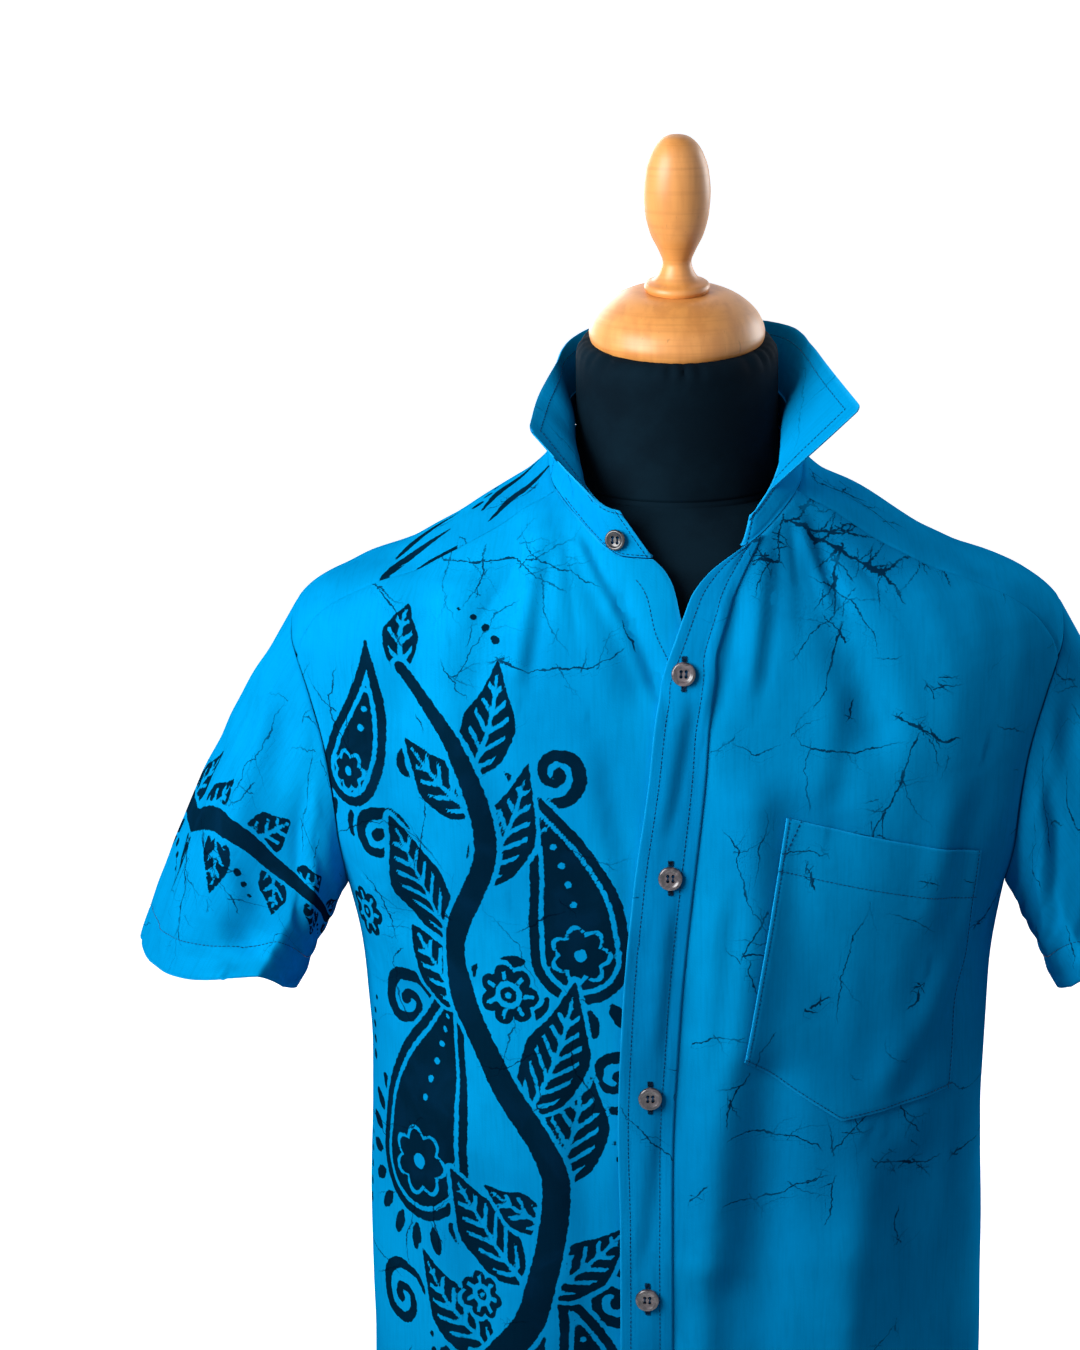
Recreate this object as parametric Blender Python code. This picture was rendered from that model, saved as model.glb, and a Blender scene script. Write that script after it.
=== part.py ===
"""A short-sleeved batik shirt on a limbless dress form.

Units are metres, +Z is up, the shirt's front faces -Y and the wearer's left is +X.
The origin is the middle of the stand's underside.  Heights in the tables are measured
from the form's neck seam, which lies NECK_SEAM above the floor.
"""
import math
from collections import namedtuple

import bmesh
import bpy
import numpy as np
from mathutils import Matrix, Vector
from mathutils.bvhtree import BVHTree

# ---------------------------------------------------------------- driving sizes
NECK_SEAM = 0.925           # floor to the form's neck seam
CLOTH = 0.0012              # wall of a cloth panel
COLLAR_CLOTH = 0.0018       # wall of the fused collar and band
SEAM_GAP = 0.0003           # between two pieces at a seam
ARMHOLE_GAP = 0.00062       # the sleeve's share of the gap at the armhole
BAND_GAP = 0.0006           # the band's edge over the neckline
LEAF_GAP = 0.00045          # the collar leaf over the band
LAYER_GAP = 0.0004          # between a panel and what lies on it
SQUARENESS = 2.3            # exponent of the body's rings, 2 is an ellipse
HEM_HEIGHT = -0.700         # shirt hem
UNDERARM_HEIGHT = -0.246
BUTTON_RADIUS = 0.0071
BUTTON_THICKNESS = 0.0028
BAND_BUTTON_RADIUS = 0.0062

# Body of the shirt, ring by ring: half width, depth in front of the axis, depth behind it.
BodyRing = namedtuple("BodyRing", "height half_width front_depth back_depth")
SHIRT_RINGS = (
    BodyRing(-0.700, 0.196, 0.130, 0.132),
    BodyRing(-0.600, 0.195, 0.129, 0.130),
    BodyRing(-0.490, 0.194, 0.127, 0.127),
    BodyRing(-0.420, 0.1935, 0.1265, 0.125),
    BodyRing(-0.348, 0.1920, 0.126, 0.126),
    BodyRing(-0.307, 0.1940, 0.1255, 0.128),
    BodyRing(-0.246, 0.2030, 0.1245, 0.131),
    BodyRing(-0.200, 0.220, 0.122, 0.131),
    BodyRing(-0.157, 0.231, 0.118, 0.129),
    BodyRing(-0.114, 0.238, 0.113, 0.124),
    BodyRing(-0.0885, 0.2395, 0.109, 0.119),
    BodyRing(-0.0715, 0.2345, 0.1055, 0.114),
    BodyRing(-0.0535, 0.2147, 0.100, 0.107),
    BodyRing(-0.0430, 0.1900, 0.096, 0.102),
    BodyRing(-0.0365, 0.1710, 0.0935, 0.098),
    BodyRing(-0.0205, 0.1415, 0.0865, 0.092),
    BodyRing(-0.0025, 0.1125, 0.0790, 0.0865),
    BodyRing(0.0096, 0.0905, 0.0760, 0.0835),
    BodyRing(0.0224, 0.0775, 0.0730, 0.080),
    BodyRing(0.0360, 0.0715, 0.0700, 0.077),
)

# The dress form, ring by ring, up to its neck seam.
FORM_RINGS = (
    BodyRing(-0.660, 0.164, 0.106, 0.112),
    BodyRing(-0.560, 0.167, 0.107, 0.114),
    BodyRing(-0.400, 0.154, 0.101, 0.103),
    BodyRing(-0.300, 0.158, 0.104, 0.106),
    BodyRing(-0.200, 0.168, 0.108, 0.114),
    BodyRing(-0.120, 0.180, 0.104, 0.113),
    BodyRing(-0.080, 0.187, 0.097, 0.106),
    BodyRing(-0.060, 0.186, 0.092, 0.100),
    BodyRing(-0.0510, 0.180, 0.088, 0.096),
    BodyRing(-0.0420, 0.1719, 0.0850, 0.092),
    BodyRing(-0.0373, 0.1644, 0.0830, 0.090),
    BodyRing(-0.0300, 0.1534, 0.0800, 0.086),
    BodyRing(-0.0221, 0.1405, 0.0765, 0.082),
    BodyRing(-0.0118, 0.1190, 0.0725, 0.077),
    BodyRing(-0.0050, 0.0920, 0.0680, 0.071),
    BodyRing(-0.0015, 0.0700, 0.0640, 0.0655),
    BodyRing(0.0000, 0.0622, 0.0622, 0.0622),
)
NECK_TOP_HEIGHT = 0.0922
NECK_LEAN = math.radians(8.0)        # the neck's top plane dips forward
NeckRow = namedtuple("NeckRow", "height radius lean_share")
NECK_ROUND = (
    NeckRow(-0.0140, 0.0608, 0.55), NeckRow(-0.0070, 0.0603, 0.80), NeckRow(-0.0030, 0.0585, 0.95),
    NeckRow(-0.0008, 0.0560, 1.00), NeckRow(0.0000, 0.0500, 1.00),
)

# Front edges, as the garment hangs: the placket's free edge and the edge under it.
FrontEdge = namedtuple("FrontEdge", "height x")
LEFT_EDGE = (
    FrontEdge(-0.700, -0.0360), FrontEdge(-0.490, -0.0335), FrontEdge(-0.426, -0.0335),
    FrontEdge(-0.365, -0.0345), FrontEdge(-0.292, -0.0321), FrontEdge(-0.215, -0.0255),
    FrontEdge(-0.1475, -0.0161), FrontEdge(-0.114, -0.0126), FrontEdge(-0.082, -0.0063),
    FrontEdge(-0.0691, -0.0017), FrontEdge(-0.0521, 0.0046), FrontEdge(-0.0427, 0.0086),
    FrontEdge(-0.0303, 0.0190), FrontEdge(-0.0180, 0.0370),
)
RIGHT_EDGE = (
    FrontEdge(-0.700, -0.0090), FrontEdge(-0.426, -0.0070), FrontEdge(-0.340, -0.0010),
    FrontEdge(-0.200, 0.0100), FrontEdge(-0.120, 0.0160), FrontEdge(-0.085, 0.0140),
    FrontEdge(-0.0574, 0.0029), FrontEdge(-0.0374, -0.0023), FrontEdge(-0.0287, -0.0075),
    FrontEdge(-0.0232, -0.0138),
)

PlacketWidth = namedtuple("PlacketWidth", "height width")
PLACKET_WIDTHS = (
    PlacketWidth(-0.700, 0.0320), PlacketWidth(-0.425, 0.0310), PlacketWidth(-0.365, 0.0325),
    PlacketWidth(-0.292, 0.0340), PlacketWidth(-0.217, 0.0345), PlacketWidth(-0.157, 0.0330),
    PlacketWidth(-0.090, 0.0300), PlacketWidth(-0.072, 0.0262), PlacketWidth(-0.052, 0.0250),
    PlacketWidth(-0.034, 0.0230), PlacketWidth(-0.018, 0.0200),
)
OVERLAP_LIFT = 0.0028       # wearer's left front over the right one
OVERLAP_EASE = (0.040, 0.080)    # x between which that lift dies away

# Neckline from a front edge to the neck point, then round the back: x gives way to an
# angle round the body there, 0 at the front and 180 at the back.
NeckPoint = namedtuple("NeckPoint", "x height")
RIGHT_NECKLINE = (
    NeckPoint(0.0138, -0.0232), NeckPoint(0.0300, -0.0224), NeckPoint(0.0410, -0.0172),
    NeckPoint(0.0503, -0.0096), NeckPoint(0.0616, 0.0012), NeckPoint(0.0715, 0.0106),
)
LEFT_NECKLINE = (
    NeckPoint(-0.0370, -0.0180), NeckPoint(-0.0430, -0.0150), NeckPoint(-0.0485, -0.0110),
    NeckPoint(-0.0550, -0.0052), NeckPoint(-0.0625, 0.0020), NeckPoint(-0.0715, 0.0106),
)
BACK_NECK_HEIGHT = 0.0335
NECK_POINT_HEIGHT = 0.0224
NECK_POINT_ANGLE = math.radians(78.0)

# The armhole is an oval round the side of the body.
ARMHOLE_TOP = -0.0685
ARMHOLE_HALF_ANGLE = math.radians(27.0)
YOKE_FRONT_TURN = math.radians(45.0)      # round the armhole from its top, forwards
YOKE_BACK_TURN = math.radians(50.0)       # and backwards
YOKE_BACK_HEIGHT = -0.084                 # yoke seam at the centre back

# Hem of the sleeve, round from its outer fold by the front to the inner side and back.
HemPoint = namedtuple("HemPoint", "turn x y height")
SLEEVE_HEM = (
    HemPoint(0, 0.3400, 0.010, -0.2936), HemPoint(45, 0.3220, -0.038, -0.2925),
    HemPoint(85, 0.2920, -0.066, -0.2900), HemPoint(122, 0.2530, -0.0755, -0.2845),
    HemPoint(150, 0.2420, -0.045, -0.3030), HemPoint(180, 0.2415, 0.000, -0.3230),
    HemPoint(215, 0.2500, 0.048, -0.3380), HemPoint(270, 0.2870, 0.078, -0.3270),
    HemPoint(315, 0.3230, 0.055, -0.3060),
)
SLEEVE_BULGE = 0.007        # outer side's swell half way down
SLEEVE_BULGE_REACH = 0.4    # how far round from its outer side the swell goes
SLEEVE_BULGE_LIFT = 0.4     # share of the swell that also lifts the cloth

# Folds: where each runs on the front or the back, its depth and its half width.
FOLD_FACING = 3.0           # how sharply a fold ends where the body turns to its side
Fold = namedtuple("Fold", "side x0 height0 x1 height1 depth spread")
FOLDS = (
    Fold("front", -0.0640, -0.004, -0.0160, -0.090, 0.0055, 0.0095),
    Fold("front", -0.0960, -0.022, -0.1180, -0.090, 0.0045, 0.0100),
    Fold("front", -0.1500, -0.060, -0.1640, -0.115, 0.0035, 0.0100),
    Fold("front", 0.0430, -0.165, 0.0200, -0.440, -0.0065, 0.0120),
    Fold("front", 0.0520, -0.330, 0.0460, -0.560, 0.0060, 0.0120),
    Fold("front", 0.0820, -0.034, 0.1150, -0.120, 0.0045, 0.0110),
    Fold("front", -0.1600, -0.200, -0.1460, -0.340, 0.0055, 0.0140),
    Fold("front", -0.0900, -0.470, -0.0980, -0.690, -0.0070, 0.0200),
    Fold("front", 0.0980, -0.450, 0.1060, -0.690, -0.0070, 0.0200),
    Fold("front", 0.1480, -0.400, 0.1460, -0.600, 0.0055, 0.0150),
    Fold("back", -0.1050, -0.130, -0.1150, -0.560, 0.0080, 0.0170),
    Fold("back", -0.0330, -0.150, -0.0420, -0.690, -0.0070, 0.0180),
    Fold("back", 0.0400, -0.120, 0.0360, -0.480, 0.0070, 0.0160),
    Fold("back", 0.1150, -0.160, 0.1260, -0.690, 0.0075, 0.0180),
    Fold("back", 0.0800, -0.420, 0.0860, -0.690, -0.0070, 0.0180),
)
SLEEVE_GIRTH = 0.42         # round the hem
SLEEVE_LENGTH = 0.23
FOLD_START = 1.0 / 6.0       # share of the length over which a sleeve's folds begin
SleeveFold = namedtuple("SleeveFold", "turn0 along0 turn1 along1 depth spread")
SLEEVE_FOLDS = (
    SleeveFold(60, 0.12, 98, 0.80, 0.0065, 0.0120),
    SleeveFold(20, 0.30, 12, 0.95, 0.0035, 0.0130),
    SleeveFold(250, 0.15, 225, 0.85, 0.0070, 0.0140),
)

# The collar's band and leaf, station by station from the wearer's right end round the
# back: the band's top line, then the leaf's outer edge.
CollarStation = namedtuple("CollarStation", "along x y height")
BAND_TOP = (
    CollarStation(0.000, -0.0335, -0.0815, 0.0035), CollarStation(0.030, -0.0425, -0.0785, 0.0058),
    CollarStation(0.110, -0.0560, -0.0640, 0.0175), CollarStation(0.210, -0.0665, -0.0360, 0.0360),
    CollarStation(0.300, -0.0685, -0.0020, 0.0500), CollarStation(0.400, -0.0500, 0.0480, 0.0600),
    CollarStation(0.500, 0.0000, 0.0700, 0.0635), CollarStation(0.600, 0.0500, 0.0480, 0.0600),
    CollarStation(0.700, 0.0680, -0.0020, 0.0500), CollarStation(0.800, 0.0650, -0.0350, 0.0360),
    CollarStation(0.900, 0.0570, -0.0600, 0.0180), CollarStation(0.970, 0.0480, -0.0740, 0.0060),
    CollarStation(1.000, 0.0430, -0.0790, 0.0005),
)
LEAF_EDGE = (
    CollarStation(0.000, -0.0877, -0.0540, 0.0453), CollarStation(0.130, -0.0830, -0.0280, 0.0600),
    CollarStation(0.250, -0.0745, 0.0020, 0.0745), CollarStation(0.340, -0.0690, 0.0260, 0.0840),
    CollarStation(0.420, -0.0480, 0.0600, 0.0910), CollarStation(0.500, 0.0000, 0.0780, 0.0930),
    CollarStation(0.580, 0.0480, 0.0660, 0.0930), CollarStation(0.660, 0.0735, 0.0400, 0.0915),
    CollarStation(0.740, 0.0815, 0.0150, 0.0860), CollarStation(0.870, 0.0950, -0.0180, 0.0715),
    CollarStation(1.000, 0.1089, -0.0480, 0.0575),
)
LEAF_START = 0.035          # share of the band's length before the leaf begins
LEAF_END = 0.925

# Chest pocket on the wearer's left front, seen from the front.
PocketCorner = namedtuple("PocketCorner", "x height")
POCKET_TOP_INNER = PocketCorner(0.0625, -0.1715)
POCKET_TOP_OUTER = PocketCorner(0.1800, -0.1990)
POCKET_LOW_INNER = PocketCorner(0.0386, -0.3139)
POCKET_LOW_OUTER = PocketCorner(0.1640, -0.3540)
POCKET_POINT_DROP = 0.0260  # how far the bottom point hangs below its corners
POCKET_POINT_PLACE = 0.465
POCKET_CLEAR = 0.0016       # pocket's inside over the panel

FrontButton = namedtuple("FrontButton", "name x height")
FRONT_BUTTONS = (
    FrontButton("button_1", 0.0040, -0.0852), FrontButton("button_2", -0.0037, -0.2028),
    FrontButton("button_3", -0.0157, -0.3373), FrontButton("button_4", -0.0175, -0.4650),
    FrontButton("button_5", -0.0190, -0.5900),
)
BAND_BUTTON_ALONG = 0.036    # share of the band's length
BAND_BUTTON_UP = 0.33        # share of the band's height
BUTTON_LIFT = 0.0006         # a button's back over the cloth

# Rows of a turned piece.  A button's are shares of its thickness and of its radius.
TurnedRow = namedtuple("TurnedRow", "height radius")
BUTTON_PROFILE = (
    TurnedRow(0.000, 0.93), TurnedRow(0.350, 1.00), TurnedRow(0.750, 0.96), TurnedRow(0.950, 0.82),
    TurnedRow(0.675, 0.62),
)
# Turned beech: cap and finial on the neck.
CAP_PROFILE = (
    TurnedRow(0.0000, 0.0490), TurnedRow(0.0020, 0.0518), TurnedRow(0.0045, 0.0526),
    TurnedRow(0.0120, 0.0502), TurnedRow(0.0200, 0.0432), TurnedRow(0.0255, 0.0345),
    TurnedRow(0.0280, 0.0270), TurnedRow(0.0288, 0.0205),
)
FINIAL_PROFILE = (
    TurnedRow(0.0000, 0.0188), TurnedRow(0.0022, 0.0196), TurnedRow(0.0046, 0.0188),
    TurnedRow(0.0066, 0.0142), TurnedRow(0.0116, 0.0104), TurnedRow(0.0178, 0.0086),
    TurnedRow(0.0242, 0.0108), TurnedRow(0.0352, 0.0160), TurnedRow(0.0482, 0.0191),
    TurnedRow(0.0602, 0.0199), TurnedRow(0.0722, 0.0189), TurnedRow(0.0832, 0.0155),
    TurnedRow(0.0902, 0.0107), TurnedRow(0.0934, 0.0055), TurnedRow(0.0942, 0.0015),
)
# The stand: its foot from the floor up, and its column from the foot up.
FOOT_THICKNESS = 0.022
FOOT_PROFILE = (
    TurnedRow(0.0000, 0.1490), TurnedRow(0.0010, 0.1500), TurnedRow(0.0180, 0.1500),
    TurnedRow(0.0208, 0.1488), TurnedRow(0.0220, 0.1460),
)
COLUMN_PROFILE = (
    TurnedRow(0.0000, 0.0300), TurnedRow(0.0050, 0.0310), TurnedRow(0.0090, 0.0290),
    TurnedRow(0.0150, 0.0210), TurnedRow(0.0280, 0.0170), TurnedRow(0.1200, 0.0160),
    TurnedRow(0.2100, 0.0170), TurnedRow(0.2280, 0.0230), TurnedRow(0.2340, 0.0260),
)

# Grid of each cloth panel.
BODY_ROWS = 10              # hem to underarm
EDGE_ROWS = 7               # underarm to neck along a front edge
NECK_ROWS = 5               # along a front's neckline
FRONT_COLUMNS = 13
PLACKET_COLUMNS = 2
EDGE_ROW_EASE = 0.8         # under 1, rows crowd towards the neck
PLACKET_TOP_ROWS = 3
PLACKET_TOP_DROP = 0.0008   # the placket's top ends just under the band
PLACKET_TOP_GAP = 0.0010    # between it and the panel there
YOKE_ARM_COLUMNS = 5
BACK_COLUMNS = 18
SLEEVE_ROWS = 8
COLLAR_ROWS = 3
BAND_ROWS = 2
POCKET_CELLS = 11
TURNED_SEGMENTS = 24
FORM_SEGMENTS = 32
FOOT_SEGMENTS = 48
BUTTON_SEGMENTS = 14

# Steps over which a surface's slope is measured.
STEP_TURN = 0.004           # radians round the body
STEP_RISE = 0.0006
SLEEVE_STEP_TURN = 0.05     # radians round the armhole
SLEEVE_STEP_ALONG = 0.02    # share of the sleeve

BATIK_BLUE = (0.004, 0.245, 0.620, 1.0)
COLLAR_BLUE = (0.004, 0.300, 0.680, 1.0)
FORM_BLACK = (0.010, 0.014, 0.018, 1.0)
BEECH = (0.680, 0.340, 0.120, 1.0)
SHELL = (0.060, 0.050, 0.055, 1.0)
SHARP_ANGLE = math.radians(50.0)
CLOTH_ROUGHNESS = 0.85
BEECH_ROUGHNESS = 0.35


# ---------------------------------------------------------------- numbers
def column(table, name):
    """One named column of a table as an array."""
    return np.array([getattr(row, name) for row in table], dtype=float)


def smooth_curve(knots, values, at):
    """Cubic curve through the knots that never overshoots them."""
    knots = np.asarray(knots, dtype=float)
    values = np.asarray(values, dtype=float)
    at = np.clip(np.asarray(at, dtype=float), knots[0], knots[-1])
    steps = np.diff(knots)
    slopes = np.diff(values) / steps
    tangents = np.zeros_like(values)
    tangents[0] = slopes[0]
    tangents[-1] = slopes[-1]
    same = slopes[:-1] * slopes[1:] > 0.0
    weight_a = 2.0 * steps[1:] + steps[:-1]
    weight_b = steps[1:] + 2.0 * steps[:-1]
    safe_a = np.where(same, slopes[:-1], 1.0)
    safe_b = np.where(same, slopes[1:], 1.0)
    mean = (weight_a + weight_b) / (weight_a / safe_a + weight_b / safe_b)
    tangents[1:-1] = np.where(same, mean, 0.0)
    place = np.clip(np.searchsorted(knots, at, side="right") - 1, 0, len(steps) - 1)
    span = steps[place]
    t = (at - knots[place]) / span
    rise = t * t * (3.0 - 2.0 * t)
    start = values[place] * (1.0 - rise) + values[place + 1] * rise
    bend_a = tangents[place] * span * t * (1.0 - t) * (1.0 - t)
    bend_b = tangents[place + 1] * span * t * t * (1.0 - t)
    return start + bend_a - bend_b


def unit(vectors):
    """Vectors of length one."""
    length = np.linalg.norm(vectors, axis=-1, keepdims=True)
    return vectors / np.maximum(length, 1e-12)


# ---------------------------------------------------------------- body of the shirt
def ring_sizes(table, height):
    """Half width, front depth and back depth of the ring at a height."""
    knots = column(table, "height")
    names = ("half_width", "front_depth", "back_depth")
    return [smooth_curve(knots, column(table, name), height) for name in names]


def ring_point(table, angle, height):
    """Point of a body ring, angle 0 at the front and positive to the wearer's left."""
    half_width, front, back = ring_sizes(table, height)
    power = 2.0 / SQUARENESS
    sine = np.sin(angle)
    cosine = np.cos(angle)
    depth = np.where(cosine >= 0.0, front, back)
    x = half_width * np.sign(sine) * np.abs(sine) ** power
    y = -depth * np.sign(cosine) * np.abs(cosine) ** power
    return np.stack([x, y, height + 0.0 * x], axis=-1)


def angle_at(x, height):
    """Angle of the front's point that lies at x."""
    half_width = ring_sizes(SHIRT_RINGS, height)[0]
    share = np.clip(np.abs(x) / half_width, 0.0, 1.0)
    return np.sign(x) * np.arcsin(share ** (SQUARENESS / 2.0))


def grid_normals(surface, angle, height):
    """Outward normals of a surface given by angle and height."""
    across = surface(angle + STEP_TURN, height) - surface(angle - STEP_TURN, height)
    up = surface(angle, height + STEP_RISE) - surface(angle, height - STEP_RISE)
    return unit(np.cross(across, up))


def fold_height(angle, height):
    """How far the folds move the cloth outwards."""
    base = ring_point(SHIRT_RINGS, angle, height)
    facing = np.cos(angle)
    total = np.zeros_like(base[..., 0])
    for fold in FOLDS:
        sign = 1.0 if fold.side == "front" else -1.0
        run = np.array([fold.x1 - fold.x0, fold.height1 - fold.height0])
        rel_x = base[..., 0] - fold.x0
        rel_z = height - fold.height0
        share = np.clip((rel_x * run[0] + rel_z * run[1]) / run.dot(run), 0.0, 1.0)
        away = (rel_x - share * run[0]) ** 2 + (rel_z - share * run[1]) ** 2
        shown = np.clip(sign * facing * FOLD_FACING, 0.0, 1.0)
        total -= fold.depth * shown * np.exp(-away / (2.0 * fold.spread ** 2))
    return total


def plain_body(angle, height):
    """The shirt's body without its folds."""
    return ring_point(SHIRT_RINGS, angle, height)


def body_cloth(angle, height):
    """The shirt's body with its folds."""
    normals = grid_normals(plain_body, angle, height)
    return plain_body(angle, height) + normals * fold_height(angle, height)[..., None]


# ---------------------------------------------------------------- seams
def armhole(turn, side):
    """Angle and height on the armhole, turn 0 at its top and 90 degrees at its front."""
    middle = (ARMHOLE_TOP + UNDERARM_HEIGHT) / 2.0
    half = (ARMHOLE_TOP - UNDERARM_HEIGHT) / 2.0
    angle = side * (math.pi / 2.0 - ARMHOLE_HALF_ANGLE * np.sin(turn))
    return angle, middle + half * np.cos(turn)


def neckline(side):
    """Angle and height of the neckline's points on one side: front rows, then yoke columns."""
    table = RIGHT_NECKLINE if side < 0 else LEFT_NECKLINE
    xs = side * np.abs(column(table, "x"))
    heights = column(table, "height")
    front_angle = angle_at(xs, heights)
    back_turn = np.linspace(0.0, 1.0, YOKE_ARM_COLUMNS + BACK_COLUMNS // 2 + 1)
    reach = np.pi - abs(front_angle[-1])
    back_angle = side * (abs(front_angle[-1]) + reach * back_turn)
    knots = (abs(front_angle[-1]), NECK_POINT_ANGLE, math.radians(120.0), math.pi)
    levels = (heights[-1], NECK_POINT_HEIGHT, 0.0310, BACK_NECK_HEIGHT)
    back_height = smooth_curve(knots, levels, np.abs(back_angle))
    return front_angle, heights, back_angle, back_height


def front_edge(side):
    """Angle and height of a front's free edge from the hem to its neckline."""
    table = RIGHT_EDGE if side < 0 else LEFT_EDGE
    lower = np.linspace(HEM_HEIGHT, UNDERARM_HEIGHT, BODY_ROWS + 1)
    top = table[-1].height
    share = np.linspace(0.0, 1.0, EDGE_ROWS + 1)[1:]
    upper = UNDERARM_HEIGHT + (top - UNDERARM_HEIGHT) * share ** EDGE_ROW_EASE
    heights = np.concatenate([lower, upper])
    xs = smooth_curve(column(table, "height"), column(table, "x"), heights)
    return angle_at(xs, heights), heights


# ---------------------------------------------------------------- cloth grids
def front_grid(side):
    """Angles and heights of a front panel, a row from its free edge to its side."""
    edge_angle, edge_height = front_edge(side)
    neck_angle, neck_height, _, _ = neckline(side)
    start_angle = np.concatenate([edge_angle, neck_angle[1:]])
    start_height = np.concatenate([edge_height, neck_height[1:]])
    arm_rows = EDGE_ROWS + NECK_ROWS
    turn = np.linspace(math.pi, YOKE_FRONT_TURN, arm_rows + 1)[1:]
    arm_angle, arm_height = armhole(turn, side)
    side_height = np.linspace(HEM_HEIGHT, UNDERARM_HEIGHT, BODY_ROWS + 1)
    end_angle = np.concatenate([np.full(BODY_ROWS + 1, side * math.pi / 2.0), arm_angle])
    end_height = np.concatenate([side_height, arm_height])
    share = np.linspace(0.0, 1.0, FRONT_COLUMNS + 1)[None, :]
    angle = start_angle[:, None] * (1.0 - share) + end_angle[:, None] * share
    height = start_height[:, None] * (1.0 - share) + end_height[:, None] * share
    if side > 0:
        angle, height = with_placket_columns(angle, height, end_angle, end_height)
    return angle, height


def with_placket_columns(angle, height, end_angle, end_height):
    """Move the first columns so that the placket's two edges are columns of the panel."""
    knots = column(PLACKET_WIDTHS, "height")
    wide = smooth_curve(knots, column(PLACKET_WIDTHS, "width"), height[:, 0])
    fold_x = ring_point(SHIRT_RINGS, angle[:, 0], height[:, 0])[:, 0] + wide
    rows = BODY_ROWS + EDGE_ROWS + 1
    inner = angle_at(fold_x, height[:, 0])
    after = FRONT_COLUMNS - PLACKET_COLUMNS
    for row in range(angle.shape[0]):
        keep = 1.0 if row < rows else max(0.0, 1.0 - (row - rows + 1) / NECK_ROWS)
        mid_angle = inner[row] * keep + angle[row, PLACKET_COLUMNS] * (1.0 - keep)
        ease = (mid_angle - angle[row, 0]) / (end_angle[row] - angle[row, 0])
        mid_height = height[row, 0] + (end_height[row] - height[row, 0]) * ease
        first = np.linspace(0.0, 1.0, PLACKET_COLUMNS + 1)
        angle[row, :PLACKET_COLUMNS + 1] = angle[row, 0] + (mid_angle - angle[row, 0]) * first
        height[row, :PLACKET_COLUMNS + 1] = height[row, 0] + (mid_height - height[row, 0]) * first
        rest = np.linspace(0.0, 1.0, after + 1)
        angle[row, PLACKET_COLUMNS:] = mid_angle + (end_angle[row] - mid_angle) * rest
        height[row, PLACKET_COLUMNS:] = mid_height + (end_height[row] - mid_height) * rest
    return angle, height


def yoke_grid():
    """Angles and heights of the yoke, a row for each column from right front to left front."""
    rows_angle = []
    rows_height = []
    for side in (-1, 1):
        _, _, neck_angle, neck_height = neckline(side)
        turn = np.linspace(YOKE_FRONT_TURN, -YOKE_BACK_TURN, YOKE_ARM_COLUMNS + 1)
        arm_angle, arm_height = armhole(turn, side)
        share = np.linspace(0.0, 1.0, BACK_COLUMNS // 2 + 1)[1:]
        back_angle = arm_angle[-1] + (side * math.pi - arm_angle[-1]) * share
        back_height = arm_height[-1] + (YOKE_BACK_HEIGHT - arm_height[-1]) * share
        outer_angle = np.concatenate([arm_angle, back_angle])
        outer_height = np.concatenate([arm_height, back_height])
        across = np.linspace(0.0, 1.0, FRONT_COLUMNS + 1)[None, :]
        angle = neck_angle[:, None] * (1.0 - across) + outer_angle[:, None] * across
        height = neck_height[:, None] * (1.0 - across) + outer_height[:, None] * across
        rows_angle.append(angle)
        rows_height.append(height)
    left_angle = rows_angle[1][::-1][1:] - 2.0 * math.pi
    left_height = rows_height[1][::-1][1:]
    all_angle = np.concatenate([rows_angle[0], left_angle])
    return all_angle, np.concatenate([rows_height[0], left_height])


def back_grid():
    """Angles and heights of the back panel, a row from the right side round to the left."""
    side_height = np.linspace(HEM_HEIGHT, UNDERARM_HEIGHT, BODY_ROWS + 1)
    arm_rows = EDGE_ROWS + NECK_ROWS
    turn = np.linspace(-math.pi, -YOKE_BACK_TURN, arm_rows + 1)[1:]
    arm_angle, arm_height = armhole(turn, -1)
    start_angle = np.concatenate([np.full(BODY_ROWS + 1, -math.pi / 2.0), arm_angle])
    start_height = np.concatenate([side_height, arm_height])
    middle_height = start_height.copy()
    rise = (YOKE_BACK_HEIGHT - UNDERARM_HEIGHT) / (arm_height[-1] - UNDERARM_HEIGHT)
    upper = start_height > UNDERARM_HEIGHT
    middle_height[upper] = UNDERARM_HEIGHT + (start_height[upper] - UNDERARM_HEIGHT) * rise
    share = np.linspace(0.0, 1.0, BACK_COLUMNS // 2 + 1)[None, :]
    angle = start_angle[:, None] * (1.0 - share) - math.pi * share
    height = start_height[:, None] * (1.0 - share) + middle_height[:, None] * share
    mirror_angle = -2.0 * math.pi - angle[:, ::-1][:, 1:]
    mirror_height = height[:, ::-1][:, 1:]
    all_angle = np.concatenate([angle, mirror_angle], axis=1)
    return all_angle, np.concatenate([height, mirror_height], axis=1)


def sleeve_turns():
    """Turns of the armhole's points: front rows, yoke columns and back rows, closed."""
    arm_rows = EDGE_ROWS + NECK_ROWS
    front = np.linspace(math.pi, YOKE_FRONT_TURN, arm_rows + 1)
    yoke = np.linspace(YOKE_FRONT_TURN, -YOKE_BACK_TURN, YOKE_ARM_COLUMNS + 1)[1:]
    back = np.linspace(-YOKE_BACK_TURN, -math.pi, arm_rows + 1)[1:-1]
    return np.concatenate([front, yoke, back])


def hem_curve(turn):
    """Point of the left sleeve's hem at a turn round it."""
    knots = column(SLEEVE_HEM, "turn")
    closed = np.concatenate([knots - 360.0, knots, knots + 360.0])
    degrees = np.mod(np.degrees(turn), 360.0)
    parts = []
    for name in ("x", "y", "height"):
        values = column(SLEEVE_HEM, name)
        parts.append(smooth_curve(closed, np.tile(values, 3), degrees))
    return np.stack(parts, axis=-1)


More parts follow.
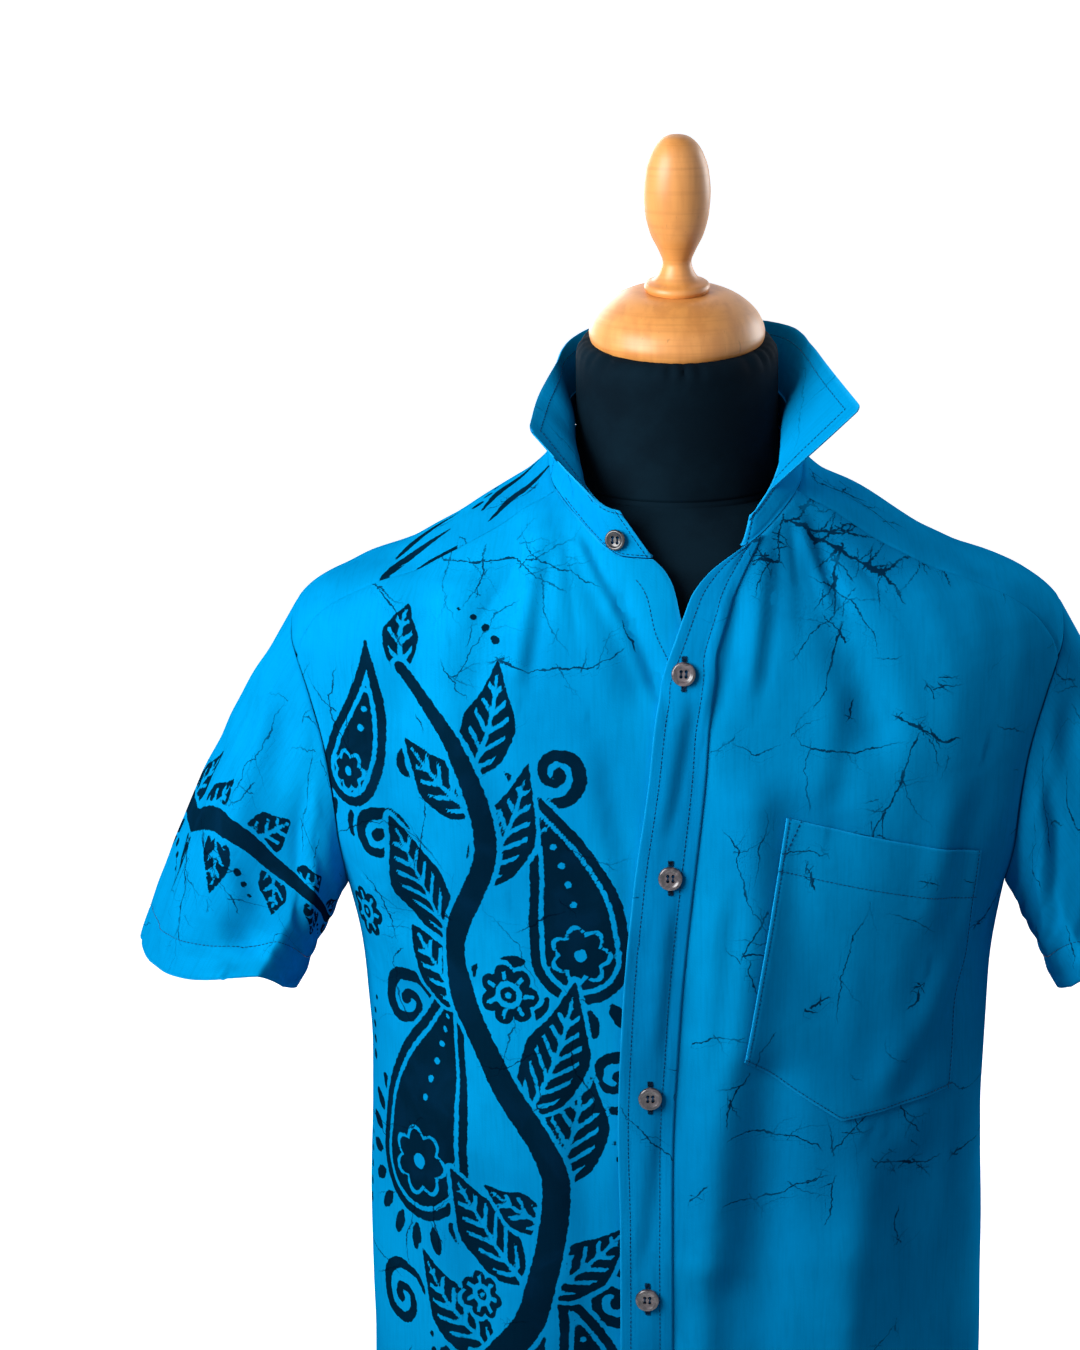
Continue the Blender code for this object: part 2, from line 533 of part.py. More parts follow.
def sleeve_surface(turn, along, side):
    """Point of a sleeve, along 0 at the armhole and 1 at the hem."""
    angle, height = armhole(turn, side)
    top = body_cloth(angle, height)
    hem = hem_curve(turn) * np.array([side, 1.0, 1.0])
    base = top * (1.0 - along[..., None]) + hem * along[..., None]
    shown = np.clip(np.cos(turn) + SLEEVE_BULGE_REACH, 0.0, 1.0)
    swell = SLEEVE_BULGE * np.sin(math.pi * along) * shown
    base[..., 0] += side * swell
    base[..., 2] += SLEEVE_BULGE_LIFT * swell
    return base


def sleeve_normals(turn, along, side):
    """Outward normals of a sleeve."""
    low = np.clip(along - SLEEVE_STEP_ALONG, 0.0, 1.0)
    high = np.clip(along + SLEEVE_STEP_ALONG, 0.0, 1.0)
    ahead = sleeve_surface(turn + SLEEVE_STEP_TURN, along, side)
    behind = sleeve_surface(turn - SLEEVE_STEP_TURN, along, side)
    around = ahead - behind
    down = sleeve_surface(turn, high, side) - sleeve_surface(turn, low, side)
    return unit(np.cross(around, down)) * side


def sleeve_fold_height(turn, along):
    """How far the sleeve's folds move its cloth outwards."""
    degrees = np.mod(np.degrees(turn), 360.0)
    total = np.zeros_like(along)
    scale = np.array([SLEEVE_GIRTH / 360.0, SLEEVE_LENGTH])
    for fold in SLEEVE_FOLDS:
        start = np.array([fold.turn0, fold.along0]) * scale
        run = np.array([fold.turn1, fold.along1]) * scale - start
        rel_a = degrees * scale[0] - start[0]
        rel_b = along * scale[1] - start[1]
        share = np.clip((rel_a * run[0] + rel_b * run[1]) / run.dot(run), 0.0, 1.0)
        away = (rel_a - share * run[0]) ** 2 + (rel_b - share * run[1]) ** 2
        total -= fold.depth * np.exp(-away / (2.0 * fold.spread ** 2))
    return total * np.clip(along / FOLD_START, 0.0, 1.0)


# ---------------------------------------------------------------- meshes
def pull_edges(points, edges, distance):
    """Draw the named edges of a grid back towards its inside."""
    moved = points.copy()
    if "first_row" in edges:
        moved[0] += unit(points[1] - points[0]) * distance
    if "last_row" in edges:
        moved[-1] += unit(points[-2] - points[-1]) * distance
    if "first_column" in edges:
        moved[:, 0] += unit(points[:, 1] - points[:, 0]) * distance
    if "last_column" in edges:
        moved[:, -1] += unit(points[:, -2] - points[:, -1]) * distance
    return moved


def make_object(name, vertices, faces, colour):
    """A named object whose faces point out, with its own material."""
    raised = [(float(v[0]), float(v[1]), float(v[2]) + NECK_SEAM) for v in vertices]
    mesh = bpy.data.meshes.new(name)
    mesh.from_pydata(raised, [], faces)
    work = bmesh.new()
    work.from_mesh(mesh)
    bmesh.ops.recalc_face_normals(work, faces=work.faces)
    bmesh.ops.triangulate(work, faces=[face for face in work.faces if len(face.verts) == 4])
    work.to_mesh(mesh)
    work.free()
    mesh.shade_smooth()
    mesh.set_sharp_from_angle(angle=SHARP_ANGLE)
    obj = bpy.data.objects.new(name, mesh)
    bpy.context.scene.collection.objects.link(obj)
    material = bpy.data.materials.new(name + "_finish")
    material.use_nodes = True
    shader = material.node_tree.nodes["Principled BSDF"]
    shader.inputs["Base Color"].default_value = colour
    roughness = BEECH_ROUGHNESS if colour in (BEECH, SHELL) else CLOTH_ROUGHNESS
    shader.inputs["Roughness"].default_value = roughness
    shader.inputs["Metallic"].default_value = 0.0
    mesh.materials.append(material)
    return obj


def wall(name, outer, normals, thickness, colour, closed_rows=False):
    """A closed wall under a grid of outer points; closed_rows joins each row to itself."""
    inner = outer - normals * thickness
    rows, columns = outer.shape[:2]
    vertices = list(outer.reshape(-1, 3)) + list(inner.reshape(-1, 3))
    offset = rows * columns
    faces = []
    last = columns if closed_rows else columns - 1

    def outside(row, place):
        return row * columns + place % columns

    def inside(row, place):
        return offset + outside(row, place)

    for row in range(rows - 1):
        for place in range(last):
            near = (row, place)
            beside = (row, place + 1)
            over = (row + 1, place)
            across = (row + 1, place + 1)
            faces.append((outside(*near), outside(*beside), outside(*across), outside(*over)))
            faces.append((inside(*near), inside(*over), inside(*across), inside(*beside)))
    top = rows - 1
    for place in range(last):
        after = place + 1
        faces.append((outside(0, place), inside(0, place), inside(0, after), outside(0, after)))
        faces.append((outside(top, place), outside(top, after), inside(top, after), inside(top, place)))
    if not closed_rows:
        end = columns - 1
        for row in range(rows - 1):
            over = row + 1
            faces.append((outside(row, 0), outside(over, 0), inside(over, 0), inside(row, 0)))
            faces.append((outside(row, end), inside(row, end), inside(over, end), outside(over, end)))
    return make_object(name, vertices, faces, colour)


def ring_faces(rows, segments):
    """Faces of stacked rings, closed by a flat at each end."""
    faces = []
    for row in range(rows - 1):
        for place in range(segments):
            after = (place + 1) % segments
            low = row * segments
            high = low + segments
            faces.append((low + place, low + after, high + after, high + place))
    faces.append(tuple(reversed(range(segments))))
    top = (rows - 1) * segments
    faces.append(tuple(range(top, top + segments)))
    return faces


def turned(name, rows, colour, segments=TURNED_SEGMENTS, lean=0.0, pivot=0.0):
    """A solid of revolution about the form's axis from (height, radius) rows, closed by flats."""
    vertices = []
    for height, radius in rows:
        for place in range(segments):
            spin = 2.0 * math.pi * place / segments
            vertices.append(Vector((radius * math.cos(spin), radius * math.sin(spin), height - pivot)))
    tilt = Matrix.Rotation(lean, 3, "X")
    vertices = [tilt @ v + Vector((0.0, 0.0, pivot)) for v in vertices]
    return make_object(name, vertices, ring_faces(len(rows), segments), colour)


# ---------------------------------------------------------------- the cloth pieces
def seam_normals(turn, side):
    """Shared direction in which the walls of body and sleeve meet at the armhole."""
    angle, height = armhole(turn, side)
    body = grid_normals(body_cloth, angle, height)
    sleeve = sleeve_normals(turn, np.zeros_like(turn), side)
    return unit(body + sleeve)


def overlap_lift(x):
    """Lift of the wearer's left front where it lies on the right one."""
    share = np.clip((OVERLAP_EASE[1] - x) / (OVERLAP_EASE[1] - OVERLAP_EASE[0]), 0.0, 1.0)
    return OVERLAP_LIFT * share * share * (3.0 - 2.0 * share)


def panel_facets(points):
    """The panel's outer surface as a tree that a line can be cast on."""
    rows, columns = points.shape[:2]
    faces = []
    for row in range(rows - 1):
        for place in range(columns - 1):
            first = row * columns + place
            faces.append((first, first + 1, first + columns + 1))
            faces.append((first, first + columns + 1, first + columns))
    return BVHTree.FromPolygons([Vector(point) for point in points.reshape(-1, 3)], faces)


def on_panel(tree, x, height):
    """Points of the panel that lie behind the given places of the front view."""
    found = []
    for place in zip(x.ravel(), height.ravel()):
        hit = tree.ray_cast(Vector((place[0], -1.0, place[1])), Vector((0.0, 1.0, 0.0)))
        found.append(np.array(hit[0]))
    return np.array(found).reshape(x.shape + (3,))


def front_points(side):
    """Outer points and normals of a front panel, before its edges are drawn in."""
    angle, height = front_grid(side)
    normals = grid_normals(body_cloth, angle, height)
    points = body_cloth(angle, height)
    if side > 0:
        points = points + normals * overlap_lift(points[..., 0])[..., None]
    turn = np.linspace(math.pi, YOKE_FRONT_TURN, EDGE_ROWS + NECK_ROWS + 1)
    normals[BODY_ROWS:, -1] = seam_normals(turn, side)
    return points, normals


def build_fronts():
    """Both fronts; returns their points for what lies on them."""
    grids = {}
    for side, name in ((-1, "front_right"), (1, "front_left")):
        points, normals = front_points(side)
        edges = ("first_column", "last_column", "last_row")
        shape = pull_edges(points, edges, SEAM_GAP / 2.0)
        wall(name, shape, normals, CLOTH, BATIK_BLUE)
        grids[side] = (points, normals)
    return grids


def build_placket(points, normals):
    """The placket, from the left front's own first columns, moved out.

    Its top rows fan out to the neckline, which cuts the strip at a slant.
    """
    rows = BODY_ROWS + EDGE_ROWS
    first = PLACKET_COLUMNS + 1
    strip = points[:rows, :first]
    facing = normals[:rows, :first]
    end = points[rows:rows + first, 0]
    share = np.linspace(0.0, 1.0, PLACKET_TOP_ROWS + 1)[1:, None, None]
    fan = strip[-1][None] * (1.0 - share) + end[None] * share
    laid = on_panel(panel_facets(points), fan[..., 0], fan[..., 2] - PLACKET_TOP_DROP * share[..., 0])
    fan_normals = grid_normals(body_cloth, angle_at(laid[..., 0], laid[..., 2]), laid[..., 2])
    strip = np.concatenate([strip, laid])
    facing = np.concatenate([facing, fan_normals])
    clear = np.full(len(strip), LAYER_GAP)
    clear[-PLACKET_TOP_ROWS:] = PLACKET_TOP_GAP
    outer = strip + facing * (CLOTH + clear[:, None, None])
    wall("placket", outer, facing, CLOTH, BATIK_BLUE)
    return outer, facing


def build_back():
    """The back, from the hem to the yoke."""
    angle, height = back_grid()
    points = body_cloth(angle, height)
    normals = grid_normals(body_cloth, angle, height)
    turn = np.linspace(-math.pi, -YOKE_BACK_TURN, EDGE_ROWS + NECK_ROWS + 1)
    normals[BODY_ROWS:, 0] = seam_normals(turn, -1)
    normals[BODY_ROWS:, -1] = seam_normals(turn, 1)
    edges = ("first_column", "last_column", "last_row")
    wall("back", pull_edges(points, edges, SEAM_GAP / 2.0), normals, CLOTH, BATIK_BLUE)


def build_yoke():
    """The yoke over both shoulders; returns its neck edge."""
    angle, height = yoke_grid()
    points = body_cloth(angle, height)
    normals = grid_normals(body_cloth, angle, height)
    turn = np.linspace(YOKE_FRONT_TURN, -YOKE_BACK_TURN, YOKE_ARM_COLUMNS + 1)
    normals[:YOKE_ARM_COLUMNS + 1, -1] = seam_normals(turn, -1)
    normals[-YOKE_ARM_COLUMNS - 1:, -1] = seam_normals(turn[::-1], 1)
    edges = ("first_row", "last_row", "first_column", "last_column")
    wall("yoke", pull_edges(points, edges, SEAM_GAP / 2.0), normals, CLOTH, BATIK_BLUE)
    return points[:, 0]


def build_sleeves():
    """Both sleeves, as tubes from the armhole to the hem."""
    turns = sleeve_turns()
    alongs = np.linspace(0.0, 1.0, SLEEVE_ROWS + 1)
    for side, name in ((-1, "sleeve_right"), (1, "sleeve_left")):
        turn, along = np.meshgrid(turns, alongs)
        normals = sleeve_normals(turn, along, side)
        points = sleeve_surface(turn, along, side)
        points += normals * sleeve_fold_height(turn, along)[..., None]
        normals[0] = seam_normals(turns, side)
        shape = pull_edges(points, ("first_row",), ARMHOLE_GAP)
        wall(name, shape, normals, CLOTH, BATIK_BLUE, closed_rows=True)


def station_curve(table, along):
    """Point of a collar line at a share of its length."""
    knots = column(table, "along")
    parts = [smooth_curve(knots, column(table, name), along) for name in ("x", "y", "height")]
    return np.stack(parts, axis=-1)


def strip_normals(points):
    """Outward normals of a strip whose rows rise and whose columns run round the back."""
    along = np.gradient(points, axis=1)
    up = np.gradient(points, axis=0)
    return unit(np.cross(up, along))


def build_band(neck_points):
    """The collar band, standing on the neckline; returns its outer points and normals."""
    lengths = np.linalg.norm(np.diff(neck_points, axis=0), axis=1)
    along = np.concatenate([[0.0], np.cumsum(lengths)]) / lengths.sum()
    top = station_curve(BAND_TOP, along)
    share = np.linspace(0.0, 1.0, BAND_ROWS + 1)[:, None, None]
    points = neck_points[None] * (1.0 - share) + top[None] * share
    normals = strip_normals(points)
    shape = pull_edges(points, ("first_row",), BAND_GAP)
    wall("collar_band", shape, normals, COLLAR_CLOTH, COLLAR_BLUE)
    return along, points, normals


def build_collar(columns):
    """The collar leaf, standing up from the band and flaring to its two points."""
    share = np.linspace(0.0, 1.0, columns + 1)
    bottom = station_curve(BAND_TOP, LEAF_START + (LEAF_END - LEAF_START) * share)
    bottom[:, 2] += LEAF_GAP
    top = station_curve(LEAF_EDGE, share)
    rise = np.linspace(0.0, 1.0, COLLAR_ROWS + 1)[:, None, None]
    points = bottom[None] * (1.0 - rise) + top[None] * rise
    normals = strip_normals(points)
    wall("collar", points, normals, COLLAR_CLOTH, COLLAR_BLUE)


def pocket_outline(across, down):
    """Front-view x and height inside the pocket, both shares from 0 to 1."""
    inner_x = POCKET_TOP_INNER.x + (POCKET_LOW_INNER.x - POCKET_TOP_INNER.x) * down
    outer_x = POCKET_TOP_OUTER.x + (POCKET_LOW_OUTER.x - POCKET_TOP_OUTER.x) * down
    inner_z = POCKET_TOP_INNER.height + (POCKET_LOW_INNER.height - POCKET_TOP_INNER.height) * down
    outer_z = POCKET_TOP_OUTER.height + (POCKET_LOW_OUTER.height - POCKET_TOP_OUTER.height) * down
    x = inner_x + (outer_x - inner_x) * across
    before = across / POCKET_POINT_PLACE
    after = (1.0 - across) / (1.0 - POCKET_POINT_PLACE)
    point = np.minimum(before, after)
    height = inner_z + (outer_z - inner_z) * across - POCKET_POINT_DROP * point * down ** 2
    return x, height


def build_pocket(panel_points):
    """The chest pocket, from the left front's own surface, moved out."""
    share = np.linspace(0.0, 1.0, POCKET_CELLS + 1)
    across, down = np.meshgrid(share, share)
    x, height = pocket_outline(across, down)
    normals = grid_normals(body_cloth, angle_at(x, height), height)
    points = on_panel(panel_facets(panel_points), x, height)
    wall("pocket", points + normals * (POCKET_CLEAR + CLOTH), normals, CLOTH, BATIK_BLUE)


def build_button(name, centre, normal, radius):
    """A four-hole button as a dished disc that lies square to the cloth."""
    turn_to = Vector(normal).to_track_quat("Z", "Y")
    vertices = []
    for row in BUTTON_PROFILE:
        reach = row.radius * radius
        for place in range(BUTTON_SEGMENTS):
            spin = 2.0 * math.pi * place / BUTTON_SEGMENTS
            level = row.height * BUTTON_THICKNESS
            local = Vector((reach * math.cos(spin), reach * math.sin(spin), level))
            vertices.append(turn_to @ local + Vector(centre))
    make_object(name, vertices, ring_faces(len(BUTTON_PROFILE), BUTTON_SEGMENTS), SHELL)


def build_buttons(placket_points, placket_normals, band):
    """Front buttons on the placket and one on the band's right end."""
    heights = placket_points[:, 1, 2]
    for button in FRONT_BUTTONS:
        row = int(np.searchsorted(heights, button.height)) - 1
        share = (button.height - heights[row]) / (heights[row + 1] - heights[row])
        line = placket_points[row] * (1.0 - share) + placket_points[row + 1] * share
        facing = placket_normals[row] * (1.0 - share) + placket_normals[row + 1] * share
        reach = (button.x - line[0, 0]) / (line[-1, 0] - line[0, 0]) * (len(line) - 1)
        cell = min(int(reach), len(line) - 2)
        part = reach - cell
        spot = line[cell] * (1.0 - part) + line[cell + 1] * part
        normal = unit(facing[cell] * (1.0 - part) + facing[cell + 1] * part)
        build_button(button.name, spot + normal * BUTTON_LIFT, normal, BUTTON_RADIUS)
    along, points, normals = band
    foot, head, normal = [
        np.array([np.interp(BAND_BUTTON_ALONG, along, line[:, axis]) for axis in range(3)])
        for line in (points[0], points[-1], normals[1])
    ]
    spot = foot * (1.0 - BAND_BUTTON_UP) + head * BAND_BUTTON_UP
    normal = unit(normal)
    build_button("button_band", spot + normal * BUTTON_LIFT, normal, BAND_BUTTON_RADIUS)


# ---------------------------------------------------------------- form and stand
def build_form():
    """The limbless dress form with its neck, closed below by a flat and above by the neck's top."""
    spins = np.arange(FORM_SEGMENTS) * 2.0 * math.pi / FORM_SEGMENTS
    rows = []
    for ring in FORM_RINGS:
        rows.append(ring_point(FORM_RINGS, spins, np.full(FORM_SEGMENTS, ring.height)))
    side = np.sin(spins)
    front = -np.cos(spins)
    for row in NECK_ROUND:
        lean = np.tan(NECK_LEAN) * row.lean_share
        level = NECK_TOP_HEIGHT + row.height
        x = row.radius * side
        y = row.radius * front
        rows.append(np.stack([x, y, level + y * lean], axis=-1))
    vertices = np.concatenate(rows)
    make_object("form_torso", vertices, ring_faces(len(rows), FORM_SEGMENTS), FORM_BLACK)


def build_cap_and_finial():
    """The turned cap on the neck and the finial on the cap, square to the neck's top."""
    cap = [(NECK_TOP_HEIGHT + SEAM_GAP + row.height, row.radius) for row in CAP_PROFILE]
    turned("neck_cap", cap, BEECH, lean=NECK_LEAN, pivot=NECK_TOP_HEIGHT)
    start = cap[-1][0] + SEAM_GAP
    finial = [(start + row.height, row.radius) for row in FINIAL_PROFILE]
    turned("finial", finial, BEECH, lean=NECK_LEAN, pivot=NECK_TOP_HEIGHT)


def build_stand():
    """The round foot and the turned column that carries the form."""
    floor = -NECK_SEAM
    foot = [(floor + row.height, row.radius) for row in FOOT_PROFILE]
    turned("stand_foot", foot, BEECH, segments=FOOT_SEGMENTS)
    base = floor + FOOT_THICKNESS + SEAM_GAP
    top = FORM_RINGS[0].height - SEAM_GAP
    stretch = (top - base) / COLUMN_PROFILE[-1].height
    column_rows = [(base + row.height * stretch, row.radius) for row in COLUMN_PROFILE]
    turned("stand_column", column_rows, BEECH)


def clear_scene():
    """Start from an empty scene."""
    for obj in list(bpy.data.objects):
        bpy.data.objects.remove(obj, do_unlink=True)


def main():
    """Build every piece."""
    clear_scene()
    build_stand()
    build_form()
    build_cap_and_finial()
    fronts = build_fronts()
    placket_points, placket_normals = build_placket(*fronts[1])
    build_back()
    yoke_neck = build_yoke()
    build_sleeves()
    neck_start = BODY_ROWS + EDGE_ROWS
    right_neck = fronts[-1][0][neck_start:, 0]
    left_neck = fronts[1][0][neck_start:, 0][::-1]
    neck_points = np.concatenate([right_neck, yoke_neck[1:-1], left_neck])
    band = build_band(neck_points)
    build_collar(len(neck_points) - 1)
    build_pocket(fronts[1][0])
    build_buttons(placket_points, placket_normals, band)


main()
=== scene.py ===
"""Looks of a short-sleeved batik shirt that stands on a limbless dress form.

Units are metres, +Z is up, the shirt's front faces -Y and the wearer's left is +X.  Heights
in the tables are measured from the form's neck seam, as in the part's own source.
"""

import logging
import math
from dataclasses import dataclass, field, replace
from enum import Enum
from typing import Callable, Iterable, NamedTuple, Sequence, TypeVar

import bmesh
import bpy
import numpy as np
from mathutils import Matrix, Vector


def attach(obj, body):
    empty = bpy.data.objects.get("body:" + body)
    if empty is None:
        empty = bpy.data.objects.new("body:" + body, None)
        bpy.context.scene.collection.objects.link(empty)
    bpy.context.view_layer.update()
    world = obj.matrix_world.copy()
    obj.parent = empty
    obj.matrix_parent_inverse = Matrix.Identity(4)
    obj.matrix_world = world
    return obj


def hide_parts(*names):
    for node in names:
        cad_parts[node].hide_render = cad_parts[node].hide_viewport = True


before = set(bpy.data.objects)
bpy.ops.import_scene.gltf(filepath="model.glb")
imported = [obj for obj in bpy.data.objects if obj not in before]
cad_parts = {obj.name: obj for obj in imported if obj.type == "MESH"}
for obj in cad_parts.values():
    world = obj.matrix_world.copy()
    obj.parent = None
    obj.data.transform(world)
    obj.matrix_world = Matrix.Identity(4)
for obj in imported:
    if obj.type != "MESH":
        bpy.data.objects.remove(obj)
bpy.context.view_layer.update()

LOG = logging.getLogger("batik_shirt")
Grid = np.ndarray
Row = TypeVar("Row")
Pair = tuple[float, float]
Triple = tuple[float, float, float]
Material = bpy.types.Material
Object = bpy.types.Object
Socket = bpy.types.NodeSocket
Tree = bpy.types.NodeTree

# ---------------------------------------------------------------- driving sizes
NECK_SEAM = 0.925           # floor to the form's neck seam
CLOTH = 0.0012              # wall of a cloth panel
COLLAR_CLOTH = 0.0018       # wall of the fused collar and band
SEAM_GAP = 0.0003           # between two pieces at a seam
SEAM_ROLL = 0.0006          # how far a panel's edge turns in at its seam
LAYER_GAP = 0.0004          # between a panel and what lies on it
LINE_LIFT = 0.00012         # stitches over the cloth
STITCH_DIP = 0.00035        # how far a line of stitches draws the cloth in
STITCH_SPREAD = 0.0011      # half width of that dip
SQUARENESS = 2.3            # exponent of the body's rings
HEM_HEIGHT = -0.7           # of the shirt's hem, below the neck seam
UNDERARM_HEIGHT = -0.246    # of the armholes' lowest point


def rows_of(kind: Callable[..., Row], rows: Iterable[Sequence[object]]) -> tuple[Row, ...]:
    """Rows of a table, with the named columns of their kind."""
    return tuple(kind(*row) for row in rows)


class BodyRing(NamedTuple):
    """A level of the body: half width, depth in front of the axis and behind it."""

    height: float
    half_width: float
    front_depth: float
    back_depth: float


class Width(NamedTuple):
    """Width of a strip at a height."""

    height: float
    width: float


class FrontPoint(NamedTuple):
    """A place on the shirt, as seen from the front."""

    x: float
    height: float


class HemPoint(NamedTuple):
    """A point of the sleeve's hem at a turn round it, in degrees."""

    turn: float
    x: float
    y: float
    height: float


class CollarStation(NamedTuple):
    """A point of a collar line at a share of its length."""

    along: float
    x: float
    y: float
    height: float


class TurnedRow(NamedTuple):
    """A row of a turned profile."""

    height: float
    radius: float


SHIRT_RINGS = rows_of(BodyRing, (
    (-0.7, 0.196, 0.13, 0.132), (-0.6, 0.195, 0.129, 0.13), (-0.49, 0.194, 0.127, 0.127),
    (-0.42, 0.1935, 0.1265, 0.125), (-0.348, 0.192, 0.126, 0.126), (-0.307, 0.194, 0.1255, 0.128),
    (-0.246, 0.203, 0.1245, 0.131), (-0.2, 0.22, 0.122, 0.131), (-0.157, 0.231, 0.118, 0.129),
    (-0.114, 0.238, 0.113, 0.124), (-0.0885, 0.2395, 0.109, 0.119),
    (-0.0715, 0.2345, 0.1055, 0.114), (-0.0535, 0.2147, 0.1, 0.107), (-0.043, 0.19, 0.096, 0.102),
    (-0.0365, 0.171, 0.0935, 0.098), (-0.0205, 0.1415, 0.0865, 0.092),
    (-0.0025, 0.1125, 0.079, 0.0865), (0.0096, 0.0905, 0.076, 0.0835),
    (0.0224, 0.0775, 0.073, 0.08), (0.036, 0.0715, 0.07, 0.077),
))
FORM_RINGS = rows_of(BodyRing, (
    (-0.66, 0.164, 0.106, 0.112), (-0.56, 0.167, 0.107, 0.114), (-0.4, 0.154, 0.101, 0.103),
    (-0.3, 0.158, 0.104, 0.106), (-0.2, 0.168, 0.108, 0.114), (-0.12, 0.18, 0.104, 0.113),
    (-0.08, 0.187, 0.097, 0.106), (-0.06, 0.186, 0.092, 0.1), (-0.051, 0.18, 0.088, 0.096),
    (-0.042, 0.1719, 0.085, 0.092), (-0.0373, 0.1644, 0.083, 0.09), (-0.03, 0.1534, 0.08, 0.086),
    (-0.0221, 0.1405, 0.0765, 0.082), (-0.0118, 0.119, 0.0725, 0.077),
    (-0.005, 0.092, 0.068, 0.071), (-0.0015, 0.07, 0.064, 0.0655), (0.0, 0.0622, 0.0622, 0.0622),
))
NECK_TOP_HEIGHT = 0.0922    # of the black neck, without its beech cap
NECK_LEAN = math.radians(8.0)   # of the neck's top, forwards
NECK_RADIUS = 0.0608        # just below the neck's top

LEFT_EDGE = rows_of(FrontPoint, (
    (-0.036, -0.7), (-0.0335, -0.49), (-0.0335, -0.426), (-0.0345, -0.365), (-0.0321, -0.292),
    (-0.0255, -0.215), (-0.0161, -0.1475), (-0.0126, -0.114), (-0.0063, -0.082), (-0.0017, -0.0691),
    (0.0046, -0.0521), (0.0086, -0.0427), (0.019, -0.0303), (0.037, -0.018),
))
RIGHT_EDGE = rows_of(FrontPoint, (
    (-0.009, -0.7), (-0.007, -0.426), (-0.001, -0.34), (0.01, -0.2), (0.016, -0.12),
    (0.014, -0.085), (0.0029, -0.0574), (-0.0023, -0.0374), (-0.0075, -0.0287), (-0.0138, -0.0232),
))
PLACKET_WIDTHS = rows_of(Width, (
    (-0.7, 0.032), (-0.425, 0.031), (-0.365, 0.0325), (-0.292, 0.034), (-0.217, 0.0345),
    (-0.157, 0.033), (-0.09, 0.03), (-0.072, 0.0262), (-0.052, 0.025), (-0.034, 0.023),
    (-0.018, 0.02),
))
OVERLAP_LIFT = 0.0028       # of the left front where it lies on the right one
OVERLAP_EASE = (0.04, 0.08)  # x between which that lift fades out
RIGHT_NECKLINE = rows_of(FrontPoint, (
    (0.0138, -0.0232), (0.03, -0.0224), (0.041, -0.0172), (0.0503, -0.0096), (0.0616, 0.0012),
    (0.0715, 0.0106),
))
LEFT_NECKLINE = rows_of(FrontPoint, (
    (0.037, -0.018), (0.043, -0.015), (0.0485, -0.011), (0.055, -0.0052), (0.0625, 0.002),
    (0.0715, 0.0106),
))
PLACKET_TOP_HEIGHT = -0.0445     # above it the placket fans out to the neckline
PLACKET_TOP_SINK = 0.0008   # of its free edge along the neckline
PLACKET_TOP_END = FrontPoint(0.0485, -0.0118)
BACK_NECK_HEIGHT = 0.0335
NECK_POINT_HEIGHT = 0.0224
NECK_SLOPE_ANGLE = math.radians(120.0)    # between the shoulder and the back
NECK_SLOPE_HEIGHT = 0.031
NECK_POINT_ANGLE = math.radians(78.0)
ARMHOLE_TOP = -0.0685
ARMHOLE_HALF_ANGLE = math.radians(27.0)   # half of what an armhole takes of the body's round
YOKE_FRONT_TURN = math.radians(45.0)      # where the yoke's seams meet the armhole, from its top
YOKE_BACK_TURN = math.radians(50.0)
YOKE_BACK_HEIGHT = -0.084
SLEEVE_HEM = rows_of(HemPoint, (
    (0, 0.34, 0.01, -0.2936), (45, 0.322, -0.038, -0.2925), (85, 0.292, -0.066, -0.29),
    (122, 0.253, -0.0755, -0.2845), (150, 0.242, -0.045, -0.303), (180, 0.2415, 0.0, -0.323),
    (215, 0.25, 0.048, -0.338), (270, 0.287, 0.078, -0.327), (315, 0.323, 0.055, -0.306),
))
SLEEVE_BULGE = 0.007        # how far a sleeve's top swells beyond a straight line
SLEEVE_BULGE_REACH = 0.4
SLEEVE_BULGE_LIFT = 0.4
SLEEVE_GIRTH = 0.42         # with the length, the flat measure for its folds
SLEEVE_LENGTH = 0.23
SLEEVE_FOLD_START = 1.0 / 6.0   # share of the length over which the folds begin
BAND_TOP = rows_of(CollarStation, (
    (0.0, -0.0335, -0.0815, 0.0035), (0.03, -0.0425, -0.0785, 0.0058),
    (0.11, -0.056, -0.064, 0.0175), (0.21, -0.0665, -0.036, 0.036), (0.3, -0.0685, -0.002, 0.05),
    (0.4, -0.05, 0.048, 0.06), (0.5, 0.0, 0.07, 0.0635), (0.6, 0.05, 0.048, 0.06),
    (0.7, 0.068, -0.002, 0.05), (0.8, 0.065, -0.035, 0.036), (0.9, 0.057, -0.06, 0.018),
    (0.97, 0.048, -0.074, 0.006), (1.0, 0.043, -0.079, 0.0005),
))
LEAF_EDGE = rows_of(CollarStation, (
    (0.0, -0.0877, -0.054, 0.0453), (0.13, -0.083, -0.028, 0.06), (0.25, -0.0745, 0.002, 0.0745),
    (0.34, -0.069, 0.026, 0.084), (0.42, -0.048, 0.06, 0.091), (0.5, 0.0, 0.078, 0.093),
    (0.58, 0.048, 0.066, 0.093), (0.66, 0.0735, 0.04, 0.0915), (0.74, 0.0815, 0.015, 0.086),
    (0.87, 0.095, -0.018, 0.0715), (1.0, 0.1089, -0.048, 0.0575),
))
LEAF_START = 0.035          # share of the band's top where the leaf's foot begins
LEAF_END = 0.925
LEAF_TUCK = 0.0023          # how far the leaf's foot is sewn in to the band
LEAF_HOLLOW = 0.0085        # how far the leaf leans in to the neck above the band
LEAF_THIN = 0.0006          # how much thinner than the band the leaf is
LEAF_NECK_CLEAR = 0.0012    # between the leaf and the form's neck
COLLAR_POINT_RADIUS = 0.0045
NO_MOTIF = 0.05             # distance to the navy dye where there is none
POCKET_TOP_INNER = FrontPoint(0.0625, -0.169)
POCKET_TOP_OUTER = FrontPoint(0.18, -0.203)
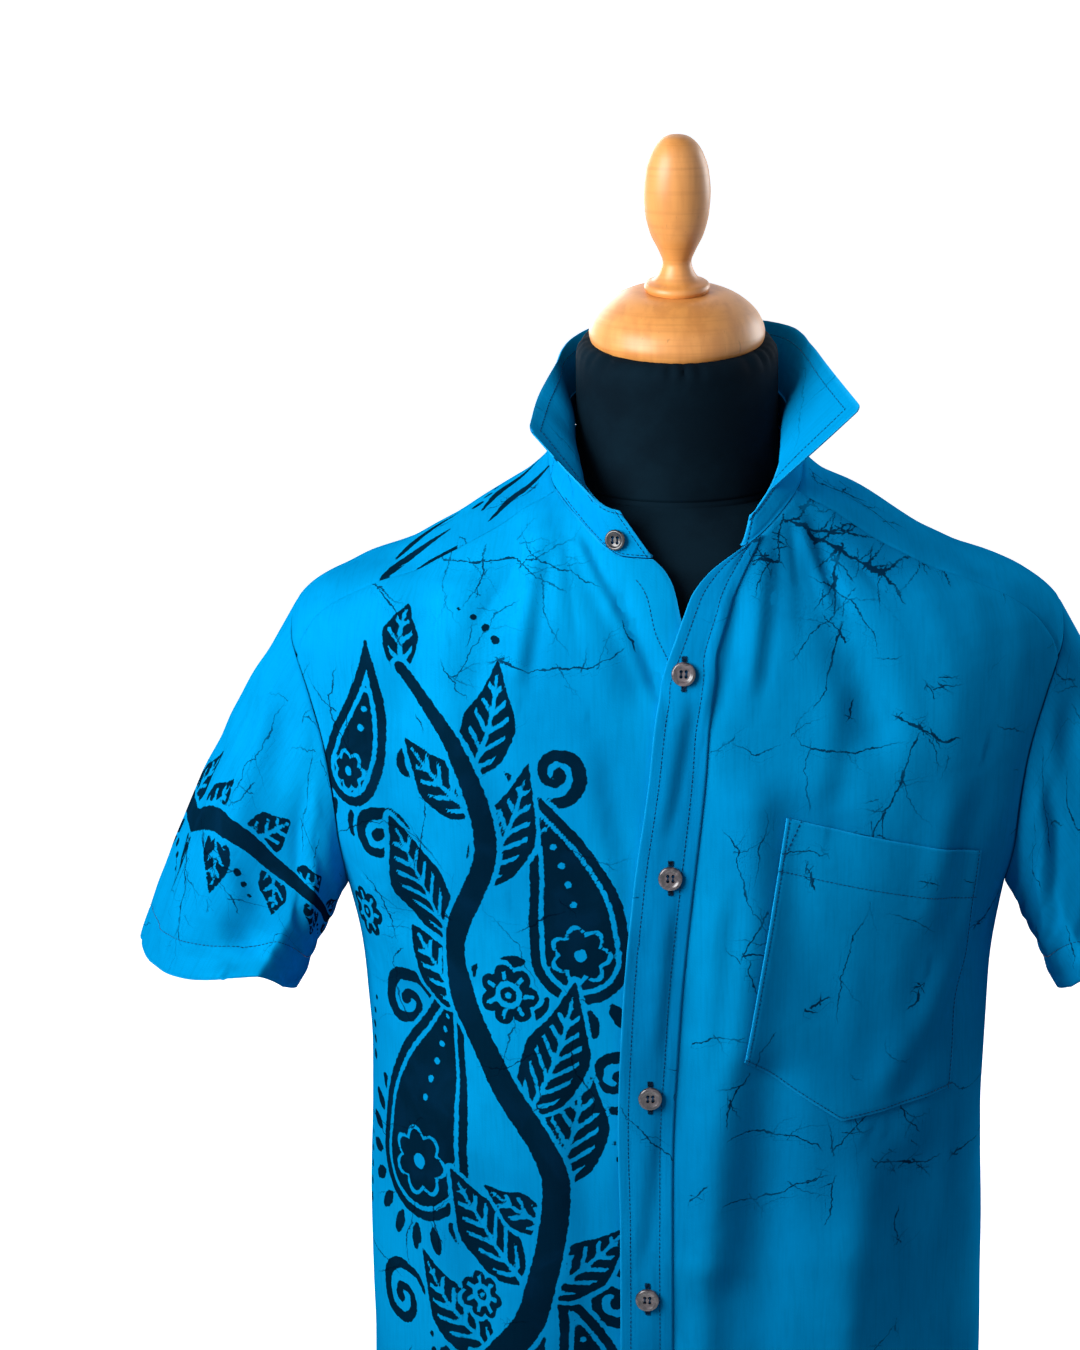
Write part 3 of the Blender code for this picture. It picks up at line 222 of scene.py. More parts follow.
POCKET_LOW_INNER = FrontPoint(0.0386, -0.3139)
POCKET_LOW_OUTER = FrontPoint(0.164, -0.354)
POCKET_POINT_DROP = 0.026   # of the pointed foot below the line of its corners
POCKET_POINT_PLACE = 0.465  # share of the way across where that point is
POCKET_CLEAR = 0.0014       # between the left front and the pocket that lies on it
BUTTON_RADIUS = 0.0071
BAND_BUTTON_RADIUS = 0.0062
BUTTON_THICKNESS = 0.0028
FRONT_BUTTONS = (
    ("button_1", 0.004, -0.0852), ("button_2", -0.0037, -0.2028), ("button_3", -0.0157, -0.3373),
    ("button_4", -0.0175, -0.465), ("button_5", -0.019, -0.59),
)
CAP_PROFILE = rows_of(TurnedRow, (
    (-0.0022, 0.05), (-0.0004, 0.052), (0.004, 0.0528), (0.012, 0.0502), (0.02, 0.0432),
    (0.0255, 0.0345), (0.028, 0.027), (0.0288, 0.0205),
))
FINIAL_PROFILE = rows_of(TurnedRow, (
    (0.0, 0.0188), (0.0022, 0.0196), (0.0046, 0.0188), (0.0066, 0.0142), (0.0116, 0.0104),
    (0.0178, 0.0086), (0.0242, 0.0108), (0.0352, 0.016), (0.0482, 0.0191), (0.0602, 0.0199),
    (0.0722, 0.0189), (0.0832, 0.0155), (0.0902, 0.0107), (0.0934, 0.0055), (0.0942, 0.0004),
))
FOOT_THICKNESS = 0.022
FOOT_PROFILE = rows_of(TurnedRow, (
    (0.0, 0.149), (0.001, 0.15), (0.018, 0.15), (0.0208, 0.1488), (0.022, 0.146),
))
COLUMN_PROFILE = rows_of(TurnedRow, (
    (0.0, 0.03), (0.005, 0.031), (0.009, 0.029), (0.015, 0.021), (0.028, 0.017), (0.12, 0.016),
    (0.21, 0.017), (0.228, 0.023), (0.234, 0.026),
))


class Side(Enum):
    """A side of the wearer."""

    RIGHT = -1
    LEFT = 1


class Face(Enum):
    """The half of the body that a fold lies on."""

    FRONT = 1
    BACK = -1


class Relief(Enum):
    """Cross-section of a crease."""

    SOFT = "soft"           # an even trough, or a ridge where its depth is negative
    STEP = "step"           # high on one side and low on the other
    SHARP = "sharp"         # a narrow bottom with long sides


class Crease(NamedTuple):
    """A fold of the body, from one end to the other as seen from its own side."""

    face: Face
    x0: float
    height0: float
    x1: float
    height1: float
    depth: float
    spread: float
    relief: Relief


def creases(face: Face, relief: Relief, rows: Iterable[Sequence[object]]) -> tuple[Crease, ...]:
    """Folds on one face of the body; a row may end with a relief of its own."""
    return tuple(Crease(face, *row[:6], *(row[6:] or (relief,))) for row in rows)


class SleeveCrease(NamedTuple):
    """A fold of a sleeve, by turn in degrees and share of its length."""

    turn0: float
    along0: float
    turn1: float
    along1: float
    depth: float
    spread: float
    relief: Relief = Relief.SOFT


MAIN_FOLDS = creases(Face.FRONT, Relief.SOFT, (
    (-0.064, -0.004, -0.016, -0.09, 0.0055, 0.0095), (-0.096, -0.022, -0.118, -0.09, 0.0045, 0.01),
    (-0.15, -0.06, -0.164, -0.115, 0.0035, 0.01), (0.043, -0.165, 0.02, -0.44, -0.0065, 0.012),
    (0.052, -0.33, 0.046, -0.56, 0.006, 0.012), (0.082, -0.034, 0.115, -0.12, 0.0045, 0.011),
    (-0.16, -0.2, -0.146, -0.34, 0.0055, 0.014), (-0.09, -0.47, -0.098, -0.69, -0.007, 0.02),
    (0.098, -0.45, 0.106, -0.69, -0.007, 0.02), (0.148, -0.4, 0.146, -0.6, 0.0055, 0.015),
)) + creases(Face.BACK, Relief.SOFT, (
    (-0.105, -0.13, -0.115, -0.56, 0.008, 0.017), (-0.033, -0.15, -0.042, -0.69, -0.007, 0.018),
    (0.04, -0.12, 0.036, -0.48, 0.007, 0.016), (0.115, -0.16, 0.126, -0.69, 0.0075, 0.018),
    (0.08, -0.42, 0.086, -0.69, -0.007, 0.018),
))
# Small creases: pulls from the neck points and armholes, drags at the buttons and soft
# breaks over the lower body, uneven from side to side.
SMALL_CREASES = creases(Face.FRONT, Relief.STEP, (
    (-0.06, -0.006, -0.03, -0.06, 0.0016, 0.0034),
    (-0.068, -0.004, -0.056, -0.075, 0.0014, 0.0036, Relief.SHARP),
    (-0.076, -0.008, -0.09, -0.1, 0.0018, 0.0048),
    (-0.085, -0.012, -0.124, -0.07, 0.0012, 0.004, Relief.SHARP),
    (-0.04, -0.03, -0.008, -0.11, 0.0016, 0.004), (-0.05, -0.12, -0.028, -0.24, 0.0016, 0.008),
    (-0.13, -0.08, -0.1, -0.21, 0.0018, 0.011), (-0.182, -0.14, -0.16, -0.25, 0.0022, 0.009),
    (-0.178, -0.235, -0.115, -0.3, 0.0022, 0.01), (-0.18, -0.29, -0.1, -0.4, 0.0018, 0.011),
    (-0.07, -0.3, -0.055, -0.48, 0.0018, 0.01), (-0.135, -0.38, -0.125, -0.56, 0.0022, 0.012),
    (0.066, 0.0, 0.074, -0.07, 0.0016, 0.0036, Relief.SHARP),
    (0.072, 0.002, 0.098, -0.06, 0.0016, 0.0036),
    (0.078, 0.0, 0.126, -0.05, 0.0014, 0.0036, Relief.SHARP),
    (0.056, -0.014, 0.044, -0.105, 0.0016, 0.0044), (0.034, -0.03, 0.016, -0.12, 0.0014, 0.0044),
    (0.008, -0.095, -0.008, -0.185, 0.0014, 0.0042),
    (0.016, -0.11, 0.006, -0.195, 0.001, 0.0036, Relief.SHARP),
    (-0.002, -0.215, -0.012, -0.32, 0.0012, 0.0046), (-0.012, -0.35, -0.022, -0.45, 0.0012, 0.005),
    (0.03, -0.2, 0.018, -0.33, 0.0016, 0.006), (0.1, -0.09, 0.088, -0.17, 0.0014, 0.009),
    (0.178, -0.15, 0.15, -0.26, 0.0022, 0.01), (0.182, -0.26, 0.12, -0.36, 0.0022, 0.01),
    (0.124, -0.38, 0.11, -0.52, 0.002, 0.011), (0.024, -0.42, 0.02, -0.62, 0.0018, 0.009),
    (-0.045, -0.5, -0.05, -0.68, 0.0018, 0.01), (0.07, -0.56, 0.072, -0.69, 0.0016, 0.01),
)) + creases(Face.BACK, Relief.STEP, (
    (-0.15, -0.11, -0.13, -0.23, 0.0022, 0.01), (0.148, -0.1, 0.13, -0.24, 0.0022, 0.01),
    (-0.07, -0.02, -0.085, -0.08, 0.0014, 0.005, Relief.SHARP),
    (0.072, -0.018, 0.09, -0.078, 0.0014, 0.005, Relief.SHARP),
    (-0.07, -0.2, -0.076, -0.42, 0.002, 0.012), (0.01, -0.26, 0.004, -0.52, 0.002, 0.012),
    (0.08, -0.15, 0.086, -0.33, 0.002, 0.012), (-0.15, -0.33, -0.09, -0.42, 0.002, 0.011),
    (0.152, -0.32, 0.1, -0.42, 0.002, 0.011),
))
SLEEVE_FOLDS = rows_of(SleeveCrease, (
    (60, 0.12, 98, 0.8, 0.0065, 0.012), (20, 0.3, 12, 0.95, 0.0035, 0.013),
    (250, 0.15, 225, 0.85, 0.007, 0.014), (84, 0.05, 122, 0.46, 0.0022, 0.007, Relief.STEP),
    (76, 0.1, 100, 0.92, -0.0058, 0.019, Relief.STEP),
    (110, 0.2, 140, 0.62, 0.002, 0.006, Relief.STEP),
    (38, 0.1, 64, 0.55, 0.002, 0.009, Relief.STEP),
    (76, 0.55, 92, 0.97, 0.0016, 0.009, Relief.STEP),
    (35, 0.6, 34, 0.97, 0.0014, 0.01, Relief.STEP), (290, 0.2, 268, 0.8, 0.002, 0.01, Relief.STEP),
    (325, 0.15, 322, 0.75, 0.0018, 0.011, Relief.STEP),
))


# ---------------------------------------------------------------- numbers
def column(table: Sequence[NamedTuple], name: str) -> Grid:
    """One named column of a table as an array."""
    return np.array([getattr(row, name) for row in table], dtype=float)


def between(first: Grid, second: Grid, share: Grid) -> Grid:
    """Values from the first at a share of 0 to the second at 1."""
    return first * (1.0 - share) + second * share


def even_shares(cells: int) -> Grid:
    """Shares from 0 to 1 in equal steps."""
    return np.linspace(0.0, 1.0, cells + 1)


def smooth_curve(knots: Grid, values: Grid, at: Grid) -> Grid:
    """Cubic curve through the knots that never overshoots them.

    Args:
        knots: Rising places of the known values.
        values: Known values.
        at: Places to read.

    Returns:
        The curve's values at those places.
    """
    knots = np.asarray(knots, dtype=float)
    values = np.asarray(values, dtype=float)
    at = np.clip(np.asarray(at, dtype=float), knots[0], knots[-1])
    steps = np.diff(knots)
    slopes = np.diff(values) / steps
    tangents = np.zeros_like(values)
    tangents[0] = slopes[0]
    tangents[-1] = slopes[-1]
    same = slopes[:-1] * slopes[1:] > 0.0
    weight_a = 2.0 * steps[1:] + steps[:-1]
    weight_b = steps[1:] + 2.0 * steps[:-1]
    safe_a = np.where(same, slopes[:-1], 1.0)
    safe_b = np.where(same, slopes[1:], 1.0)
    mean = (weight_a + weight_b) / (weight_a / safe_a + weight_b / safe_b)
    tangents[1:-1] = np.where(same, mean, 0.0)
    place = np.clip(np.searchsorted(knots, at, side="right") - 1, 0, len(steps) - 1)
    span = steps[place]
    t = (at - knots[place]) / span
    rise = t * t * (3.0 - 2.0 * t)
    start = between(values[place], values[place + 1], rise)
    bend_a = tangents[place] * span * t * (1.0 - t) * (1.0 - t)
    bend_b = tangents[place + 1] * span * t * t * (1.0 - t)
    return start + bend_a - bend_b


def table_curve(table: Sequence[NamedTuple], knot: str, names: Iterable[str], at: Grid) -> list[Grid]:
    """Several columns of a table, read smoothly along another one."""
    knots = column(table, knot)
    return [smooth_curve(knots, column(table, name), at) for name in names]


def unit(vectors: Grid) -> Grid:
    """Vectors of length one."""
    return vectors / np.maximum(np.linalg.norm(vectors, axis=-1, keepdims=True), 1e-12)


def smooth_step(low: float, high: float, value: Grid) -> Grid:
    """Ease from 0 at low to 1 at high."""
    share = np.clip((value - low) / (high - low), 0.0, 1.0)
    return share * share * (3.0 - 2.0 * share)


def grid_facing(points: Grid) -> Grid:
    """Normals of a grid of points, across its rows and then up its columns."""
    return unit(np.cross(np.gradient(points, axis=1), np.gradient(points, axis=0)))


def path_lengths(points: Grid) -> Grid:
    """Length along a line of points, 0 at its start."""
    steps = np.linalg.norm(np.diff(points, axis=0), axis=-1)
    return np.concatenate([np.zeros((1,) + steps.shape[1:]), np.cumsum(steps, axis=0)])


def relief_profile(away: Grid, spread: float, relief: Relief) -> Grid:
    """Height of a crease's cross-section, 1 at its line, by signed distance from it."""
    share = away / spread
    if relief is Relief.STEP:
        return share * np.exp(0.5 - share ** 2 / 2.0)
    if relief is Relief.SHARP:
        return 1.0 / (1.0 + np.abs(share) ** 1.6) * np.exp(-share ** 2 / 18.0)
    return np.exp(-share ** 2 / 2.0)


CREASE_END = 0.03           # share of a crease that is as shallow as its end
CREASE_FADE = 1.6           # how soon a crease gains its depth


def crease_relief(rel_a: Grid, rel_b: Grid, run: Grid, spread: float, relief: Relief) -> Grid:
    """Relief of one crease on a flat pattern; only a soft one keeps its depth to its ends.

    Args:
        rel_a: First coordinate, from the crease's start.
        rel_b: Second coordinate, from the crease's start.
        run: Vector from the crease's start to its end.
        spread: Half width of the crease.
        relief: Form of its cross-section.

    Returns:
        The relief, about 1 at the crease's line.
    """
    share = np.clip((rel_a * run[0] + rel_b * run[1]) / run.dot(run), 0.0, 1.0)
    gap_a = rel_a - share * run[0]
    gap_b = rel_b - share * run[1]
    turn = np.sign(run[0] * gap_b - run[1] * gap_a)
    away = np.hypot(gap_a, gap_b) * np.where(turn == 0.0, 1.0, turn)
    shape = relief_profile(away, spread, relief)
    if relief is not Relief.SOFT:
        open_share = np.clip(share, CREASE_END, 1.0 - CREASE_END)
        shape = shape * np.clip(np.sin(math.pi * open_share) * CREASE_FADE, 0.0, 1.0)
    return shape


class SoftRipple:
    """Slight uneven waves of worn cotton, the same on each run."""

    WAVES = 14
    SEED = 11

    def __init__(self, shortest: float, longest: float, height: float) -> None:
        """Draw the waves.

        Args:
            shortest: Shortest wave in metres.
            longest: Longest wave in metres.
            height: Typical height of the whole.
        """
        draw = np.random.default_rng(self.SEED)
        lengths = np.exp(draw.uniform(math.log(shortest), math.log(longest), self.WAVES))
        heading = draw.uniform(0.0, math.pi, self.WAVES)
        self.turns = 2.0 * math.pi / lengths
        self.across = np.cos(heading)
        self.along = np.sin(heading)
        self.phase = draw.uniform(0.0, 2.0 * math.pi, self.WAVES)
        self.height = height * lengths / lengths.max()

    def at(self, first: Grid, second: Grid) -> Grid:
        """Height of the waves at flat coordinates."""
        total = np.zeros_like(first)
        for turns, across, along, phase, height in zip(
                self.turns, self.across, self.along, self.phase, self.height):
            total += height * np.sin(turns * (first * across + second * along) + phase)
        return total


RIPPLE = SoftRipple(shortest=0.026, longest=0.11, height=0.00045)


# ---------------------------------------------------------------- form of the cloth
def ring_point(table: Sequence[BodyRing], angle: Grid, height: Grid) -> Grid:
    """Point of a body ring, angle 0 at the front and positive to the wearer's left."""
    names = ("half_width", "front_depth", "back_depth")
    half_width, front, back = table_curve(table, "height", names, height)
    power = 2.0 / SQUARENESS
    sine = np.sin(angle)
    cosine = np.cos(angle)
    depth = np.where(cosine >= 0.0, front, back)
    x = half_width * np.sign(sine) * np.abs(sine) ** power
    y = -depth * np.sign(cosine) * np.abs(cosine) ** power
    return np.stack([x, y, height + 0.0 * x], axis=-1)


def angle_at(x: Grid, height: Grid) -> Grid:
    """Angle of the front's point that lies at x."""
    half_width = table_curve(SHIRT_RINGS, "height", ("half_width",), height)[0]
    share = np.clip(np.abs(x) / half_width, 0.0, 1.0)
    return np.sign(x) * np.arcsin(share ** (SQUARENESS / 2.0))


def stepped_normals(surface: Callable[[Grid, Grid], Grid], angle: Grid, height: Grid) -> Grid:
    """Outward normals of a surface given by angle and height."""
    turn = 0.004
    rise = 0.0006
    across = surface(angle + turn, height) - surface(angle - turn, height)
    up = surface(angle, height + rise) - surface(angle, height - rise)
    return unit(np.cross(across, up))


def plain_body(angle: Grid, height: Grid) -> Grid:
    """The shirt's body without its folds."""
    return ring_point(SHIRT_RINGS, angle, height)


def fold_height(angle: Grid, height: Grid) -> Grid:
    """How far folds, creases and ripples move the body's cloth outwards."""
    base = plain_body(angle, height)
    facing = np.cos(angle)
    total = RIPPLE.at(base[..., 0] + 0.4 * base[..., 1], 0.4 * height - 0.3 * base[..., 1])
    for crease in MAIN_FOLDS + SMALL_CREASES:
        shown = np.clip(crease.face.value * facing * 3.0, 0.0, 1.0)
        run = np.array([crease.x1 - crease.x0, crease.height1 - crease.height0])
        shape = crease_relief(base[..., 0] - crease.x0, height - crease.height0, run,
                              crease.spread, crease.relief)
        total -= crease.depth * shown * shape
    return total


def body_cloth(angle: Grid, height: Grid) -> Grid:
    """The shirt's body with its folds."""
    normals = stepped_normals(plain_body, angle, height)
    return plain_body(angle, height) + normals * fold_height(angle, height)[..., None]


def overlap_lift(x: Grid) -> Grid:
    """Lift of the wearer's left front where it lies on the right one."""
    return OVERLAP_LIFT * (1.0 - smooth_step(OVERLAP_EASE[0], OVERLAP_EASE[1], x))


def left_cloth(angle: Grid, height: Grid) -> Grid:
    """Point of the left front's outer side."""
    points = body_cloth(angle, height)
    normals = stepped_normals(plain_body, angle, height)
    return points + normals * overlap_lift(points[..., 0])[..., None]


def left_front(x: Grid, height: Grid) -> Grid:
    """Point of the left front's outer side that shows at x from the front."""
    return left_cloth(angle_at(x, height), height)


def armhole(turn: Grid, side: Side) -> tuple[Grid, Grid]:
    """Angle and height on the armhole, turn 0 at its top and 90 degrees at its front."""
    middle = (ARMHOLE_TOP + UNDERARM_HEIGHT) / 2.0
    half = (ARMHOLE_TOP - UNDERARM_HEIGHT) / 2.0
    angle = side.value * (math.pi / 2.0 - ARMHOLE_HALF_ANGLE * np.sin(turn))
    return angle, middle + half * np.cos(turn)


def sleeve_hem(turn: Grid) -> Grid:
    """Point of the left sleeve's hem at a turn round it."""
    knots = column(SLEEVE_HEM, "turn")
    closed = np.concatenate([knots - 360.0, knots, knots + 360.0])
    degrees = np.mod(np.degrees(turn), 360.0)
    parts = [smooth_curve(closed, np.tile(column(SLEEVE_HEM, name), 3), degrees)
             for name in ("x", "y", "height")]
    return np.stack(parts, axis=-1)


def plain_sleeve(turn: Grid, along: Grid, side: Side) -> Grid:
    """Point of a sleeve without its folds, along 0 at the armhole and 1 at the hem."""
    top = body_cloth(*armhole(turn, side))
    hem = sleeve_hem(turn) * np.array([side.value, 1.0, 1.0])
    base = between(top, hem, along[..., None])
    shown = np.clip(np.cos(turn) + SLEEVE_BULGE_REACH, 0.0, 1.0)
    swell = SLEEVE_BULGE * np.sin(math.pi * along) * shown
    base[..., 0] += side.value * swell
    base[..., 2] += SLEEVE_BULGE_LIFT * swell
    return base


def sleeve_fold_height(turn: Grid, along: Grid) -> Grid:
    """How far the sleeve's folds move its cloth outwards."""
    degrees = np.mod(np.degrees(turn), 360.0)
    scale = np.array([SLEEVE_GIRTH / 360.0, SLEEVE_LENGTH])
    total = np.zeros_like(along)
    for crease in SLEEVE_FOLDS:
        start = np.array([crease.turn0, crease.along0]) * scale
        run = np.array([crease.turn1, crease.along1]) * scale - start
        shape = crease_relief(degrees * scale[0] - start[0], along * scale[1] - start[1], run,
                              crease.spread, crease.relief)
        total -= crease.depth * shape
    lively = RIPPLE.at(np.cos(turn) * SLEEVE_GIRTH / 6.0 + along * scale[1],
                       np.sin(turn) * SLEEVE_GIRTH / 6.0)
    return (total + lively) * np.clip(along / SLEEVE_FOLD_START, 0.0, 1.0)


class FlatMap:
    """Turns a place on the body into real lengths over the cloth, for weave and dye."""

    LEVELS = 90
    TURNS = 121

    def __init__(self) -> None:
        """Measure the body's rings and the lines that run up it."""
        self.heights = np.linspace(HEM_HEIGHT, SHIRT_RINGS[-1].height, self.LEVELS)
        self.angles = np.linspace(0.0, math.pi, self.TURNS)
        points = plain_body(self.angles[None, :], self.heights[:, None])
        self.round = path_lengths(np.swapaxes(points, 0, 1)).T
        self.up = path_lengths(points)

    def _read(self, table: Grid, angle: Grid, height: Grid) -> Grid:
        """Value of a table between its levels and turns."""
        level = np.clip((height - self.heights[0]) / (self.heights[1] - self.heights[0]),
                        0.0, self.LEVELS - 1.001)
        turn = np.clip(angle / self.angles[1], 0.0, self.TURNS - 1.001)
        low = level.astype(int)
        first = turn.astype(int)
        part = level - low
        share = turn - first
        near = between(table[low, first], table[low, first + 1], share)
        far = between(table[low + 1, first], table[low + 1, first + 1], share)
        return between(near, far, part)

    def front(self, angle: Grid, height: Grid) -> Grid:
        """Cloth coordinates from the front's middle and the hem."""
        turn = np.abs(angle)
        across = np.sign(angle) * self._read(self.round, turn, height)
        return np.stack([across, self._read(self.up, turn, height)], axis=-1)

    def back(self, angle: Grid, height: Grid) -> Grid:
        """Cloth coordinates from the back's middle and the hem."""
        from_back = angle + math.pi
        turn = math.pi - np.abs(from_back)
        whole = self._read(self.round, np.full_like(turn, math.pi), height)
        across = np.sign(from_back) * (whole - self._read(self.round, turn, height))
        return np.stack([across, self._read(self.up, turn, height)], axis=-1)

    def front_at(self, x: Grid, height: Grid) -> Grid:
        """Cloth coordinates of what shows at x from the front."""
        return self.front(angle_at(x, height), height)


FLAT = FlatMap()


# ---------------------------------------------------------------- sheets of cloth
FOLD_RADIUS = 0.0008        # of a folded edge
FOLD_HIGHLIGHT_REACH = 0.0009           # how far its painted highlight reaches


class Edge(Enum):
    """A border of a cloth grid: the axis that runs in from it, and whether it is the last."""

    FIRST_ROW = (0, False)
    LAST_ROW = (0, True)
    FIRST_COLUMN = (1, False)
    LAST_COLUMN = (1, True)

    def inwards(self, values: Grid) -> Grid:
        """A grid's values, turned so that the second axis runs in from this edge."""
        axis, last = self.value
        turned = values if axis else np.swapaxes(values, 0, 1)
        return turned[:, ::-1] if last else turned

    def restored(self, values: Grid) -> Grid:
        """Values that run in from this edge, turned back to the grid's own order."""
        axis, last = self.value
        turned = values[:, ::-1] if last else values
        return turned if axis else turned.T


@dataclass
class ClothGrid:
    """Outer points of a cloth piece with their flat places; a closed one repeats its first column."""

    points: Grid
    flat: Grid
    closed: bool = False
    facing: Grid = field(init=False)

    def __post_init__(self) -> None:
        """Work out the normals."""
        self.facing = self._normals()

    def _normals(self) -> Grid:
        """Normals, carried round where the columns join."""
        if not self.closed:
            return grid_facing(self.points)
        lapped = np.concatenate([self.points[:, -2:-1], self.points, self.points[:, 1:2]], axis=1)
        return grid_facing(lapped)[:, 1:-1]

    def lifted(self, distance: Grid | float) -> "ClothGrid":
        """The same grid, moved outwards."""
        reach = distance if np.isscalar(distance) else np.asarray(distance)[..., None]
        return ClothGrid(self.points + self.facing * reach, self.flat, self.closed)

    def seamed(self, edges: Sequence[Edge], gap: float, roll: float) -> "ClothGrid":
        """The same grid with some edges drawn back from their seams and turned in."""
        moved = self.points.copy()
        for edge in edges:
            points, facing = edge.inwards(self.points), edge.inwards(self.facing)
            edge.inwards(moved)[:, 0] += unit(points[:, 1] - points[:, 0]) * gap
            edge.inwards(moved)[:, 0] -= facing[:, 0] * roll
        return ClothGrid(moved, self.flat, self.closed)

    def inset_line(self, edge: Edge, distance: float, start: float = 0.0,
                   end: float = 1.0, lift: float = LINE_LIFT) -> Grid:
        """A line on the cloth at a distance from one edge.

        Args:
            edge: The edge that it follows.
            distance: How far it runs inside that edge.
            start: Share of the edge at which the line begins.
            end: Share at which it ends.
            lift: How far it lies over the cloth.

        Returns:
            The line's points.
        """
        points, facing = edge.inwards(self.points), edge.inwards(self.facing)
        lengths = path_lengths(np.swapaxes(points, 0, 1)).T
        count = points.shape[0]
        rows = range(round(start * (count - 1)), round(end * (count - 1)) + 1)
        line = []
        for row in rows:
            place = [np.interp(distance, lengths[row], points[row, :, axis]) for axis in range(3)]
            normal = [np.interp(distance, lengths[row], facing[row, :, axis]) for axis in range(3)]
            line.append(np.array(place) + unit(np.array(normal)) * lift)
        return np.array(line)

    def edge_distance(self, edge: Edge) -> Grid:
        """Distance of each point from one edge, along the cloth."""
        return edge.restored(path_lengths(np.swapaxes(edge.inwards(self.points), 0, 1)).T)

    def groove(self, edge: Edge, distance: float, depth: float, spread: float) -> "ClothGrid":
        """The same grid, drawn in along a line of stitches."""
        away = self.edge_distance(edge) - distance
        return self.lifted(-depth * np.exp(-(away / spread) ** 2))

    def nearest(self, edges: Sequence[Edge]) -> Grid:
        """Distance of each point from the nearest of some edges."""
        return np.min([self.edge_distance(edge) for edge in edges], axis=0)

    def rolled(self, edges: Sequence[Edge]) -> "ClothGrid":
        """The same grid with its folded edges rounded over."""
        short = np.clip(FOLD_RADIUS - self.nearest(edges), 0.0, FOLD_RADIUS * 0.98)
        return self.lifted(np.sqrt(FOLD_RADIUS ** 2 - short ** 2) - FOLD_RADIUS)

    def rounded(self, row_edge: Edge, column_edge: Edge, radius: float) -> "ClothGrid":
        """The same grid with one corner rounded off."""
        down = np.clip(1.0 - self.edge_distance(row_edge) / radius, 0.0, 1.0)
        over = np.clip(1.0 - self.edge_distance(column_edge) / radius, 0.0, 1.0)
        size = np.maximum(np.hypot(down, over), 1e-6)
        keep = np.maximum(down, over) / size
        away_row = 1.0 if row_edge is Edge.FIRST_ROW else -1.0
        away_column = 1.0 if column_edge is Edge.FIRST_COLUMN else -1.0
        ahead_row = unit(np.gradient(self.points, axis=0)) * away_row
        ahead_column = unit(np.gradient(self.points, axis=1)) * away_column
        shift_row = (down * (1.0 - keep) * radius)[..., None]
        shift_column = (over * (1.0 - keep) * radius)[..., None]
        points = self.points + ahead_row * shift_row + ahead_column * shift_column
        return ClothGrid(points, self.flat, self.closed)

    def rim(self, edges: Sequence[Edge]) -> Grid:
        """How near each point is to a folded edge, 1 at the edge, where the painted highlight is
        strongest.
        """
        return 1.0 - smooth_step(0.0, FOLD_HIGHLIGHT_REACH, self.nearest(edges))


def cloth_wall(name: str, grid: ClothGrid, core: ClothGrid, thickness: float,
               marks: dict[str, Grid | float], inner_step: int = 1) -> Object:
    """A closed cloth wall under a grid, with its flat map and marks.

    Args:
        name: The piece's name.
        grid: Outer points.
        core: The same without its rolled edges, under which the inner side lies.
        thickness: Wall.
        marks: Values at each point for the finish to read, or one value for all.
        inner_step: Every how many rows and columns the inside has one.

    Returns:
        The new object.
    """
    rows, columns = grid.points.shape[:2]
    inner = core.points - core.facing * thickness
    size = rows * columns
    codes = np.arange(size).reshape(rows, columns)
    vertex_of = np.arange(2 * size)
    if grid.closed:
        vertex_of = vertex_of.reshape(2, rows, columns)
        vertex_of[:, :, -1] = vertex_of[:, :, 0]
        vertex_of = vertex_of.reshape(-1)
    quads = np.stack([codes[:-1, :-1], codes[:-1, 1:], codes[1:, 1:], codes[1:, :-1]], axis=-1)
    coarse = codes[::inner_step, ::inner_step] + size
    backs = np.stack([coarse[:-1, :-1], coarse[1:, :-1], coarse[1:, 1:], coarse[:-1, 1:]], axis=-1)
    faces = [list(face) for face in quads.reshape(-1, 4)] + [list(f) for f in backs.reshape(-1, 4)]

    def rim(line: Grid, forward: bool) -> None:
        """Close the wall along one line of its border."""
        for first in range(0, len(line) - 1, inner_step):
            part = list(line[first:first + inner_step + 1])
            face = part[::-1] + [part[0] + size, part[-1] + size]
            faces.append(face if forward else face[::-1])

    rim(codes[0], True)
    rim(codes[-1], False)
    if not grid.closed:
        rim(codes[:, 0], False)
        rim(codes[:, -1], True)
    places = np.concatenate([grid.points.reshape(-1, 3), inner.reshape(-1, 3)])
    corners = np.concatenate([np.array(face) for face in faces])
    used = np.unique(vertex_of[corners])
    order = np.full(2 * size, -1)
    order[used] = np.arange(len(used))
    shapes = [order[vertex_of[face]].tolist() for face in faces]
    mesh = bpy.data.meshes.new(name)
    mesh.from_pydata((places[used] + np.array([0.0, 0.0, NECK_SEAM])).tolist(), [], shapes)
    layer = mesh.uv_layers.new(name="cloth")
    corner_flat = grid.flat.reshape(-1, 2)[corners % size]
    layer.data.foreach_set("uv", corner_flat.astype(np.float32).reshape(-1))
    for mark, values in marks.items():
        many = np.ndim(values) == 3
        shape = (rows, columns, 3) if many else (rows, columns, 1)
        spread = np.broadcast_to(np.reshape(values, shape if np.ndim(values) else (1, 1, 1)), shape)
        store = mesh.attributes.new(mark, "FLOAT_VECTOR" if many else "FLOAT", "POINT")
        store.data.foreach_set("vector" if many else "value",
                               spread.reshape(size, -1)[used % size].astype(np.float32).reshape(-1))
    mesh.validate()
    return link(name, smoothed(mesh, 50.0))


def link(name: str, data: bpy.types.ID) -> Object:
    """An object of that name in the scene."""
    obj = bpy.data.objects.new(name, data)
    bpy.context.scene.collection.objects.link(obj)
    return obj


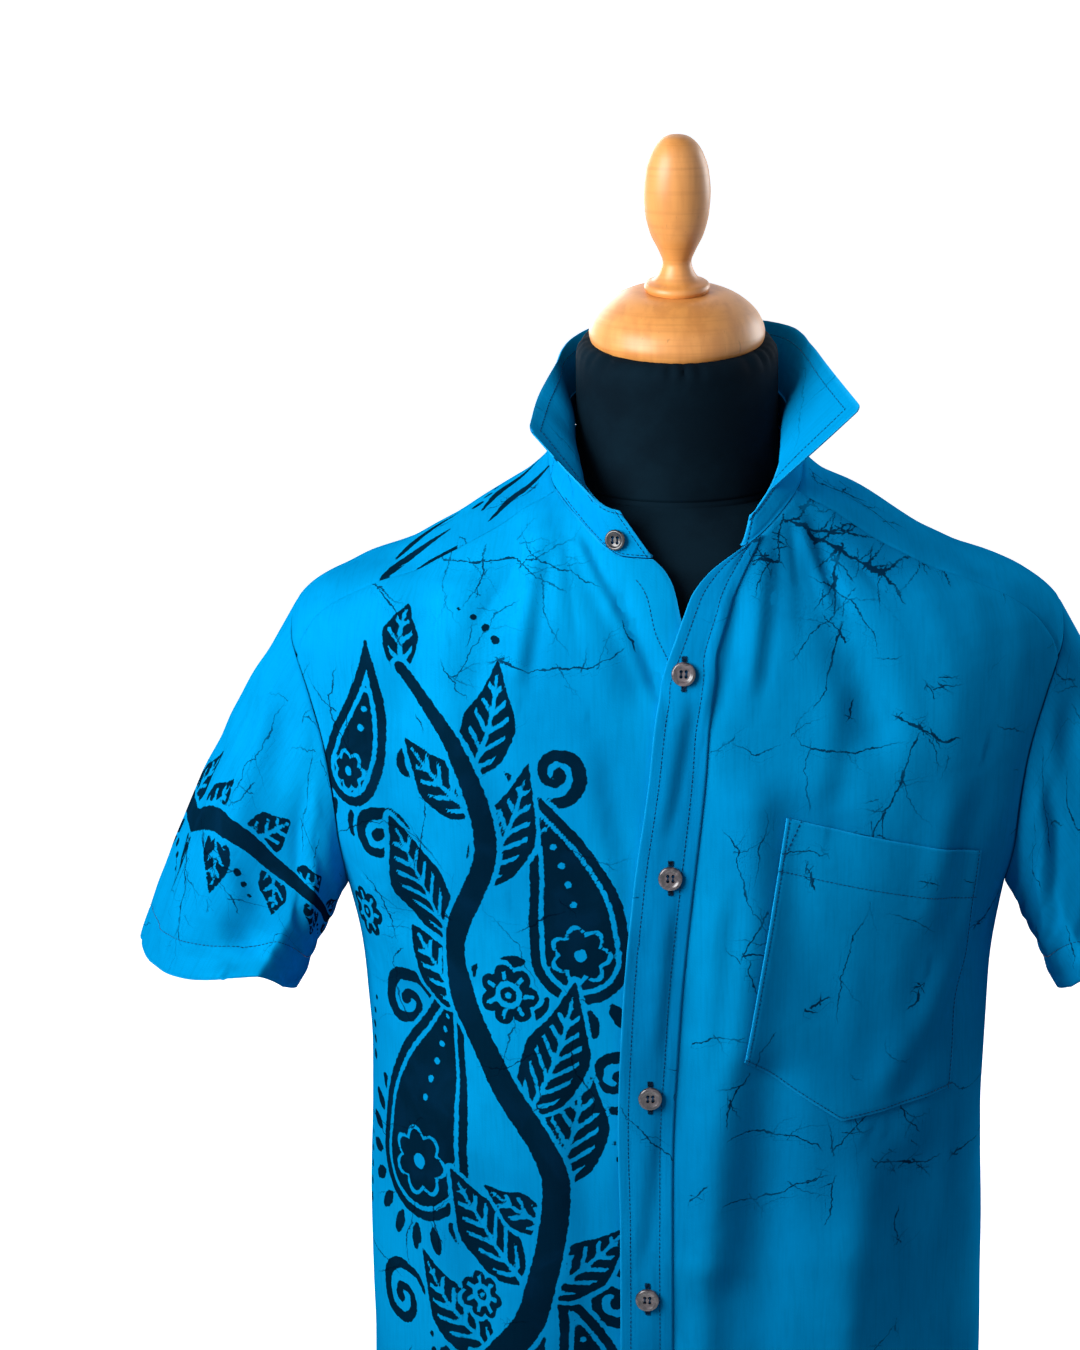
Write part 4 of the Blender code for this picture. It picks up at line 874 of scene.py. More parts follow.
def smoothed(mesh: bpy.types.Mesh, sharp: float) -> bpy.types.Mesh:
    """The mesh with smooth faces but for edges sharper than an angle in degrees."""
    mesh.shade_smooth()
    mesh.set_sharp_from_angle(angle=math.radians(sharp))
    return mesh


def circle(count: int) -> list[Pair]:
    """Points round the unit circle, counter-clockwise."""
    turns = [2.0 * math.pi * step / count for step in range(count)]
    return [(math.cos(turn), math.sin(turn)) for turn in turns]


def ring_mesh(name: str, points: Sequence[Sequence[float]], count: int) -> bpy.types.Mesh:
    """A closed solid through rings of count points each, the lowest ring first."""
    codes = np.arange(len(points)).reshape(-1, count)
    after = np.roll(codes, -1, axis=1)
    sides = np.stack([codes[:-1], after[:-1], after[1:], codes[1:]], axis=-1).reshape(-1, 4)
    mesh = bpy.data.meshes.new(name)
    mesh.from_pydata(points, [], [*sides.tolist(), codes[0, ::-1].tolist(), codes[-1].tolist()])
    return mesh


# ---------------------------------------------------------------- dye: a generic leafy batik
FAR = 1.0
MIDRIB = 0.0016             # half widths of the undyed lines within a motif
VEIN = 0.00125
PETAL_VEIN = 0.0013
EYE_RING = 0.0017
INNER_LINE = 0.0015
BULB_FLOWER = 0.0014
BEAD = 0.0022               # radius of the undyed beads up a paisley
BEAD_PITCH = 0.0125
INNER_LINE_INSET = 0.0075   # from a paisley's outline
VEIN_PITCH = 0.0115
VEIN_SLANT = 1.15           # how far the veins run up a leaf for each metre sideways
VEIN_COSINE = 0.66          # their true width against their width along the leaf


@dataclass(frozen=True)
class Stroke:
    """A tapering line drawn with hot wax: a smooth path and its half width."""

    path: tuple[Pair, ...]
    half_widths: tuple[float, ...]
    samples: int = 48

    def measure(self, first: Grid, second: Grid) -> tuple[Grid, Grid, Grid, Grid]:
        """Distance outside the stroke, share of its length, side distance and half width."""
        knots = np.linspace(0.0, 1.0, len(self.path))
        share = np.linspace(0.0, 1.0, self.samples)
        line = [smooth_curve(knots, [point[axis] for point in self.path], share) for axis in (0, 1)]
        widths = smooth_curve(np.linspace(0.0, 1.0, len(self.half_widths)), self.half_widths, share)
        ahead = [np.gradient(part) for part in line]
        best = np.full(first.shape, FAR)
        place = np.zeros(first.shape, dtype=int)
        for index in range(self.samples):
            gap = np.hypot(first - line[0][index], second - line[1][index])
            nearer = gap < best
            best = np.where(nearer, gap, best)
            place = np.where(nearer, index, place)
        away = (first - line[0][place], second - line[1][place])
        run = (ahead[0][place], ahead[1][place])
        size = np.hypot(*run)
        step = np.clip((away[0] * run[0] + away[1] * run[1]) / size ** 2, -1.0, 1.0)
        exact = np.clip(place + step, 0.0, self.samples - 1.0)
        step = exact - place
        away = (away[0] - run[0] * step, away[1] - run[1] * step)
        width = np.interp(exact, np.arange(self.samples), widths)
        side = (run[0] * away[1] - run[1] * away[0]) / size
        return np.hypot(*away) - width, exact / (self.samples - 1.0), side, width


def heading(angle: float) -> Pair:
    """Unit vector at an angle in degrees, 90 being up the cloth."""
    return math.cos(math.radians(angle)), math.sin(math.radians(angle))


def spine(first: float, second: float, angle: float, length: float,
          rows: Iterable[Pair]) -> tuple[Pair, ...]:
    """Points of a bowed line: shares of its length ahead, and distances to its left."""
    ahead = heading(angle)
    return tuple((first + ahead[0] * length * share - ahead[1] * bow,
                  second + ahead[1] * length * share + ahead[0] * bow) for share, bow in rows)


def polar(across: Grid, up: Grid) -> tuple[Grid, Grid]:
    """Distance and angle of places about a middle."""
    return np.hypot(across, up), np.arctan2(up, across)


@dataclass(frozen=True)
class Leaf:
    """A pointed leaf with a midrib and slanting veins left undyed."""

    first: float
    second: float
    angle: float
    length: float
    half_width: float
    bend: float = 0.25
    blade: Triple = (0.86, 1.0, 0.52)       # its widths between base and tip
    ends: Pair = (0.0022, 0.0004)

    def outline(self) -> Stroke:
        """The leaf's blade."""
        rows = ((share, self.bend * self.length * share ** 2) for share in (0.0, 0.33, 0.66, 1.0))
        widths = (self.half_width * share for share in self.blade)
        return Stroke(spine(self.first, self.second, self.angle, self.length, rows),
                      (self.ends[0], *widths, self.ends[1]))

    def dye(self, first: Grid, second: Grid) -> tuple[Grid, Grid]:
        """Signed distance of the dyed leaf, and of its outline."""
        outside, share, side, width = self.outline().measure(first, second)
        run = share * self.length
        midrib = np.abs(side) - MIDRIB * (1.0 - 0.5 * share)
        midrib = np.where(share > 0.9, FAR, midrib)
        slant = np.mod(run - np.abs(side) * VEIN_SLANT, VEIN_PITCH) - VEIN_PITCH / 2.0
        veins = np.abs(slant) * VEIN_COSINE - VEIN
        shown = (np.abs(side) < width * 0.72) & (share > 0.1) & (share < 0.84)
        veins = np.where(shown, veins, FAR)
        return np.maximum(outside, -np.minimum(midrib, veins)), outside


@dataclass(frozen=True)
class Blossom:
    """A round flower of petals with a ringed eye."""

    first: float
    second: float
    radius: float
    petals: int

    def dye(self, first: Grid, second: Grid) -> tuple[Grid, Grid]:
        """Signed distance of the dyed flower, and of its outline."""
        away, turn = polar(first - self.first, second - self.second)
        lobe = np.abs(np.cos(turn * self.petals / 2.0))
        outside = away - self.radius * (0.7 + 0.3 * lobe ** 0.6)
        phase = np.mod(turn * self.petals / (2.0 * math.pi) + 0.5, 1.0) - 0.5
        vein = np.abs(phase) * 2.0 * math.pi / self.petals * away - PETAL_VEIN
        vein = np.where((away > self.radius * 0.48) & (away < self.radius * 0.82), vein, FAR)
        ring = np.abs(away - self.radius * 0.36) - EYE_RING
        eye = away - self.radius * 0.11
        return np.maximum(outside, -np.minimum(np.minimum(vein, ring), eye)), outside


@dataclass(frozen=True)
class Boteh:
    """A paisley: a bulb with a curled tip, an undyed inner line and a flower in its bulb."""

    first: float
    second: float
    angle: float
    length: float
    half_width: float
    curl: float
    taper: tuple[float, ...] = (1.0, 0.94, 0.72, 0.46, 0.22)
    tip: float = 0.0006
    curl_start: float = 0.15
    shortening: float = 0.12        # of the tip, as it curls

    def outline(self) -> Stroke:
        """The paisley's body."""
        rows = ((share - self.shortening * share ** 3,
                 self.curl * self.length * max(0.0, share - self.curl_start) ** 1.7)
                for share in (0.0, 0.2, 0.4, 0.6, 0.8, 1.0))
        widths = (self.half_width * share for share in self.taper)
        return Stroke(spine(self.first, self.second, self.angle, self.length, rows),
                      (*widths, self.tip), samples=72)

    def dye(self, first: Grid, second: Grid) -> tuple[Grid, Grid]:
        """Signed distance of the dyed paisley, and of its outline."""
        outside, share, side, width = self.outline().measure(first, second)
        inner = np.abs(outside + INNER_LINE_INSET) - INNER_LINE
        inner = np.where(share < 0.8, inner, FAR)
        away, turn = polar(first - self.first, second - self.second)
        wave = 0.42 + 0.16 * np.abs(np.cos(turn * 3.5))
        petals = np.abs(away - self.half_width * wave) - BULB_FLOWER
        eye = away - self.half_width * 0.13
        run = share * self.length
        size = BEAD * np.clip(width / 0.016, 0.4, 1.0)
        bead = np.hypot(np.mod(run, BEAD_PITCH) - BEAD_PITCH / 2.0, side) - size
        bead = np.where((run > self.half_width * 0.95) & (share < 0.82), bead, FAR)
        cut = np.minimum(np.minimum(inner, petals), np.minimum(eye, bead))
        return np.maximum(outside, -cut), outside


@dataclass(frozen=True)
class Stem:
    """A winding stem."""

    stroke: Stroke

    def dye(self, first: Grid, second: Grid) -> tuple[Grid, Grid]:
        """Signed distance of the dyed stem, and of its outline."""
        outside = self.stroke.measure(first, second)[0]
        return outside, outside


@dataclass(frozen=True)
class Dots:
    """A curved row of dots that grow smaller."""

    first: float
    second: float
    angle: float
    count: int
    pitch: float
    radius: float
    bend: float = 8.0

    def dye(self, first: Grid, second: Grid) -> tuple[Grid, Grid]:
        """Signed distance of the dots, twice."""
        best = np.full(first.shape, FAR)
        here = [self.first, self.second]
        for index in range(self.count):
            size = self.radius * (1.0 - 0.6 * index / self.count)
            best = np.minimum(best, np.hypot(first - here[0], second - here[1]) - size)
            step = heading(self.angle + self.bend * index)
            here = [here[0] + step[0] * self.pitch, here[1] + step[1] * self.pitch]
        return best, best


Motif = Leaf | Blossom | Boteh | Stem | Dots
WAX_GAP = 0.003             # undyed line left round each motif where it meets another
TENDRIL_WIDTHS = (0.35, 1.0, 0.8, 0.6, 0.95)        # in shares of its thickness
DROP_WIDTHS = (0.0016, 0.004, 0.0042, 0.003)


def dye_field(motifs: Sequence[Motif], flat: Grid) -> Grid:
    """Signed distance to the navy dye, negative inside it; later motifs lie over earlier ones."""
    first, second = flat[..., 0], flat[..., 1]
    field_value = np.full(first.shape, FAR)
    for motif in motifs:
        dyed, outline = motif.dye(first, second)
        cleared = np.maximum(field_value, WAX_GAP - outline)
        field_value = np.minimum(cleared, dyed)
    return np.clip(field_value, -0.05, 0.05)


def tendril(first: float, second: float, radius: float, start: float, turns: float,
            thick: float = 0.0042) -> Stem:
    """A stroke that winds in to a knob.

    Args:
        first: Place of its middle across the cloth.
        second: Place of its middle up the cloth.
        radius: Reach of its outer end.
        start: Angle of its outer end, in degrees.
        turns: How often it winds; negative winds to the right.
        thick: Half width at its outer end.

    Returns:
        The stroke.
    """
    path = []
    for share in np.linspace(0.0, 1.0, 16):
        ahead = heading(start + 360.0 * turns * share)
        reach = radius * (1.0 - 0.9 * share)
        path.append((first + ahead[0] * reach, second + ahead[1] * reach))
    return Stem(Stroke(tuple(path), tuple(thick * share for share in TENDRIL_WIDTHS), samples=96))


def fringe(first: float, second: float, radius: float, start: float, end: float, count: int,
           length: float = 0.0135) -> list[Motif]:
    """Drops that stand round an arc.

    Args:
        first: Place of the arc's middle across the cloth.
        second: Place of the arc's middle up the cloth.
        radius: The arc's radius.
        start: First drop's angle, in degrees.
        end: Last drop's angle.
        count: How many drops.
        length: Length of a drop.

    Returns:
        The drops.
    """
    parts: list[Motif] = []
    for angle in np.linspace(start, end, count):
        ahead = heading(angle)
        near = (first + ahead[0] * radius, second + ahead[1] * radius)
        far = (first + ahead[0] * (radius + length), second + ahead[1] * (radius + length))
        parts.append(Stem(Stroke((near, far), DROP_WIDTHS, samples=12)))
    return parts


def front_motifs() -> list[Motif]:
    """The climbing branch on the wearer's right front, over the flat cloth."""
    stem = Stem(Stroke((
        (-0.06, -0.01), (-0.118, 0.07), (-0.128, 0.15), (-0.084, 0.225), (-0.072, 0.3),
        (-0.108, 0.37), (-0.136, 0.44), (-0.112, 0.51), (-0.128, 0.565), (-0.165, 0.615),
    ), (0.0095, 0.0093, 0.009, 0.0086, 0.008, 0.0072, 0.0058, 0.0034), 140))
    parts: list[Motif] = []
    for first, second, radius, start, end, count in (
            (-0.166, 0.3, 0.042, 130.0, 345.0, 12), (-0.056, 0.448, 0.035, 190.0, 390.0, 10),
            (-0.048, 0.128, 0.038, 195.0, 400.0, 11), (-0.192, 0.062, 0.04, 120.0, 330.0, 11),
            (-0.203, 0.548, 0.026, 170.0, 300.0, 5)):
        parts += fringe(first, second, radius, start, end, count)
    parts += rows_of(tendril, (
        (-0.176, 0.4, 0.023, 320.0, 1.5), (-0.036, 0.372, 0.023, 215.0, 1.5),
        (-0.184, 0.508, 0.021, 330.0, 1.4), (-0.038, 0.23, 0.022, 140.0, -1.5),
        (-0.182, 0.206, 0.024, 20.0, 1.5), (-0.07, 0.556, 0.019, 215.0, 1.4),
        (-0.04, 0.042, 0.022, 150.0, -1.5), (-0.158, 0.556, 0.015, 300.0, 1.2, 0.0036),
    ))
    parts += rows_of(Boteh, (
        (-0.166, 0.3, 84.0, 0.16, 0.037, -0.26), (-0.056, 0.448, 96.0, 0.128, 0.03, 0.34),
        (-0.048, 0.128, 88.0, 0.13, 0.033, 0.3), (-0.192, 0.062, 80.0, 0.155, 0.035, -0.26),
        (-0.203, 0.548, 66.0, 0.092, 0.022, 0.26),
    ))
    parts += rows_of(Leaf, (
        (-0.076, 0.3, 62.0, 0.086, 0.021, 0.26), (-0.082, 0.236, 22.0, 0.066, 0.016, 0.3),
        (-0.09, 0.345, 58.0, 0.09, 0.02, 0.22), (-0.09, 0.24, 144.0, 0.078, 0.019, -0.26),
        (-0.126, 0.408, 146.0, 0.06, 0.016, -0.2), (-0.136, 0.446, 128.0, 0.086, 0.02, -0.18),
        (-0.122, 0.486, 48.0, 0.08, 0.018, 0.3), (-0.116, 0.53, 150.0, 0.062, 0.015, -0.22),
        (-0.122, 0.552, 62.0, 0.07, 0.016, 0.24), (-0.164, 0.612, 96.0, 0.046, 0.011, -0.2),
        (-0.108, 0.186, 148.0, 0.078, 0.018, -0.26), (-0.116, 0.164, 40.0, 0.064, 0.015, 0.25),
        (-0.124, 0.096, 132.0, 0.078, 0.018, -0.22), (-0.1, 0.04, 34.0, 0.074, 0.018, 0.3),
        (-0.078, 0.01, 140.0, 0.076, 0.018, -0.22), (-0.074, 0.276, 168.0, 0.048, 0.012, -0.2),
    ))
    parts.append(stem)
    parts += rows_of(Blossom, (
        (-0.1, 0.42, 0.019, 7), (-0.206, 0.452, 0.017, 7),
        (-0.12, 0.225, 0.015, 7),
    ))
    parts += rows_of(Dots, (
        (-0.22, 0.35, 84.0, 5, 0.011, 0.0034, -6.0),
        (-0.03, 0.29, 92.0, 5, 0.0105, 0.0032, 5.0), (-0.106, 0.634, 128.0, 4, 0.01, 0.003, 8.0),
        (-0.152, 0.16, 92.0, 4, 0.0105, 0.0034, 3.0), (-0.232, 0.25, 92.0, 5, 0.011, 0.0034, -2.0),
    ))
    return parts


def sleeve_motifs() -> list[Motif]:
    """A garland round the right sleeve, over its flat cloth."""
    waves = []
    for step in range(21):
        first = -0.215 + 0.0215 * step
        rise = 0.052 * float(smooth_step(0.0, 0.17, np.array(first)))
        waves.append((first, 0.136 - rise + 0.006 * math.sin(step * 1.3)))
    parts: list[Motif] = []
    for step in range(1, 20):
        first, second = waves[step]
        up = 1.0 if step % 2 == 1 else -1.0
        parts.append(Leaf(first, second, 54.0 * up, 0.046, 0.012, 0.24 * up))
        if step % 4 == 2:
            parts.append(Dots(first + 0.006, second + 0.024, 35.0, 3, 0.009, 0.0028))
    parts.append(Stem(Stroke(tuple(waves), (0.0072, 0.0072), 200)))
    return parts


def shoulder_motifs() -> list[Motif]:
    """Two sprays of plain leaves on the right shoulder, over the yoke's flat cloth."""
    sprays = (
        (((-0.196, -0.066), (-0.178, -0.04), (-0.15, -0.03)), (0.0016, 0.006, 0.0014)),
        (((-0.186, -0.082), (-0.166, -0.066), (-0.142, -0.062)), (0.0014, 0.0056, 0.0012)),
        (((-0.186, -0.03), (-0.17, -0.008), (-0.146, 0.002)), (0.0014, 0.0058, 0.0012)),
        (((-0.128, -0.03), (-0.112, -0.004), (-0.09, 0.006)), (0.0014, 0.0058, 0.0012)),
        (((-0.122, -0.052), (-0.102, -0.036), (-0.082, -0.034)), (0.0012, 0.005, 0.0012)),
    )
    parts: list[Motif] = [Stem(Stroke(line, widths)) for line, widths in sprays]
    return parts + [Dots(-0.132, -0.012, 62.0, 3, 0.013, 0.004)]


CRACK_LAYERS = 6            # in threes, as a mark on the mesh holds three numbers


class Crack(NamedTuple):
    """A main crack in the wax: where it starts, its heading in degrees and how it branches."""

    x: float
    height: float
    turn: float
    length: float
    half_width: float
    branches: int


LEFT_FRONT_CRACKS = rows_of(Crack, (
    (0.061, -0.004, -34.0, 0.092, 0.0013, 6), (0.083, -0.012, -152.0, 0.046, 0.00095, 4),
    (0.061, -0.005, 28.0, 0.034, 0.00085, 3), (0.062, -0.006, 205.0, 0.03, 0.0006, 3),
    (0.081, -0.002, -4.0, 0.044, 0.00045, 3), (0.12, -0.01, -118.0, 0.03, 0.0006, 3),
    (0.155, -0.029, -72.0, 0.018, 0.0005, 1), (0.102, -0.049, -142.0, 0.052, 0.00022, 2),
    (0.056, -0.026, -124.0, 0.06, 0.00022, 3), (0.102, -0.02, -48.0, 0.04, 0.0004, 3),
    (0.1425, -0.123, 152.0, 0.02, 0.0007, 2), (0.1425, -0.123, -16.0, 0.026, 0.0007, 3),
    (0.1425, -0.123, 64.0, 0.04, 0.0005, 4), (0.1425, -0.123, -114.0, 0.082, 0.0005, 5),
    (0.1425, -0.123, -58.0, 0.044, 0.00042, 3), (0.068, -0.12, -8.0, 0.072, 0.00026, 3),
    (0.077, -0.122, -92.0, 0.05, 0.0002, 1), (0.02, -0.131, 38.0, 0.018, 0.00034, 2),
    (0.03, -0.122, -9.0, 0.036, 0.0002, 2), (0.102, -0.103, -110.0, 0.015, 0.0003, 1),
    (0.113, -0.081, 6.0, 0.019, 0.0002, 0), (0.05, -0.16, -98.0, 0.052, 0.00018, 2),
    (0.027, -0.365, -12.0, 0.066, 0.00036, 2), (0.091, -0.381, 40.0, 0.05, 0.00036, 3),
    (0.024, -0.405, 10.0, 0.073, 0.00042, 3), (0.095, -0.392, -105.0, 0.034, 0.00032, 1),
    (0.115, -0.386, -14.0, 0.05, 0.00044, 4), (0.006, -0.304, 10.0, 0.036, 0.00046, 2),
    (0.036, -0.252, 62.0, 0.036, 0.0004, 2), (0.036, -0.249, -2.0, 0.016, 0.0005, 1),
    (0.042, -0.25, -78.0, 0.026, 0.0003, 1), (0.044, -0.322, -112.0, 0.04, 0.00038, 2),
    (0.005, -0.402, 40.0, 0.018, 0.00046, 1), (0.128, -0.345, -60.0, 0.04, 0.00044, 4),
))
RIGHT_FRONT_CRACKS = rows_of(Crack, (
    (-0.089, -0.087, 14.0, 0.064, 0.0004, 4), (-0.086, -0.087, 158.0, 0.022, 0.0004, 3),
    (-0.112, -0.02, -100.0, 0.03, 0.0004, 2), (-0.146, -0.026, -12.0, 0.09, 0.00034, 5),
    (-0.118, -0.03, -66.0, 0.032, 0.00026, 2), (-0.091, -0.012, -30.0, 0.06, 0.00026, 4),
    (-0.18, -0.045, -58.0, 0.044, 0.00034, 3), (-0.118, -0.06, -106.0, 0.016, 0.00022, 1),
    (-0.032, -0.056, -66.0, 0.022, 0.00034, 1), (-0.06, -0.028, -62.0, 0.05, 0.0002, 3),
    (-0.12, -0.33, 20.0, 0.05, 0.00022, 2), (-0.06, -0.3, -80.0, 0.06, 0.0003, 3),
    (-0.15, -0.16, -96.0, 0.06, 0.00026, 3), (-0.19, -0.22, -60.0, 0.05, 0.0003, 3),
    (-0.07, -0.18, -30.0, 0.044, 0.00028, 2), (-0.2, -0.4, 30.0, 0.06, 0.0003, 3),
))
BACK_CRACKS = rows_of(Crack, (
    (0.062, -0.15, -104.0, 0.09, 0.00046, 5), (0.062, -0.15, 30.0, 0.05, 0.0005, 4),
    (-0.086, -0.205, -72.0, 0.085, 0.00044, 4), (-0.086, -0.205, 142.0, 0.044, 0.00048, 4),
    (0.118, -0.33, -120.0, 0.08, 0.0004, 4), (-0.02, -0.372, 12.0, 0.085, 0.00036, 4),
    (-0.13, -0.42, -30.0, 0.07, 0.00044, 4), (0.03, -0.5, 64.0, 0.075, 0.00036, 3),
    (-0.06, -0.12, -12.0, 0.07, 0.00034, 3), (0.14, -0.25, 100.0, 0.06, 0.00034, 3),
))
SLEEVE_CRACKS = rows_of(Crack, (
    (0.034, 0.128, 24.0, 0.085, 0.00048, 3), (0.042, 0.118, 32.0, 0.06, 0.0003, 2),
    (0.09, 0.01, 60.0, 0.07, 0.00032, 2), (0.03, 0.142, 52.0, 0.085, 0.0004, 4),
    (0.062, 0.146, 64.0, 0.06, 0.00026, 3), (0.06, 0.022, 84.0, 0.08, 0.00026, 3),
    (0.128, 0.034, 72.0, 0.06, 0.00026, 2), (0.075, 0.07, 110.0, 0.034, 0.0003, 2),
    (0.012, 0.165, 20.0, 0.05, 0.00026, 3), (-0.08, 0.08, 50.0, 0.09, 0.00036, 4),
    (-0.15, 0.12, 140.0, 0.06, 0.0003, 3),
))
POCKET_CRACKS = rows_of(Crack, (
    (0.075, -0.198, -70.0, 0.016, 0.00045, 3), (0.077, -0.287, 30.0, 0.016, 0.00045, 3),
    (0.144, -0.281, -120.0, 0.018, 0.00045, 3), (0.12, -0.23, -30.0, 0.04, 0.00018, 2),
))
SHOULDER_CRACKS = rows_of(Crack, (
    (0.088, -0.04, 30.0, 0.044, 0.001, 5), (0.11, -0.028, -20.0, 0.04, 0.00055, 4),
    (0.07, -0.052, 120.0, 0.036, 0.0005, 4), (-0.09, -0.046, 160.0, 0.04, 0.0004, 4),
    (-0.068, -0.06, 60.0, 0.04, 0.00034, 4), (0.03, 0.12, 200.0, 0.08, 0.0005, 5),
))
BAND_CRACKS = rows_of(Crack, (
    (0.14, 0.016, -20.0, 0.03, 0.0006, 4), (-0.15, 0.012, 20.0, 0.03, 0.0004, 3),
))
COLLAR_CRACKS = rows_of(Crack, (
    (0.15, 0.04, 80.0, 0.026, 0.0004, 3), (0.17, 0.03, 40.0, 0.03, 0.0003, 3),
    (-0.15, 0.03, 110.0, 0.03, 0.00034, 3), (-0.175, 0.04, 60.0, 0.024, 0.00026, 2),
))


@dataclass
class CrackMarks:
    """Cracks over one piece, kept in layers whose lines do not meet within a layer."""

    first: Grid
    second: Grid
    seed: int
    layers: int = CRACK_LAYERS
    reach: float = 0.0045           # how far from a crack its marks are kept
    step: float = 0.0035            # between two bends
    drift: float = 9.0              # of the heading from bend to bend, in degrees
    jitter: float = 14.0
    last_branch: float = 0.85       # share of a crack beyond which none branches off
    branch_turn: Pair = (24.0, 68.0)
    branch_length: Pair = (0.22, 0.58)
    branch_width: Pair = (0.35, 0.7)
    longest_stray: float = 0.095
    widest_stray: float = 0.0004

    def __post_init__(self) -> None:
        """Start with no crack anywhere."""
        shape = (*self.first.shape, self.layers)
        self.side = np.full(shape, 0.02)
        self.width = np.zeros(shape)
        self.chance = np.random.default_rng(self.seed)

    def _walk(self, start: Grid, turn: float, length: float) -> Grid:
        """A wandering path from a start, in a heading given in degrees."""
        count = max(3, round(length / self.step))
        wander = np.cumsum(self.chance.normal(0.0, self.drift, count))
        wander = wander + self.chance.normal(0.0, self.jitter, count)
        bend = np.radians(turn + wander - wander.mean())
        steps = np.stack([np.cos(bend), np.sin(bend)], axis=-1) * (length / count)
        return np.concatenate([[start], start + np.cumsum(steps, axis=0)])

    def _draw(self, path: Grid, half_width: float, rooted: bool) -> None:
        """Mark one crack in the first layer that has room for it.

        Args:
            path: Its points.
            half_width: Half its width where it is widest.
            rooted: Whether it leaves another crack, so that its start is its widest place.
        """
        low, high = path.min(axis=0) - self.reach, path.max(axis=0) + self.reach
        window = ((self.first > low[0]) & (self.first < high[0])
                  & (self.second > low[1]) & (self.second < high[1]))
        if not window.any():
            return
        places = np.stack([self.first[window], self.second[window]], axis=-1)
        run = np.diff(path, axis=0)
        size = np.hypot(*run.T)
        from_start = places[:, None] - path[None, :-1]
        share = np.clip((from_start * run).sum(-1) / size ** 2, 0.0, 1.0)
        gap = from_start - run * share[..., None]
        away = np.hypot(gap[..., 0], gap[..., 1])
        best = away.argmin(axis=1)
        row = np.arange(len(best))
        near, gap, share = away[row, best], gap[row, best], share[row, best]
        cross = (run[best, 0] * gap[:, 1] - run[best, 1] * gap[:, 0]) / size[best]
        along = (np.concatenate([[0.0], np.cumsum(size)])[best] + share * size[best]) / size.sum()
        inside = (along > 0.0) & (along < 1.0)
        signed = np.where(inside, np.sign(cross) * near, cross)
        taper = (1.0 - along) ** 0.7 if rooted else np.sin(math.pi * along) ** 0.5
        wide = np.where(near < self.reach, half_width * taper, 0.0)
        for layer in range(self.layers):
            if not ((self.width[window, layer] > 0.0) & (wide > 0.0)).any():
                part = self.side[window, layer]
                self.side[window, layer] = np.where(wide > 0.0, signed, part)
                self.width[window, layer] += wide
                return

    def grow(self, crack: Crack, rooted: bool = False) -> None:
        """One crack with its branches and theirs."""
        path = self._walk(np.array([crack.x, crack.height]), crack.turn, crack.length)
        self._draw(path, crack.half_width, rooted)
        for _ in range(crack.branches):
            index = int(self.chance.integers(0, max(1, round(self.last_branch * len(path)))))
            away = self.chance.choice((-1.0, 1.0)) * self.chance.uniform(*self.branch_turn)
            length = crack.length * self.chance.uniform(*self.branch_length)
            half_width = crack.half_width * self.chance.uniform(*self.branch_width)
            self.grow(Crack(*path[index], crack.turn + away, length, half_width,
                            crack.branches // 2), True)

    def scatter(self, count: int) -> None:
        """Stray hairlines at random places of the piece."""
        flat_first, flat_second = self.first.reshape(-1), self.second.reshape(-1)
        for _ in range(count):
            index = int(self.chance.integers(0, len(flat_first)))
            length = self.longest_stray * self.chance.uniform(0.15, 1.0) ** 1.6
            self.grow(Crack(flat_first[index], flat_second[index], self.chance.uniform(0.0, 360.0),
                            length, self.widest_stray * self.chance.uniform(0.3, 1.0) ** 1.5,
                            int(self.chance.integers(0, 4))))

    def marks(self) -> dict[str, Grid]:
        """What the finish reads: distance to the cracks and their half width, in threes."""
        return {f"{name}_{half}": values[..., 3 * half:3 * half + 3]
                for name, values in (("crack_side", self.side), ("crack_width", self.width))
                for half in range(self.layers // 3)}


# ---------------------------------------------------------------- grids of the pieces
@dataclass(frozen=True)
class Cells:
    """How finely a panel is divided."""

    lower: int              # below the underarm
    upper: int              # beside the armhole
    neck: int               # along the front neckline
    across: int


def neck_front(side: Side, places: Grid) -> tuple[Grid, Grid]:
    """Angle and height of the front neckline at shares of its length from the free edge."""
    table = RIGHT_NECKLINE if side is Side.RIGHT else LEFT_NECKLINE
    knots = np.linspace(0.0, 1.0, len(table))
    x = side.value * smooth_curve(knots, column(table, "x"), places)
    height = smooth_curve(knots, column(table, "height"), places)
    return angle_at(x, height), height


def neck_back(side: Side, places: Grid) -> tuple[Grid, Grid]:
    """Angle and height of the yoke's neck edge, from its front seam to the back's middle."""
    first_angle, first_height = neck_front(side, np.array([1.0]))
    start = abs(float(first_angle[0]))
    angle = start + (math.pi - start) * places
    knots = (start, NECK_POINT_ANGLE, NECK_SLOPE_ANGLE, math.pi)
    levels = (float(first_height[0]), NECK_POINT_HEIGHT, NECK_SLOPE_HEIGHT, BACK_NECK_HEIGHT)
    return side.value * angle, smooth_curve(np.array(knots), np.array(levels), angle)


